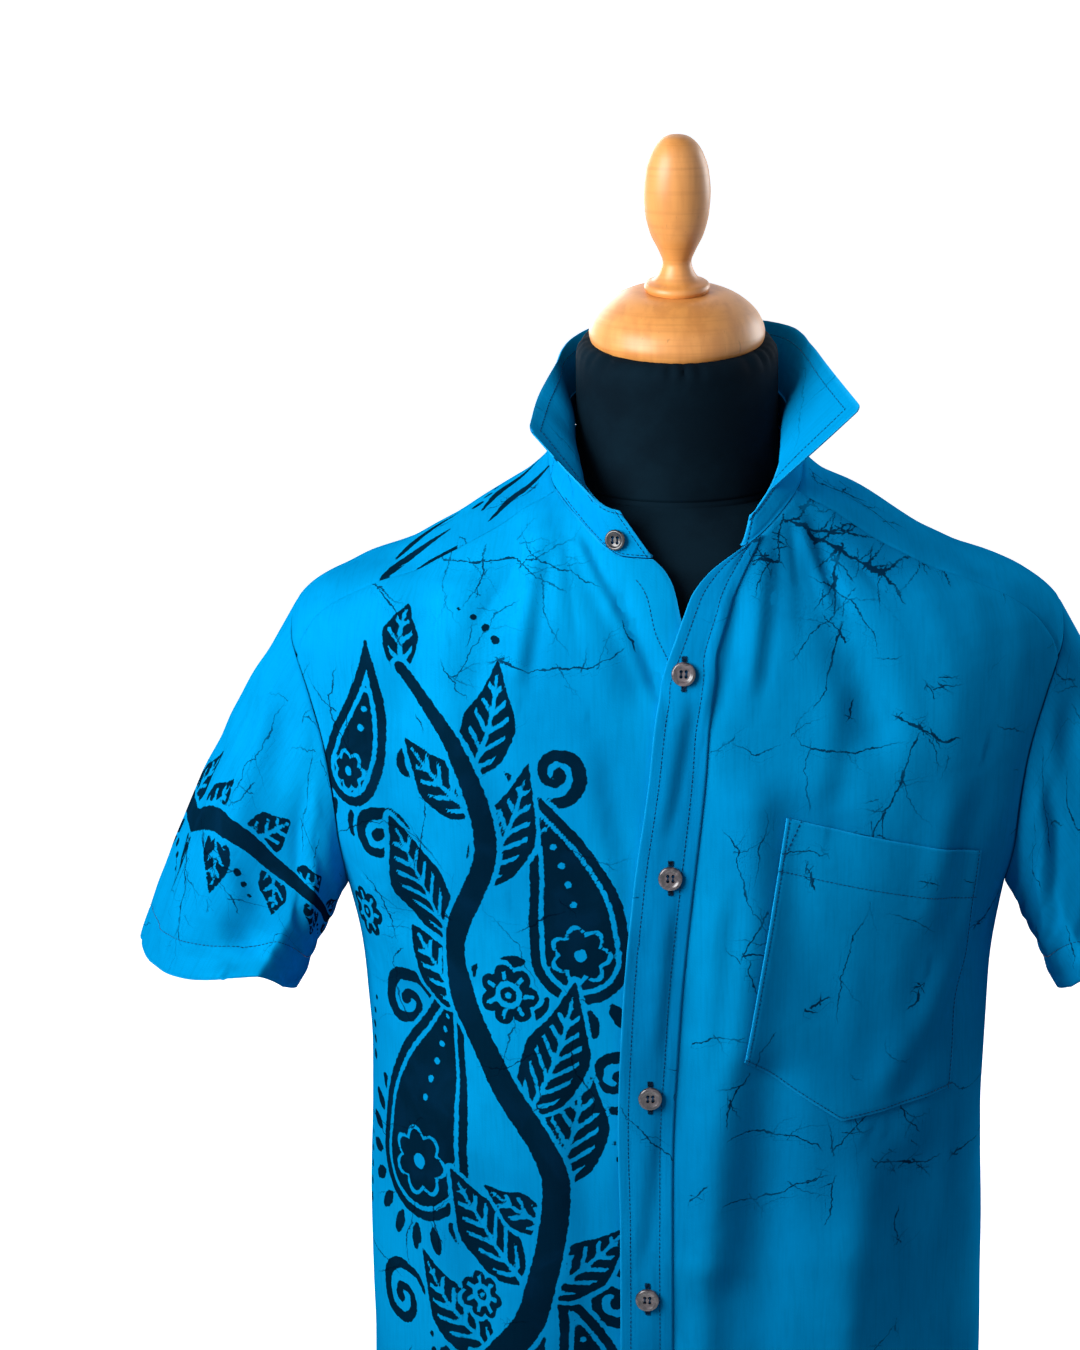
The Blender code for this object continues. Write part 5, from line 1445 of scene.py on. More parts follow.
def front_panel(side: Side, cells: Cells) -> ClothGrid:
    """One front: its columns run to the wearer's left, its rows from the hem up."""
    table = RIGHT_EDGE if side is Side.RIGHT else LEFT_EDGE
    lower = np.linspace(HEM_HEIGHT, UNDERARM_HEIGHT, cells.lower + 1)
    upper = np.linspace(UNDERARM_HEIGHT, table[-1].height, cells.upper + 1)[1:]
    edge_height = np.concatenate([lower, upper])
    edge_x = smooth_curve(column(table, "height"), column(table, "x"), edge_height)
    neck_angle, neck_height = neck_front(side, even_shares(cells.neck)[1:])
    start_angle = np.concatenate([angle_at(edge_x, edge_height), neck_angle])
    start_height = np.concatenate([edge_height, neck_height])
    turn = np.linspace(math.pi, YOKE_FRONT_TURN, cells.upper + cells.neck + 1)[1:]
    arm_angle, arm_height = armhole(turn, side)
    end_angle = np.concatenate([np.full(len(lower), side.value * math.pi / 2.0), arm_angle])
    end_height = np.concatenate([lower, arm_height])
    share = even_shares(cells.across)[None, :]
    if side is Side.RIGHT:
        share = share[:, ::-1]
    angle = between(start_angle[:, None], end_angle[:, None], share)
    height = between(start_height[:, None], end_height[:, None], share)
    surface = body_cloth if side is Side.RIGHT else left_cloth
    return ClothGrid(surface(angle, height), FLAT.front(angle, height))


def back_panel(cells: Cells) -> ClothGrid:
    """The back below the yoke: its columns run to the wearer's right, its rows from the hem up."""
    lower = np.linspace(HEM_HEIGHT, UNDERARM_HEIGHT, cells.lower + 1)
    turn = np.linspace(-math.pi, -YOKE_BACK_TURN, cells.upper + 1)[1:]
    arm_angle, arm_height = armhole(turn, Side.RIGHT)
    start_angle = np.concatenate([np.full(len(lower), -math.pi / 2.0), arm_angle])
    start_height = np.concatenate([lower, arm_height])
    rise = (YOKE_BACK_HEIGHT - UNDERARM_HEIGHT) / (arm_height[-1] - UNDERARM_HEIGHT)
    over = np.maximum(start_height - UNDERARM_HEIGHT, 0.0)
    middle_height = start_height + over * (rise - 1.0)
    share = even_shares(cells.across // 2)[None, :]
    angle = start_angle[:, None] * (1.0 - share) - math.pi * share
    height = between(start_height[:, None], middle_height[:, None], share)
    all_angle = np.concatenate([angle, -2.0 * math.pi - angle[:, ::-1][:, 1:]], axis=1)[:, ::-1]
    all_height = np.concatenate([height, height[:, ::-1][:, 1:]], axis=1)[:, ::-1]
    return ClothGrid(body_cloth(all_angle, all_height), FLAT.back(all_angle, all_height))


def yoke_flat(points: Grid) -> Grid:
    """Cloth coordinates of the yoke: across it, and over the shoulder from front to back."""
    half_widths = column(SHIRT_RINGS, "half_width")[::-1]
    heights = column(SHIRT_RINGS, "height")[::-1]
    ridge = np.interp(np.abs(points[..., 0]), half_widths[:12], heights[:12])
    drop = (ridge - points[..., 2]) * np.tanh(points[..., 1] / 0.01)
    return np.stack([points[..., 0] * 1.1, points[..., 1] + drop], axis=-1)


def yoke_panel(arm_cells: int, back_cells: int, across: int) -> ClothGrid:
    """The yoke: rows from the right front seam round the neck to the left, columns from the arm in."""
    angles = []
    heights = []
    for side in Side:
        cells = arm_cells + back_cells
        neck_angle, neck_height = neck_back(side, even_shares(cells))
        turn = np.linspace(YOKE_FRONT_TURN, -YOKE_BACK_TURN, arm_cells + 1)
        arm_angle, arm_height = armhole(turn, side)
        share = even_shares(back_cells)[1:]
        back_angle = arm_angle[-1] + (side.value * math.pi - arm_angle[-1]) * share
        back_height = arm_height[-1] + (YOKE_BACK_HEIGHT - arm_height[-1]) * share
        outer_angle = np.concatenate([arm_angle, back_angle])[:, None]
        outer_height = np.concatenate([arm_height, back_height])[:, None]
        inward = np.linspace(1.0, 0.0, across + 1)[None, :]
        angles.append(between(neck_angle[:, None], outer_angle, inward))
        heights.append(between(neck_height[:, None], outer_height, inward))
    all_angle = np.concatenate([angles[0], angles[1][::-1][1:] - 2.0 * math.pi])
    all_height = np.concatenate([heights[0], heights[1][::-1][1:]])
    points = body_cloth(all_angle, all_height)
    return ClothGrid(points, yoke_flat(points))


def sleeve_tube(side: Side, rows: int, around: int) -> ClothGrid:
    """A sleeve from the armhole down to its hem, its seam under the arm."""
    turns = np.linspace(-math.pi, math.pi, around + 1) * side.value
    turn, along = np.meshgrid(turns, even_shares(rows))
    flat = np.stack([turn * SLEEVE_GIRTH / (2.0 * math.pi), along * SLEEVE_LENGTH], axis=-1)
    base = ClothGrid(plain_sleeve(turn, along, side), flat, True)
    return base.lifted(sleeve_fold_height(turn, along))


def edge_shares(cells: int, crowded: float = 0.6) -> Grid:
    """Shares across a strip that crowd towards both of its edges."""
    even = even_shares(cells)
    return even - crowded * np.sin(2.0 * math.pi * even) / (2.0 * math.pi)


def laid_on_front(x: Grid, height: Grid, clear: float) -> ClothGrid:
    """A grid that lies over the left front at the places given from the front."""
    panel = ClothGrid(left_front(x, height), FLAT.front_at(x, height))
    return panel.lifted(CLOTH + clear)


def on_line(start: FrontPoint, end: FrontPoint, share: Grid) -> tuple[Grid, Grid]:
    """Place and height at shares of a straight line over the front."""
    return start.x + (end.x - start.x) * share, start.height + (end.height - start.height) * share


def placket_strip(rows: int, fan_rows: int, across: int) -> ClothGrid:
    """The placket: a strip up the left front that fans out to the neckline."""
    lower = np.linspace(HEM_HEIGHT, PLACKET_TOP_HEIGHT, rows + 1)
    top = LEFT_EDGE[-1].height
    upper = np.linspace(PLACKET_TOP_HEIGHT, top, fan_rows + 1)[1:]
    free_height = np.concatenate([lower, upper])
    free_x = smooth_curve(column(LEFT_EDGE, "height"), column(LEFT_EDGE, "x"), free_height)
    wide = smooth_curve(column(PLACKET_WIDTHS, "height"), column(PLACKET_WIDTHS, "width"), lower)
    share = even_shares(fan_rows)[1:]
    fan_x, inner_rise = on_line(FrontPoint(free_x[rows] + wide[-1], PLACKET_TOP_HEIGHT),
                                PLACKET_TOP_END, share)
    inner_x = np.concatenate([free_x[:rows + 1] + wide, fan_x])
    inner_height = np.concatenate([lower, inner_rise])
    free_height[rows + 1:] -= PLACKET_TOP_SINK * share
    place = edge_shares(across)[None, :]
    x = between(free_x[:, None], inner_x[:, None], place)
    height = between(free_height[:, None], inner_height[:, None], place)
    return laid_on_front(x, height, LAYER_GAP)


def pocket_patch(cells: int) -> ClothGrid:
    """The pocket, its rows from its pointed foot up to its opening."""
    across, down = np.meshgrid(edge_shares(cells, 0.5), edge_shares(cells, 0.5)[::-1])
    inner_x, inner_rise = on_line(POCKET_TOP_INNER, POCKET_LOW_INNER, down)
    outer_x, outer_rise = on_line(POCKET_TOP_OUTER, POCKET_LOW_OUTER, down)
    x = inner_x + (outer_x - inner_x) * across
    point = np.minimum(across / POCKET_POINT_PLACE, (1.0 - across) / (1.0 - POCKET_POINT_PLACE))
    height = inner_rise + (outer_rise - inner_rise) * across - POCKET_POINT_DROP * point * down ** 2
    return laid_on_front(x, height, POCKET_CLEAR)


def neck_border(count: int) -> Grid:
    """The whole neckline from the right front's edge round the back to the left one's."""
    even = np.linspace(0.0, 1.0, 60)
    right = body_cloth(*neck_front(Side.RIGHT, even))
    right_back = body_cloth(*neck_back(Side.RIGHT, even))
    left_back = body_cloth(*neck_back(Side.LEFT, even))
    left = left_cloth(*neck_front(Side.LEFT, even))
    line = np.concatenate([right, right_back[1:], left_back[::-1][1:], left[::-1][1:]])
    lengths = path_lengths(line)
    places = np.linspace(0.0, lengths[-1], count + 1)
    return np.stack([np.interp(places, lengths, line[:, axis]) for axis in range(3)], axis=-1)


def station_line(table: Sequence[CollarStation], along: Grid) -> Grid:
    """Points of a collar line at shares of its length."""
    return np.stack(table_curve(table, "along", ("x", "y", "height"), along), axis=-1)


def strip_flat(points: Grid) -> Grid:
    """Cloth coordinates of a strip: along its first row, and up its middle."""
    along = path_lengths(points[0])
    up = path_lengths(points[:, points.shape[1] // 2])
    return np.stack(np.meshgrid(along, up), axis=-1)


def band_strip(rows: int, count: int) -> ClothGrid:
    """The collar band on the neckline, its columns from the wearer's left end to the right one."""
    foot = neck_border(count)
    along = even_shares(count)
    top = station_line(BAND_TOP, along)
    share = edge_shares(rows, 0.5)[:, None, None]
    points = between(foot[None], top[None], share)[:, ::-1]
    return ClothGrid(points, strip_flat(points))


def collar_leaf(rows: int, count: int) -> ClothGrid:
    """The standing collar leaf, its columns from the wearer's left point to the right one."""
    along = edge_shares(count, 0.5)
    foot = station_line(BAND_TOP, LEAF_START + (LEAF_END - LEAF_START) * along)
    foot[:, 2] -= LEAF_TUCK
    head = station_line(LEAF_EDGE, along)
    share = edge_shares(rows, 0.5)[:, None, None]
    points = between(foot[None], head[None], share)[:, ::-1]
    radial = np.hypot(points[..., 0], points[..., 1])
    frontness = smooth_step(0.02, -0.03, points[..., 1])
    hollow = LEAF_HOLLOW * np.sin(math.pi * share[:, :, 0] ** 0.62) * frontness
    ends = np.minimum(along, 1.0 - along)[::-1]
    hollow = hollow * smooth_step(0.0, 0.12, ends)[None]
    hollow = hollow + LEAF_THIN * 0.5 * smooth_step(0.0, 0.3, share[:, :, 0])
    clear_of_neck = NECK_RADIUS + COLLAR_CLOTH + LEAF_NECK_CLEAR
    near_neck = np.maximum(radial - hollow, np.minimum(radial, clear_of_neck))
    points[..., :2] *= (near_neck / radial)[..., None]
    grid = ClothGrid(points, strip_flat(points))
    wave = RIPPLE.at(grid.flat[..., 0], grid.flat[..., 1]) * 0.8
    fade = np.sin(math.pi * share[:, :, 0] * 0.5) ** 2
    return grid.lifted(wave * fade)


# ---------------------------------------------------------------- finishes
def linear(code: str) -> tuple[float, float, float, float]:
    """Scene-linear colour of an sRGB hex code."""
    parts = [int(code.lstrip("#")[place:place + 2], 16) / 255.0 for place in (0, 2, 4)]
    curved = [part / 12.92 if part <= 0.04045 else ((part + 0.055) / 1.055) ** 2.4 for part in parts]
    return curved[0], curved[1], curved[2], 1.0


def add_node(tree: Tree, kind: str, inputs: dict[object, object] | None = None,
             **settings: object) -> bpy.types.Node:
    """A node with its settings and inputs.

    Args:
        tree: The tree that it joins.
        kind: Blender's name for the kind of node.
        inputs: Values, hex colours or output sockets, by input name or place.
        settings: Properties of the node.

    Returns:
        The node.
    """
    node = tree.nodes.new(kind)
    for name, value in settings.items():
        setattr(node, name, value)
    for key, value in (inputs or {}).items():
        if isinstance(value, Socket):
            tree.links.new(value, node.inputs[key])
        else:
            node.inputs[key].default_value = linear(value) if isinstance(value, str) else value
    return node


def math_of(tree: Tree, operation: str, *values: object) -> Socket:
    """Output of a math node."""
    return add_node(tree, "ShaderNodeMath", dict(enumerate(values)), operation=operation).outputs[0]


class Surface:
    """A material in the making: its tree, its principled shader and short ways to feed it."""

    def __init__(self, name: str) -> None:
        """Start an empty material."""
        self.material = bpy.data.materials.new(name)
        self.material.use_nodes = True
        self.tree = self.material.node_tree
        self.shader = self.tree.nodes["Principled BSDF"]

    def place(self) -> Socket:
        """Place on the object."""
        return add_node(self.tree, "ShaderNodeTexCoord").outputs["Object"]

    def stretched(self, place: Socket, scale: Triple) -> Socket:
        """Place with its axes scaled."""
        node = add_node(self.tree, "ShaderNodeMapping", {"Vector": place, "Scale": scale})
        return node.outputs["Vector"]

    def mark(self, name: str, output: str = "Fac") -> Socket:
        """A mark kept on the mesh."""
        return add_node(self.tree, "ShaderNodeAttribute", attribute_name=name).outputs[output]

    def noise(self, place: Socket, scale: float, detail: float = 2.0,
              distortion: float = 0.0) -> Socket:
        """Noise of a scale per metre."""
        inputs = {"Vector": place, "Scale": scale, "Detail": detail, "Distortion": distortion}
        return add_node(self.tree, "ShaderNodeTexNoise", inputs).outputs["Fac"]

    def eased(self, value: Socket, low: object, high: object, start: float = 0.0,
              end: float = 1.0) -> Socket:
        """A value that eases from start at low to end at high."""
        inputs = {"Value": value, "From Min": low, "From Max": high, "To Min": start, "To Max": end}
        node = add_node(self.tree, "ShaderNodeMapRange", inputs, interpolation_type="SMOOTHSTEP")
        return node.outputs["Result"]

    def math(self, operation: str, *values: object) -> Socket:
        """Output of a math node."""
        return math_of(self.tree, operation, *values)

    def mixed(self, share: object, first: object, second: object) -> Socket:
        """A mix of two colours."""
        inputs = {0: share, 6: first, 7: second}
        return add_node(self.tree, "ShaderNodeMix", inputs, data_type="RGBA").outputs[2]

    def bump(self, height: Socket, strength: float, distance: float) -> None:
        """Raise the surface where a value is high."""
        inputs = {"Height": height, "Strength": strength, "Distance": distance}
        node = add_node(self.tree, "ShaderNodeBump", inputs)
        self.tree.links.new(node.outputs["Normal"], self.shader.inputs["Normal"])

    def done(self, tone: Socket, **inputs: object) -> Material:
        """The material, with its colour and the shader's inputs by name with _ for spaces."""
        self.tree.links.new(tone, self.shader.inputs["Base Color"])
        for name, value in inputs.items():
            self.shader.inputs[name.replace("_", " ")].default_value = value
        return self.material


@dataclass(frozen=True)
class CottonTones:
    """Blues of one piece of cotton, and the paler one painted as a highlight along its folded edges."""

    light: str = "#0090CC"
    middle: str = "#0084BF"
    deep: str = "#006698"
    # painted highlight of the folded edges
    fold_highlight: str = "#1CAEF0"


# Darker blues of the placket: painted shade of the left front, which turns away from the key light.
PLACKET_SHADED_TONES = CottonTones("#0080BA", "#0072AA", "#005684", "#1AA8E2")
# Lighter blues of the collar and band: painted light that brightens their shaded sides.
COLLAR_LIT_TONES = CottonTones("#0096D6", "#0088C8", "#0070A8", "#20B2F0")


@dataclass(frozen=True)
class BatikCotton:
    """Dyed cotton lawn: mottled azure, crackled wax lines and, where marked, navy motifs."""

    name: str
    shift: Pair
    tones: CottonTones
    ink: str = "#010F1E"
    worn_ink: str = "#04233F"
    crack: str = "#03203C"
    roughness: float = 0.85
    ragged: float = 0.00055         # how far a crack strays from its line
    bleed: float = 0.00032          # of dye beside a crack
    hairlines: Pair = (0.00001, 0.00022)    # half widths over which a crack gains its colour
    wobble: float = 0.00035         # of a motif's edge
    edge: float = 0.00028           # half width over which a motif's dye ends

    def _crackle(self, dye: Surface, place: Socket) -> Socket:
        """Share of dye in the cracks: hairlines that wander, thicken and fade."""
        knots = dye.noise(place, 75.0, 3.0)
        faint = dye.noise(place, 34.0)
        ragged = dye.eased(dye.noise(place, 330.0, 3.0), 0.25, 0.75, -self.ragged, self.ragged)
        swell = dye.eased(knots, 0.42, 0.72, 0.45, 1.7)
        marks: dict[str, list[Socket]] = {"crack_side": [], "crack_width": []}
        for half in range(CRACK_LAYERS // 3):
            for name, layers in marks.items():
                threes = dye.mark(f"{name}_{half}", "Vector")
                layers += add_node(dye.tree, "ShaderNodeSeparateXYZ", {0: threes}).outputs[:]
        total = None
        for side, width in zip(*marks.values()):
            away = dye.math("ABSOLUTE", dye.math("ADD", side, ragged), 0.0)
            half_width = dye.math("MULTIPLY", width, swell)
            soft = dye.math("ADD", half_width, self.bleed)
            line = dye.eased(away, half_width, soft, 1.0, 0.0)
            line = dye.math("MULTIPLY", line, dye.eased(width, *self.hairlines))
            total = line if total is None else dye.math("MAXIMUM", total, line)
        return dye.math("MULTIPLY", total, dye.eased(faint, 0.3, 0.55, 0.55, 1.0))

    def build(self) -> Material:
        """The material: mottled dye, cracks and motifs, with a matt woven surface."""
        dye = Surface(self.name)
        flat = add_node(dye.tree, "ShaderNodeUVMap", uv_map="cloth").outputs["UV"]
        moved = add_node(dye.tree, "ShaderNodeVectorMath", {0: flat, 1: (*self.shift, 0.0)})
        place = moved.outputs[0]
        motif = dye.mark("motif")
        cloudy = dye.noise(place, 7.0, 4.0)
        blotchy = dye.noise(place, 42.0, 4.0, 0.6)
        streaks = dye.noise(dye.stretched(place, (1.0, 0.06, 1.0)), 620.0, 3.0)
        tones = self.tones
        tone = dye.mixed(dye.eased(cloudy, 0.36, 0.64), tones.middle, tones.light)
        tone = dye.mixed(dye.eased(blotchy, 0.52, 0.8, 0.0, 0.14), tone, tones.deep)
        tone = dye.mixed(dye.eased(streaks, 0.4, 0.74, 0.0, 0.2), tone, tones.deep)
        # Painted highlight: folded edges turn paler where the rim mark is high.
        rim = dye.mark("rim")
        tone = dye.mixed(dye.math("MULTIPLY", rim, 0.45), tone, tones.fold_highlight)
        dyed = dye.math("MULTIPLY", self._crackle(dye, place), 0.92)
        tone = dye.mixed(dyed, tone, self.crack)
        wobble = dye.noise(place, 260.0)
        edge = dye.math("ADD", motif, dye.eased(wobble, 0.3, 0.7, -self.wobble, self.wobble))
        inked = dye.eased(edge, -self.edge, self.edge, 1.0, 0.0)
        uneven = dye.mixed(dye.eased(blotchy, 0.42, 0.75, 0.0, 0.35), self.ink, self.worn_ink)
        tone = dye.mixed(dye.math("MULTIPLY", inked, 0.97), tone, uneven)
        slubs = dye.noise(place, 900.0)
        pucker = dye.noise(place, 120.0, 3.0)
        dye.bump(dye.math("ADD", dye.math("MULTIPLY", pucker, 1.6), slubs), 0.35, 0.0003)
        return dye.done(tone, Roughness=self.roughness, Specular_IOR_Level=0.0)


@dataclass(frozen=True)
class Thread:
    """Cotton-wrapped sewing thread: a dull dark line that hardly catches the light; its dark colour is
    partly the thread's own and partly painted shade of the stitch holes.
    """

    name: str
    colour: str
    worn: str = "#0B4A78"

    def build(self) -> Material:
        """The material: colour that varies from stitch to stitch."""
        fibre = Surface(self.name)
        uneven = fibre.noise(fibre.place(), 300.0)
        tone = fibre.mixed(fibre.eased(uneven, 0.35, 0.65, 0.0, 0.5), self.colour, self.worn)
        return fibre.done(tone, Roughness=0.6, Specular_IOR_Level=0.06)


@dataclass(frozen=True)
class ShellButtonFinish:
    """Dyed shell: grey-brown with darker clouds and a soft lustre."""

    name: str
    light: str
    dark: str

    def build(self) -> Material:
        """The material: clouded colour under a thin polish."""
        shell = Surface(self.name)
        clouds = shell.noise(shell.place(), 170.0, 4.0, 1.2)
        tone = shell.mixed(shell.eased(clouds, 0.36, 0.66), self.dark, self.light)
        return shell.done(tone, Roughness=0.3, Coat_Weight=0.5, Coat_Roughness=0.12)


@dataclass(frozen=True)
class FormCover:
    """Black cotton jersey drawn tight over the form."""

    name: str
    colour: str = "#03121C"
    lit: str = "#061A25"

    def build(self) -> Material:
        """The material: fine knit bump, faint fuzz and uneven black."""
        jersey = Surface(self.name)
        place = jersey.place()
        worn = jersey.noise(place, 24.0, 4.0)
        tone = jersey.mixed(jersey.eased(worn, 0.4, 0.68), self.colour, self.lit)
        jersey.bump(jersey.noise(place, 1300.0), 0.4, 0.0002)
        return jersey.done(tone, Roughness=0.86, Specular_IOR_Level=0.04)


@dataclass(frozen=True)
class LacqueredBeech:
    """Turned beech under clear lacquer: warm, with fine flecks along the grain."""

    name: str
    light: str = "#E0984D"
    dark: str = "#B8702F"
    fleck: str = "#8A4E22"

    def build(self) -> Material:
        """The material: long grain, beech flecks and a lacquer coat."""
        wood = Surface(self.name)
        place = wood.place()
        grain = wood.noise(wood.stretched(place, (1.0, 0.7, 0.1)), 110.0, 3.0, 0.3)
        rings = wood.noise(wood.stretched(place, (0.03, 0.03, 1.0)), 420.0)
        tone = wood.mixed(wood.eased(grain, 0.38, 0.7, 0.0, 0.45), self.light, self.dark)
        tone = wood.mixed(wood.eased(rings, 0.5, 0.74, 0.0, 0.3), tone, self.dark)
        dashes = wood.noise(wood.stretched(place, (1.0, 1.0, 0.05)), 620.0, 1.0)
        tone = wood.mixed(wood.eased(dashes, 0.7, 0.8, 0.0, 0.35), tone, self.fleck)
        wood.bump(grain, 0.12, 0.0002)
        return wood.done(tone, Roughness=0.42, Coat_Weight=0.08, Coat_Roughness=0.28)


@dataclass(frozen=True)
class PaleFloor:
    """A plain white floor, lit from below like a light table, that takes a soft shadow."""

    name: str
    colour: str = "#F6F6F5"
    shade: str = "#F2F2F1"
    glow: float = 0.82

    def build(self) -> Material:
        """The material: faintly uneven matt white."""
        ground = Surface(self.name)
        uneven = ground.noise(ground.place(), 1.5)
        tone = ground.mixed(ground.eased(uneven, 0.3, 0.7, 0.0, 0.5), self.colour, self.shade)
        return ground.done(tone, Roughness=0.9, Emission_Color=(1.0, 1.0, 1.0, 1.0),
                           Emission_Strength=self.glow)


# ---------------------------------------------------------------- sewing
def open_tree(name: str, result: str, numbers: dict[str, float]) -> tuple[Tree, object, Socket]:
    """A node tree that starts with lines.

    Args:
        name: Its name.
        result: Name of what it puts out.
        numbers: Its further inputs with their values.

    Returns:
        The tree, its inputs and its lines as curves.
    """
    tree = bpy.data.node_groups.new(name, "GeometryNodeTree")
    face = tree.interface
    face.new_socket("Lines", in_out="INPUT", socket_type="NodeSocketGeometry")
    for label, value in numbers.items():
        kind = "NodeSocketInt" if isinstance(value, int) else "NodeSocketFloat"
        face.new_socket(label, in_out="INPUT", socket_type=kind).default_value = value
    face.new_socket(result, in_out="OUTPUT", socket_type="NodeSocketGeometry")
    start = add_node(tree, "NodeGroupInput").outputs
    curve = add_node(tree, "GeometryNodeMeshToCurve", {"Mesh": start["Lines"]})
    return tree, start, curve.outputs["Curve"]


def close_tree(tree: Tree, made: Socket, thread: Material) -> Tree:
    """Smooth what a tree has made, give it its finish and put it out."""
    smooth = add_node(tree, "GeometryNodeSetShadeSmooth", {"Geometry": made})
    dressed = add_node(tree, "GeometryNodeSetMaterial", {
        "Geometry": smooth.outputs["Geometry"], "Material": thread,
    })
    add_node(tree, "NodeGroupOutput", {0: dressed.outputs["Geometry"]})
    return tree


@dataclass(frozen=True)
class StitchRun:
    """Stitches set along lines by a node tree."""

    pitch: float = 0.0027
    length: float = 0.0023
    radius: float = 0.00026
    uneven: float = 0.12
    seed: int = 5

    def tree(self, thread: Material) -> Tree:
        """Node tree that sets a small grain of thread at each pitch along the lines."""
        tree, start, curve = open_tree("stitch_run", "Stitches", {
            "Pitch": self.pitch, "Length": self.length, "Radius": self.radius,
            "Uneven": self.uneven, "Seed": self.seed,
        })
        spots = add_node(tree, "GeometryNodeCurveToPoints", {
            "Curve": curve, "Length": start["Pitch"],
        }, mode="LENGTH")
        grain = add_node(tree, "GeometryNodeMeshUVSphere", {"Segments": 6, "Rings": 4, "Radius": 1.0})
        half = math_of(tree, "MULTIPLY", start["Length"], 0.5)
        varied = add_node(tree, "FunctionNodeRandomValue", {
            2: math_of(tree, "SUBTRACT", 1.0, start["Uneven"]),
            3: math_of(tree, "ADD", 1.0, start["Uneven"]), "Seed": start["Seed"],
        })
        long = math_of(tree, "MULTIPLY", half, varied.outputs[1])
        size = add_node(tree, "ShaderNodeCombineXYZ", {0: start["Radius"], 1: start["Radius"], 2: long})
        placed = add_node(tree, "GeometryNodeInstanceOnPoints", {
            "Points": spots.outputs["Points"], "Instance": grain.outputs["Mesh"],
            "Rotation": spots.outputs["Rotation"], "Scale": size.outputs[0],
        })
        real = add_node(tree, "GeometryNodeRealizeInstances", {0: placed.outputs[0]})
        return close_tree(tree, real.outputs[0], thread)


@dataclass(frozen=True)
class SatinThread:
    """A thread that follows a line, as round a buttonhole."""

    radius: float = 0.00021

    def tree(self, thread: Material) -> Tree:
        """Node tree that sweeps a thin thread along the lines."""
        tree, start, curve = open_tree("satin_thread", "Thread", {"Radius": self.radius})
        ring = add_node(tree, "GeometryNodeCurvePrimitiveCircle", {
            "Resolution": 5, "Radius": start["Radius"],
        })
        swept = add_node(tree, "GeometryNodeCurveToMesh", {
            "Curve": curve, "Profile Curve": ring.outputs["Curve"], "Fill Caps": True,
        })
        return close_tree(tree, swept.outputs["Mesh"], thread)


def applied(obj: Object) -> Object:
    """The object with its modifiers applied and removed."""
    graph = bpy.context.evaluated_depsgraph_get()
    mesh = bpy.data.meshes.new_from_object(obj.evaluated_get(graph), depsgraph=graph)
    obj.modifiers.clear()
    obj.data = mesh
    mesh.name = obj.name
    return obj


def sewn(name: str, lines: Sequence[Grid], tree: Tree,
         settings: dict[str, float]) -> Object:
    """Sewing along some lines as one plain mesh.

    Args:
        name: The piece's name.
        lines: Lines of points.
        tree: Node tree that turns lines into thread.
        settings: Values by the names of the tree's inputs.

    Returns:
        The new object.
    """
    places: list[list[float]] = []
    edges: list[tuple[int, int]] = []
    for line in lines:
        first = len(places)
        places += (line + np.array([0.0, 0.0, NECK_SEAM])).tolist()
        edges += [(first + step, first + step + 1) for step in range(len(line) - 1)]
    mesh = bpy.data.meshes.new(name)
    mesh.from_pydata(places, edges, [])
    obj = link(name, mesh)
    modifier = obj.modifiers.new("sewing", "NODES")
    modifier.node_group = tree
    sockets = {item.name: item.identifier for item in tree.interface.items_tree
               if item.in_out == "INPUT"}
    for key, value in settings.items():
        modifier[sockets[key]] = value
    return applied(obj)


def zigzag(start: Grid, end: Grid, across: Grid, half_width: float, pitch: float) -> Grid:
    """Points that cross a line from side to side.

    Args:
        start: The line's start.
        end: The line's end.
        across: Unit vector over the line.
        half_width: Reach to each side.
        pitch: Advance for each crossing.

    Returns:
        The points.
    """
    count = max(2, round(float(np.linalg.norm(end - start)) / pitch))
    share = even_shares(count)[:, None]
    swing = np.where(np.arange(count + 1) % 2 == 0, half_width, -half_width)[:, None]
    return between(start, end, share) + across * swing


# ---------------------------------------------------------------- sub-assemblies
SLOT_COTTON = "batik_cotton"
SLOT_BUTTONS = "shell_buttons"
SLOT_FORM = "form_cover"
SLOT_BEECH = "lacquered_beech"
HEM_INSET = 0.024           # hem stitches, from the hem's edge
FACING_INSET = 0.0165       # stitches that hold the right front's facing
YOKE_INSET = 0.0022
YOKE_ENDS = 46.0            # rows at each end of the yoke that its neck stitches leave out
POCKET_INSET = 0.0018
POCKET_HEM_INSET = 0.0312
POCKET_BAR_INSET = 0.0085   # foot of the slanting stitches at the pocket's mouth
POCKET_BAR_START = 0.775
COLLAR_INSET = 0.0085
SEWN_ENDS = (0.0, 1.0)      # a line of stitches from one end of its edge to the other
SIDE_EDGES = (Edge.FIRST_COLUMN, Edge.LAST_COLUMN)
STAND_EDGES = (*SIDE_EDGES, Edge.LAST_ROW)
PLACKET_SEAMS = (           # edge, inset and dip of its stitches
    (Edge.FIRST_COLUMN, 0.0062, STITCH_DIP), (Edge.LAST_COLUMN, 0.0078, 2.0 * STITCH_DIP),
)
PLACKET_SPREAD = 0.0014
BAND_SEAMS = (              # edge, inset and ends of the stitches
    (Edge.LAST_ROW, 0.0024, SEWN_ENDS), (Edge.LAST_COLUMN, 0.003, (0.12, 0.92)),
    (Edge.FIRST_COLUMN, 0.003, (0.12, 0.92)), (Edge.FIRST_ROW, 0.002, (0.86, 1.0)),
)


def dress(obj: Object, material: Material, slot: str, *nodes: str) -> Object:
    """Give a piece its finish, hang it on the root and hide the CAD parts that it stands for."""
    if not obj.data.materials:
        obj.data.materials.append(material)
    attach(obj, "root")
    if nodes:
        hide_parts(*nodes)
    LOG.info("%s: %d faces", obj.name, len(obj.data.polygons))
    return obj


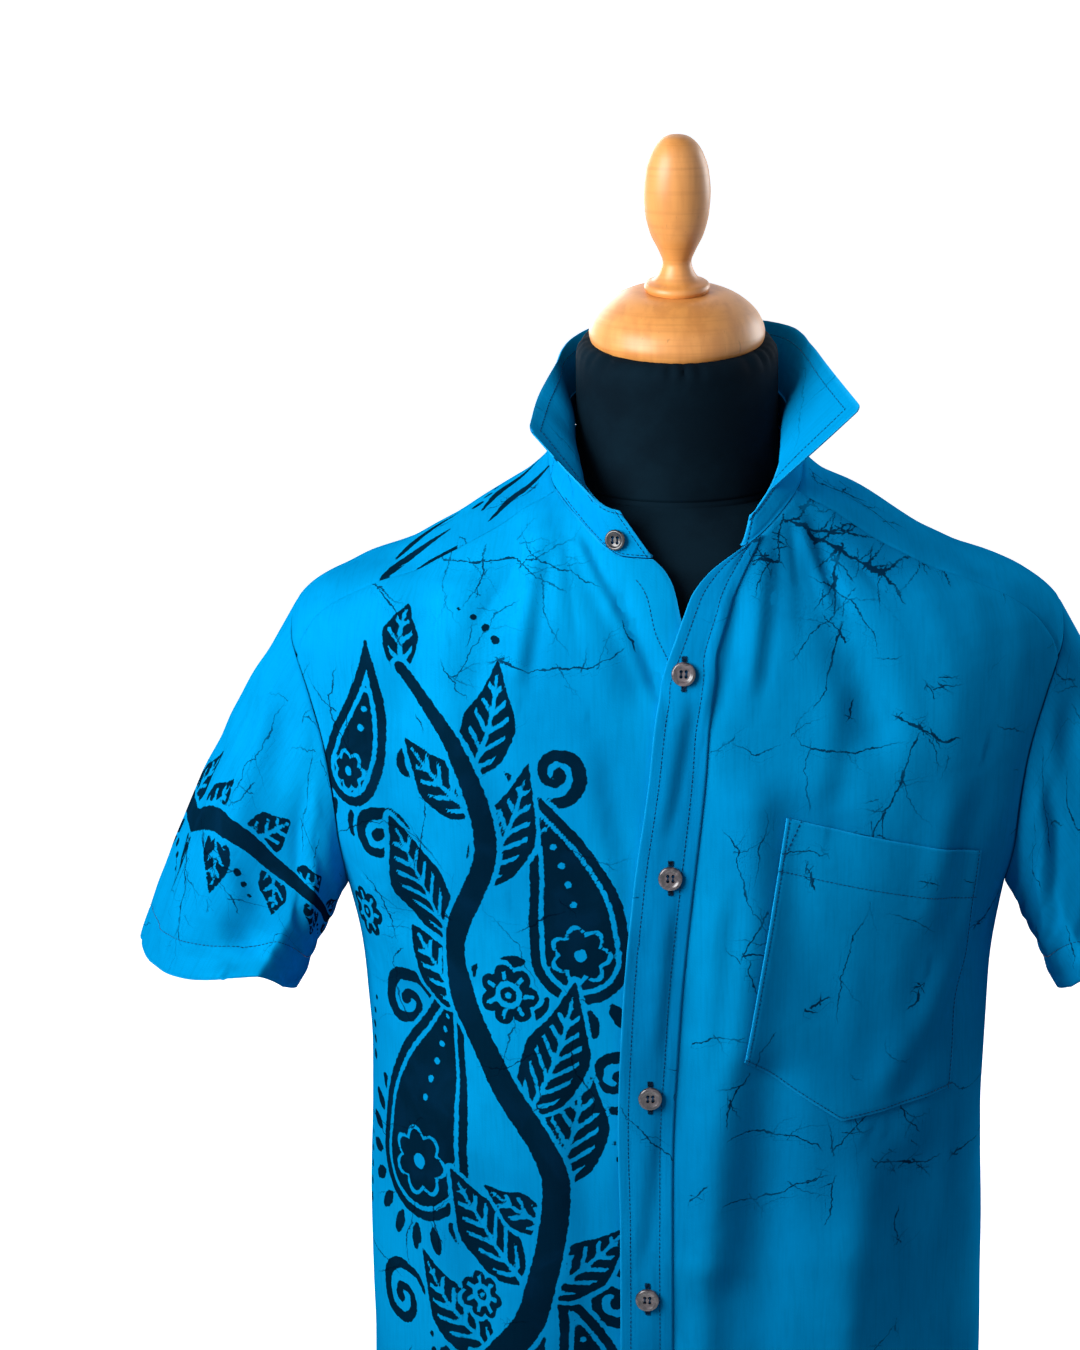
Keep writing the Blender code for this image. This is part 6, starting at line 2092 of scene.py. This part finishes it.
@dataclass
class Sewing:
    """The lines of thread, gathered by kind while the cloth is made."""

    # The thread's dark blue is partly painted shade of the holes that the stitches sink into.
    thread: Thread = Thread("sewing_thread", "#053358")
    dark_thread: Thread = Thread("buttonhole_thread", "#0A1420")
    run: StitchRun = StitchRun()
    satin: SatinThread = SatinThread()
    lines: dict[str, list[Grid]] = field(default_factory=dict)
    satins: list[Grid] = field(default_factory=list)

    def add(self, piece: str, *lines: Grid) -> None:
        """Keep lines for one piece."""
        self.lines.setdefault(piece, []).extend(lines)

    def build(self) -> dict[str, Object]:
        """Make every run of stitches; returns them by the piece that they hold."""
        made = {}
        tree = self.run.tree(self.thread.build())
        settings = {"Pitch": self.run.pitch, "Length": self.run.length, "Radius": self.run.radius}
        for piece, lines in self.lines.items():
            obj = sewn(f"stitches_{piece}", lines, tree, settings)
            made[piece] = dress(obj, obj.data.materials[0], SLOT_COTTON)
        dark = self.satin.tree(self.dark_thread.build())
        obj = sewn("buttonholes", self.satins, dark, {"Radius": self.satin.radius})
        made["buttonholes"] = dress(obj, obj.data.materials[0], SLOT_COTTON)
        return made


@dataclass(frozen=True)
class Panel:
    """What a piece of cloth is besides its shape."""

    name: str                       # the CAD node that it stands for
    finish: str
    shift: Pair                     # of its pattern, so that no two pieces match
    cracks: tuple[Crack, ...]
    strays: int                     # cracks at random besides
    seed: int
    seams: tuple[Edge, ...] = ()
    folded: tuple[Edge, ...] = ()   # edges that round over and carry a painted highlight
    held: str = "hung"
    rests_on: tuple[str, ...] = ("form_torso",)
    tones: CottonTones = CottonTones()
    gap: float = SEAM_GAP / 2.0
    roll: float = SEAM_ROLL
    thickness: float = CLOTH
    by_front: bool = False          # whether its cracks are placed as seen from the front

    def crackle(self, grid: ClothGrid) -> dict[str, Grid]:
        """Marks of the piece's cracks."""
        seen = grid.points[..., ::2] if self.by_front else grid.flat
        drawn = CrackMarks(seen[..., 0], seen[..., 1], self.seed)
        for crack in self.cracks:
            drawn.grow(crack)
        drawn.scatter(self.strays)
        return drawn.marks()


FRONT_RIGHT = Panel(
    "front_right", "right_front", (3.1, 0.4), RIGHT_FRONT_CRACKS, 44, 11,
    (Edge.FIRST_COLUMN, Edge.LAST_ROW), (Edge.LAST_COLUMN, Edge.FIRST_ROW), by_front=True)
FRONT_LEFT = Panel(
    "front_left", "left_front", (1.7, 5.2), LEFT_FRONT_CRACKS, 44, 23,
    (Edge.LAST_COLUMN, Edge.LAST_ROW), (Edge.FIRST_COLUMN, Edge.FIRST_ROW), by_front=True)
BACK = Panel("back", "back", (7.3, 2.2), BACK_CRACKS, 70, 37, STAND_EDGES, (Edge.FIRST_ROW,),
             by_front=True)
YOKE = Panel("yoke", "yoke", (9.2, 6.1), SHOULDER_CRACKS, 22, 41,
             (Edge.FIRST_ROW, Edge.LAST_ROW, *SIDE_EDGES), held="draped", roll=0.0007)
SLEEVE_RIGHT = Panel("sleeve_right", "sleeve_right", (9.6, 8.8), SLEEVE_CRACKS, 30, 52,
                     (Edge.FIRST_ROW,), (Edge.LAST_ROW,), rests_on=("yoke", "back"), gap=0.00062)
SLEEVE_LEFT = replace(SLEEVE_RIGHT, name="sleeve_left", finish="sleeve_left", shift=(14.4, 8.8),
                      seed=54)
# The placket's darker blues are painted shade.
PLACKET = Panel("placket", "placket", (4.4, 9.9), LEFT_FRONT_CRACKS, 9, 61, (), SIDE_EDGES, "laid",
                ("front_left",), PLACKET_SHADED_TONES, by_front=True)
POCKET = Panel("pocket", "pocket", (6.6, 3.3), POCKET_CRACKS, 7, 67, (), tuple(Edge), "laid",
               ("front_left",), by_front=True)
# The collar band and leaf take the lighter blues of painted light.
COLLAR_BAND = Panel("collar_band", "band", (8.1, 1.1), BAND_CRACKS, 12, 71, (Edge.FIRST_ROW,),
                    STAND_EDGES, "folded", ("yoke",), COLLAR_LIT_TONES, 0.0005, 0.0008, COLLAR_CLOTH)
COLLAR = Panel("collar", "collar", (0.6, 7.7), COLLAR_CRACKS, 12, 73, (), STAND_EDGES, "folded",
               ("collar_band",), COLLAR_LIT_TONES, thickness=COLLAR_CLOTH - LEAF_THIN)
RIGHT_CELLS = Cells(lower=268, upper=106, neck=46, across=180)
LEFT_CELLS = Cells(lower=188, upper=88, neck=48, across=108)
BACK_CELLS = Cells(lower=144, upper=60, neck=0, across=168)


@dataclass
class Shirt:
    """The cut-and-sewn pieces of the shirt."""

    sewing: Sewing
    placket: ClothGrid | None = None
    band: ClothGrid | None = None
    held: list[tuple[Object, ClothGrid, Panel]] = field(default_factory=list)
    inner_step: int = 4

    def _sewn(self, panel: Panel, grid: ClothGrid, edge: Edge, inset: float,
              ends: Pair = SEWN_ENDS, depth: float = STITCH_DIP,
              spread: float = STITCH_SPREAD) -> ClothGrid:
        """Sew one line of stitches.

        Args:
            panel: The piece that it holds.
            grid: The piece's outer side.
            edge: The edge that the line follows.
            inset: How far it runs inside that edge.
            ends: Shares of the edge at which it begins and ends.
            depth: How far it draws the cloth in.
            spread: Half width of that dip.

        Returns:
            The same grid, drawn in along the line.
        """
        drawn = grid.groove(edge, inset, depth, spread)
        self.sewing.add(panel.name, drawn.inset_line(edge, inset, *ends))
        return drawn

    def _cloth(self, panel: Panel, grid: ClothGrid, motifs: Sequence[Motif] = ()) -> None:
        """Make one piece of cloth and keep it with its grid and panel.

        Args:
            panel: What it is besides its shape.
            grid: Its outer side, right up to its seams.
            motifs: The navy motifs on it.
        """
        core = grid.seamed(panel.seams, panel.gap, panel.roll)
        shape = core.rolled(panel.folded) if panel.folded else core
        # The rim mark places the painted highlight along the folded edges.
        marks = {"motif": dye_field(motifs, grid.flat) if motifs else NO_MOTIF,
                 "rim": core.rim(panel.folded) if panel.folded else 0.0, **panel.crackle(grid)}
        obj = cloth_wall(f"cloth_{panel.name}", shape, core, panel.thickness, marks, self.inner_step)
        finish = BatikCotton(f"batik_cotton_{panel.finish}", panel.shift, panel.tones)
        dress(obj, finish.build(), SLOT_COTTON, panel.name)
        self.held.append((obj, core, panel))

    def fronts(self) -> None:
        """The right front with its branch, and the plain left one with its cracks."""
        right = front_panel(Side.RIGHT, RIGHT_CELLS)
        neck = (RIGHT_CELLS.lower + RIGHT_CELLS.upper) / (right.points.shape[0] - 1.0)
        facing = right.inset_line(Edge.LAST_COLUMN, FACING_INSET, 0.5, neck - 0.004)
        self.sewing.add(FRONT_RIGHT.name, facing)
        right = self._sewn(FRONT_RIGHT, right, Edge.FIRST_ROW, HEM_INSET)
        self._cloth(FRONT_RIGHT, right, front_motifs())
        left = front_panel(Side.LEFT, LEFT_CELLS)
        self._cloth(FRONT_LEFT, self._sewn(FRONT_LEFT, left, Edge.FIRST_ROW, HEM_INSET))

    def back_and_yoke(self) -> None:
        """The back and the yoke over both shoulders."""
        self._cloth(BACK, self._sewn(BACK, back_panel(BACK_CELLS), Edge.FIRST_ROW, HEM_INSET))
        yoke = yoke_panel(arm_cells=44, back_cells=64, across=72)
        end = YOKE_ENDS / (yoke.points.shape[0] - 1.0)
        self.sewing.add(YOKE.name, yoke.inset_line(Edge.LAST_COLUMN, YOKE_INSET, end, 1.0 - end))
        self._cloth(YOKE, yoke, shoulder_motifs())

    def sleeves(self) -> None:
        """Both short sleeves; the right one carries a garland."""
        right = sleeve_tube(Side.RIGHT, rows=116, around=208)
        right = self._sewn(SLEEVE_RIGHT, right, Edge.LAST_ROW, HEM_INSET)
        self._cloth(SLEEVE_RIGHT, right, sleeve_motifs())
        left = sleeve_tube(Side.LEFT, rows=84, around=144)
        self._cloth(SLEEVE_LEFT, self._sewn(SLEEVE_LEFT, left, Edge.LAST_ROW, HEM_INSET))

    def placket_and_pocket(self) -> None:
        """The placket on the left front and the pointed chest pocket."""
        strip = placket_strip(rows=272, fan_rows=24, across=20)
        for edge, inset, depth in PLACKET_SEAMS:
            strip = self._sewn(PLACKET, strip, edge, inset, SEWN_ENDS, depth, PLACKET_SPREAD)
        self.placket = strip
        self._cloth(PLACKET, strip)
        patch = pocket_patch(cells=76)
        for edge in (*SIDE_EDGES, Edge.FIRST_ROW):
            patch = self._sewn(POCKET, patch, edge, POCKET_INSET)
        patch = self._sewn(POCKET, patch, Edge.LAST_ROW, POCKET_HEM_INSET)
        inner = patch.inset_line(Edge.FIRST_COLUMN, POCKET_BAR_INSET)
        outer = patch.inset_line(Edge.FIRST_COLUMN, POCKET_INSET)
        low = int(POCKET_BAR_START * (len(outer) - 1))
        self.sewing.add(POCKET.name, np.linspace(outer[low], inner[-1], 14))
        self._cloth(POCKET, patch)

    def collar_and_band(self) -> None:
        """The fused collar leaf and the band that it stands on."""
        band = band_strip(rows=20, count=256)
        for edge, inset, ends in BAND_SEAMS:
            band = self._sewn(COLLAR_BAND, band, edge, inset, ends)
        self.band = band
        self._cloth(COLLAR_BAND, band)
        leaf = collar_leaf(rows=40, count=288)
        for edge in SIDE_EDGES:
            leaf = leaf.rounded(Edge.LAST_ROW, edge, COLLAR_POINT_RADIUS)
        for lift in (LINE_LIFT, -COLLAR_CLOTH + LEAF_THIN - LINE_LIFT):
            self.sewing.add(COLLAR.name, self._collar_line(leaf, lift))
        self._cloth(COLLAR, leaf)

    def _collar_line(self, leaf: ClothGrid, lift: float) -> Grid:
        """One topstitch up a point, round the collar's edge and down the other point."""
        first, last, top = (leaf.inset_line(edge, COLLAR_INSET, *SEWN_ENDS, lift)
                            for edge in STAND_EDGES)
        half = len(top) // 2
        near_first = np.linalg.norm(top[:half, None] - first[None], axis=-1)
        near_last = np.linalg.norm(top[half:, None] - last[None], axis=-1)
        at_first = np.unravel_index(int(near_first.argmin()), near_first.shape)
        at_last = np.unravel_index(int(near_last.argmin()), near_last.shape)
        return np.concatenate([first[:at_first[1]], top[at_first[0]:half + at_last[0] + 1],
                               last[:at_last[1]][::-1]])


def upright(normal: Grid) -> tuple[Grid, Grid]:
    """Unit vectors to the side and upwards over the cloth, square to its normal."""
    up = unit(np.array([0.0, 0.0, 1.0]) - normal * normal[2])
    return np.cross(up, normal), up


@dataclass
class Buttons:
    """Four-hole shell buttons, their thread and the buttonholes under them."""

    shirt: Shirt
    finish: ShellButtonFinish = ShellButtonFinish("dyed_shell", "#5C5154", "#1D191F")
    band_finish: ShellButtonFinish = ShellButtonFinish("dark_shell", "#17141A", "#060508")
    stand: float = 0.0006           # between the cloth and a button
    hole_radius: float = 0.001
    hole_reach: float = 0.0021      # of a hole's middle from the button's
    strand: float = 0.00022         # half the way between two strands through the same holes
    thread_level: float = 0.72      # share of a button's thickness where its thread lies
    thread_sink: float = 0.0012     # of the thread's ends into the holes
    slit_half: float = 0.0098       # of a buttonhole
    slit_away: float = 0.0009       # of its satin columns from the slit
    column: Pair = (0.00075, 0.0003)        # reach and pitch of a column's crossings
    bar: Pair = (0.0005, 0.00024)           # and of an end bar's
    bar_half: float = 0.0013
    bar_insets: tuple[float, ...] = (0.0, 0.0007, 0.0014, 0.0021)
    satin_lift: float = 0.00034
    band_place: float = 0.036       # share of the band between its end and its button
    band_level: Pair = (0.67, 0.33)     # shares of its foot and its top in that button's height
    segments: int = 48
    profile: tuple[Pair, ...] = (
        (0.3, 0.06), (0.62, 0.0), (0.86, 0.04), (0.97, 0.22), (1.0, 0.45), (0.985, 0.68),
        (0.93, 0.88), (0.86, 0.97), (0.78, 0.98), (0.7, 0.88), (0.62, 0.72), (0.5, 0.64),
        (0.28, 0.62),
    )

    def _disc(self, name: str, radius: float) -> Object:
        """A dished disc with a raised rim and four holes, about the origin."""
        points = [(reach * radius * x, reach * radius * y, level * BUTTON_THICKNESS)
                  for reach, level in self.profile for x, y in circle(self.segments)]
        obj = link(name, ring_mesh(name, points, self.segments))
        drills = bpy.data.meshes.new("drills")
        work = bmesh.new()
        for turn in range(4):
            spin = math.radians(45.0 + 90.0 * turn)
            move = Matrix.Translation((self.hole_reach * math.cos(spin),
                                       self.hole_reach * math.sin(spin), BUTTON_THICKNESS * 0.5))
            bmesh.ops.create_cone(work, cap_ends=True, segments=14, radius1=self.hole_radius,
                                  radius2=self.hole_radius, depth=BUTTON_THICKNESS * 3.0, matrix=move)
        work.to_mesh(drills)
        work.free()
        cutter = link("drills", drills)
        cut = obj.modifiers.new("holes", "BOOLEAN")
        cut.object = cutter
        cut.operation = "DIFFERENCE"
        cut.solver = "EXACT"
        applied(obj)
        bpy.data.objects.remove(cutter)
        smoothed(obj.data, 40.0)
        return obj

    def _seat(self, obj: Object, spot: Grid, normal: Grid) -> Matrix:
        """Put a button at its place, square to the cloth and with its holes upright."""
        side, up = upright(normal)
        turn = Matrix((side.tolist(), up.tolist(), normal.tolist())).transposed().to_4x4()
        place = Matrix.Translation(Vector(spot) + Vector((0.0, 0.0, NECK_SEAM))) @ turn
        obj.data.transform(place)
        return place

    def _thread(self, place: Matrix) -> list[Grid]:
        """Two bars of thread between the holes."""
        bars = []
        reach = self.hole_reach * math.cos(math.radians(45.0))
        level = BUTTON_THICKNESS * self.thread_level
        for side in (-1.0, 1.0):
            for shift in (-self.strand, self.strand):
                x = side * reach + shift
                local = [(x, -reach, level - self.thread_sink), (x, -reach * 0.8, level),
                         (x, reach * 0.8, level), (x, reach, level - self.thread_sink)]
                points = np.array([place @ Vector(point) for point in local])
                bars.append(points - np.array([0.0, 0.0, NECK_SEAM]))
        return bars

    def _buttonhole(self, spot: Grid, normal: Grid) -> list[Grid]:
        """Satin columns and end bars of a buttonhole that runs up the placket."""
        side, up = upright(normal)
        lift = normal * self.satin_lift
        reach = up * self.slit_half
        lines = []
        for away in (-self.slit_away, self.slit_away):
            middle = spot + side * away + lift
            lines.append(zigzag(middle - reach, middle + reach, side, *self.column))
        across = side * self.bar_half
        for end in (-1.0, 1.0):
            for inward in self.bar_insets:
                middle = spot + up * (self.slit_half - inward) * end + lift * 1.6
                lines.append(zigzag(middle - across, middle + across, up, *self.bar))
        return lines

    def _sew_on(self, node: str, radius: float, shell: Material, spot: Grid, normal: Grid) -> None:
        """One button with its thread, over a spot on the cloth."""
        obj = self._disc(f"shell_{node}", radius)
        place = self._seat(obj, spot + normal * self.stand, normal)
        dress(obj, shell, SLOT_BUTTONS, node)
        self.shirt.sewing.satins += self._thread(place)

    def build(self) -> None:
        """Every button, and the holes under the front ones."""
        strip, band = self.shirt.placket, self.shirt.band
        assert strip is not None and band is not None
        shell = self.finish.build()
        dark = self.band_finish.build()
        for name, x, height in FRONT_BUTTONS:
            away = np.hypot(strip.points[..., 0] - x, strip.points[..., 2] - height)
            row, place = np.unravel_index(int(np.argmin(away)), away.shape)
            spot = strip.points[row, place]
            normal = unit(strip.facing[max(row - 3, 0):row + 4, max(place - 3, 0):place + 4].mean((0, 1)))
            spot = spot + np.array([x - spot[0], 0.0, height - spot[2]])
            self._sew_on(name, BUTTON_RADIUS, shell, spot, normal)
            self.shirt.sewing.satins += self._buttonhole(spot, normal)
        place = round((1.0 - self.band_place) * (band.points.shape[1] - 1))
        normal = unit(band.facing[:, place - 2:place + 3].mean((0, 1)))
        foot, top = self.band_level
        spot = band.points[0, place] * foot + band.points[-1, place] * top
        self._sew_on("button_band", BAND_BUTTON_RADIUS, dark, spot, normal)


@dataclass
class DressForm:
    """The limbless form: a smooth torso in black jersey with a round neck."""

    cover: FormCover = FormCover("black_jersey")
    segments: int = 176
    rows: int = 80
    gathers: int = 30
    neck_spread: float = 0.0014     # how much wider the neck's foot is than the rest
    gathered: float = 0.016         # height over which the cover is gathered
    gather_depth: float = 0.003
    fine_from: float = -0.06        # level above which its rows lie closer
    seam: Triple = (0.0011, 0.0042, 0.001)  # depth, level and half height of the neck's seam
    neck_rows: tuple[Triple, ...] = (
        (-0.014, 0.0608, 0.55), (-0.01, 0.0608, 0.7), (-0.007, 0.0603, 0.8),
        (-0.0048, 0.0597, 0.9), (-0.003, 0.0585, 0.95), (-0.0016, 0.0573, 0.98),
        (-0.0008, 0.056, 1.0), (-0.0001, 0.053, 1.0), (0.0, 0.05, 1.0),
    )

    def _neck(self) -> list[Triple]:
        """Heights, radii and shares of the lean from the neck's foot to its top."""
        tall = NECK_TOP_HEIGHT - self.gathered
        fine = np.linspace(0.0008, 0.0092, 13)
        shares = np.concatenate([fine / tall, np.linspace(0.13, 1.0, 26)[:-1]])
        foot = FORM_RINGS[-1].half_width
        rise = [(share * tall, foot - self.neck_spread * min(1.0, share * 3.0), 0.55 * share)
                for share in shares]
        return rise + [(NECK_TOP_HEIGHT + level, radius, lean)
                       for level, radius, lean in self.neck_rows]

    def build(self) -> None:
        """The form's mesh: body rings, the neck's rise and its gathered top."""
        spins = np.arange(self.segments) * 2.0 * math.pi / self.segments
        levels = np.concatenate([np.linspace(FORM_RINGS[0].height, self.fine_from, self.rows),
                                 np.linspace(self.fine_from, -0.0015, 36)[1:], [0.0]])
        rings = [ring_point(FORM_RINGS, spins, np.full(self.segments, level)) for level in levels]
        side, front = np.sin(spins), -np.cos(spins)
        for level, radius, lean_share in self._neck():
            lean = math.tan(NECK_LEAN) * lean_share
            closeness = smooth_step(NECK_TOP_HEIGHT - self.gathered, NECK_TOP_HEIGHT - 0.001, level)
            pleat = np.abs(np.cos(spins * self.gathers * 0.5 + 1.3 * np.sin(spins * 5.0))) ** 0.7 - 1.0
            pull = self.gather_depth * closeness * pleat * (0.6 + 0.4 * np.sin(spins * 7.0 + 1.0))
            depth, middle, half_height = self.seam
            seam = -depth * math.exp(-((level - middle) / half_height) ** 2)
            reach = radius + pull + seam
            rings.append(np.stack([reach * side, reach * front, level + radius * front * lean], -1))
        points = np.concatenate(rings) + np.array([0.0, 0.0, NECK_SEAM])
        mesh = smoothed(ring_mesh("form_body", points.tolist(), self.segments), 55.0)
        dress(link("form_body", mesh), self.cover.build(), SLOT_FORM, "form_torso")


@dataclass
class TurnedWood:
    """The turned beech pieces: cap, finial, column and foot."""

    finish: LacqueredBeech = LacqueredBeech("lacquered_beech")
    segments: int = 80

    def _lathe(self, name: str, profile: Sequence[TurnedRow], base: float, stretch: float,
               lean: float, steps: int) -> Object:
        """One turned piece about the form's axis.

        Args:
            name: The piece's name.
            profile: Rows of height and radius.
            base: Height of the profile's foot.
            stretch: Factor on its heights.
            lean: Forward lean about the neck's top.
            steps: Rows for each span of the profile.

        Returns:
            The new object.
        """
        heights = column(profile, "height")
        radii = column(profile, "radius")
        lengths = np.concatenate([[0.0], np.cumsum(np.hypot(np.diff(heights), np.diff(radii)))])
        places = np.unique(np.concatenate([np.linspace(low, high, steps + 1)
                                           for low, high in zip(lengths, lengths[1:])]))
        level = smooth_curve(lengths, heights, places) * stretch + base
        radius = smooth_curve(lengths, radii, places)
        pivot = NECK_TOP_HEIGHT if lean else 0.0
        lift = Vector((0.0, 0.0, pivot + NECK_SEAM))
        tilt = Matrix.Rotation(lean, 3, "X")
        points = [tuple(tilt @ Vector((reach * x, reach * y, height - pivot)) + lift)
                  for height, reach in zip(level, radius) for x, y in circle(self.segments)]
        return link(name, smoothed(ring_mesh(name, points, self.segments), 38.0))

    def build(self) -> None:
        """All four pieces."""
        material = self.finish.build()
        cap = NECK_TOP_HEIGHT + SEAM_GAP
        finial = cap + CAP_PROFILE[-1].height + SEAM_GAP
        floor = -NECK_SEAM
        foot = floor + FOOT_THICKNESS + SEAM_GAP
        stretch = (FORM_RINGS[0].height - SEAM_GAP - foot) / COLUMN_PROFILE[-1].height
        for name, node, profile, base, longer, lean, steps in (
                ("beech_cap", "neck_cap", CAP_PROFILE, cap, 1.0, NECK_LEAN, 5),
                ("beech_finial", "finial", FINIAL_PROFILE, finial, 1.0, NECK_LEAN, 4),
                ("beech_foot", "stand_foot", FOOT_PROFILE, floor, 1.0, 0.0, 4),
                ("beech_column", "stand_column", COLUMN_PROFILE, foot, stretch, 0.0, 6)):
            dress(self._lathe(name, profile, base, longer, lean, steps), material, SLOT_BEECH, node)


@dataclass
class Studio:
    """Camera, pale floor and soft light."""

    target: Triple = (0.0, 0.0, NECK_SEAM)
    distance: float = 1.65
    elevation: float = math.radians(12.0)
    picture: tuple[int, int] = (1080, 1350)
    focal_pixels: float = 2722.0
    centre_pixel: Pair = (677.0, 488.0)
    floor: PaleFloor = PaleFloor("pale_floor")
    floor_radius: float = 80.0
    backdrop: PaleFloor = PaleFloor("pale_backdrop", glow=0.95)
    segments: int = 96
    sweep: tuple[Pair, ...] = ((30.0, 0.0), (34.0, 0.8), (37.0, 3.0), (39.0, 8.0), (40.0, 16.0),
                               (40.2, 50.0))
    panels: tuple[tuple[str, Triple, float, float], ...] = (
        ("key", (-0.85, -0.71, 1.3), 0.75, 22.3), ("back_left", (1.35, 1.0, 1.25), 0.9, 15.0),
        ("back_right", (-0.7, 1.45, 1.3), 0.9, 15.0),
    )
    sky: Triple = (0.74, 0.82, 1.0)
    sky_strength: float = 0.23

    def camera(self) -> None:
        """The camera, square to the shirt's front and a little above it."""
        data = bpy.data.cameras.new("camera")
        wide, tall = self.picture
        data.sensor_fit = "VERTICAL"
        data.sensor_height = 36.0
        data.lens = self.focal_pixels / tall * data.sensor_height
        data.shift_x = -(self.centre_pixel[0] - wide / 2.0) / tall
        data.shift_y = (self.centre_pixel[1] - tall / 2.0) / tall
        data.clip_start = 0.05
        ahead = Vector((0.0, math.cos(self.elevation), -math.sin(self.elevation)))
        obj = link("camera", data)
        obj.location = Vector(self.target) - ahead * self.distance
        obj.rotation_euler = ahead.to_track_quat("-Z", "Y").to_euler()
        bpy.context.scene.camera = obj

    def _panel(self, name: str, place: Triple, size: float, power: float) -> None:
        """A square soft light that faces the shirt."""
        data = bpy.data.lights.new(name, "AREA")
        data.size = size
        data.energy = power
        obj = link(name, data)
        obj.visible_camera = False
        obj.location = place
        obj.rotation_euler = (Vector(self.target) - Vector(place)).to_track_quat("-Z", "Y").to_euler()

    def _surround(self, name: str, rings: Sequence[Pair], finish: PaleFloor) -> Object:
        """A pale surface round the object that the cloth does not pick up.

        Args:
            name: Its name.
            rings: Radius and level of each ring; a single one makes a disc.
            finish: Its finish.

        Returns:
            The new object.
        """
        count = self.segments
        points = [(radius * x, radius * y, level) for radius, level in rings
                  for x, y in circle(count)]
        faces = [[low + (step + 1) % count, low + step, low + count + step,
                  low + count + (step + 1) % count]
                 for low in range(0, len(points) - count, count) for step in range(count)]
        mesh = bpy.data.meshes.new(name)
        mesh.from_pydata(points, [], faces or [list(range(count))])
        mesh.shade_smooth()
        mesh.materials.append(finish.build())
        obj = link(name, mesh)
        obj.visible_diffuse = False
        return obj

    def build(self) -> None:
        """Everything round the object."""
        self.camera()
        self._surround("floor", ((self.floor_radius, 0.0),), self.floor)
        self._surround("backdrop", self.sweep, self.backdrop).visible_shadow = False
        for panel in self.panels:
            self._panel(*panel)
        world = bpy.data.worlds.new("studio")
        world.use_nodes = True
        back = world.node_tree.nodes["Background"]
        back.inputs["Color"].default_value = (*self.sky, 1.0)
        back.inputs["Strength"].default_value = self.sky_strength
        bpy.context.scene.world = world
        bpy.context.scene.view_settings.view_transform = "Standard"


def main() -> None:
    """Build and dress every piece."""
    logging.basicConfig(level=logging.INFO, format="%(message)s")
    Studio().build()
    DressForm().build()
    TurnedWood().build()
    sewing = Sewing()
    shirt = Shirt(sewing)
    shirt.fronts()
    shirt.back_and_yoke()
    shirt.sleeves()
    shirt.placket_and_pocket()
    shirt.collar_and_band()
    Buttons(shirt).build()
    sewing.build()


if __name__ == "__main__":
    main()
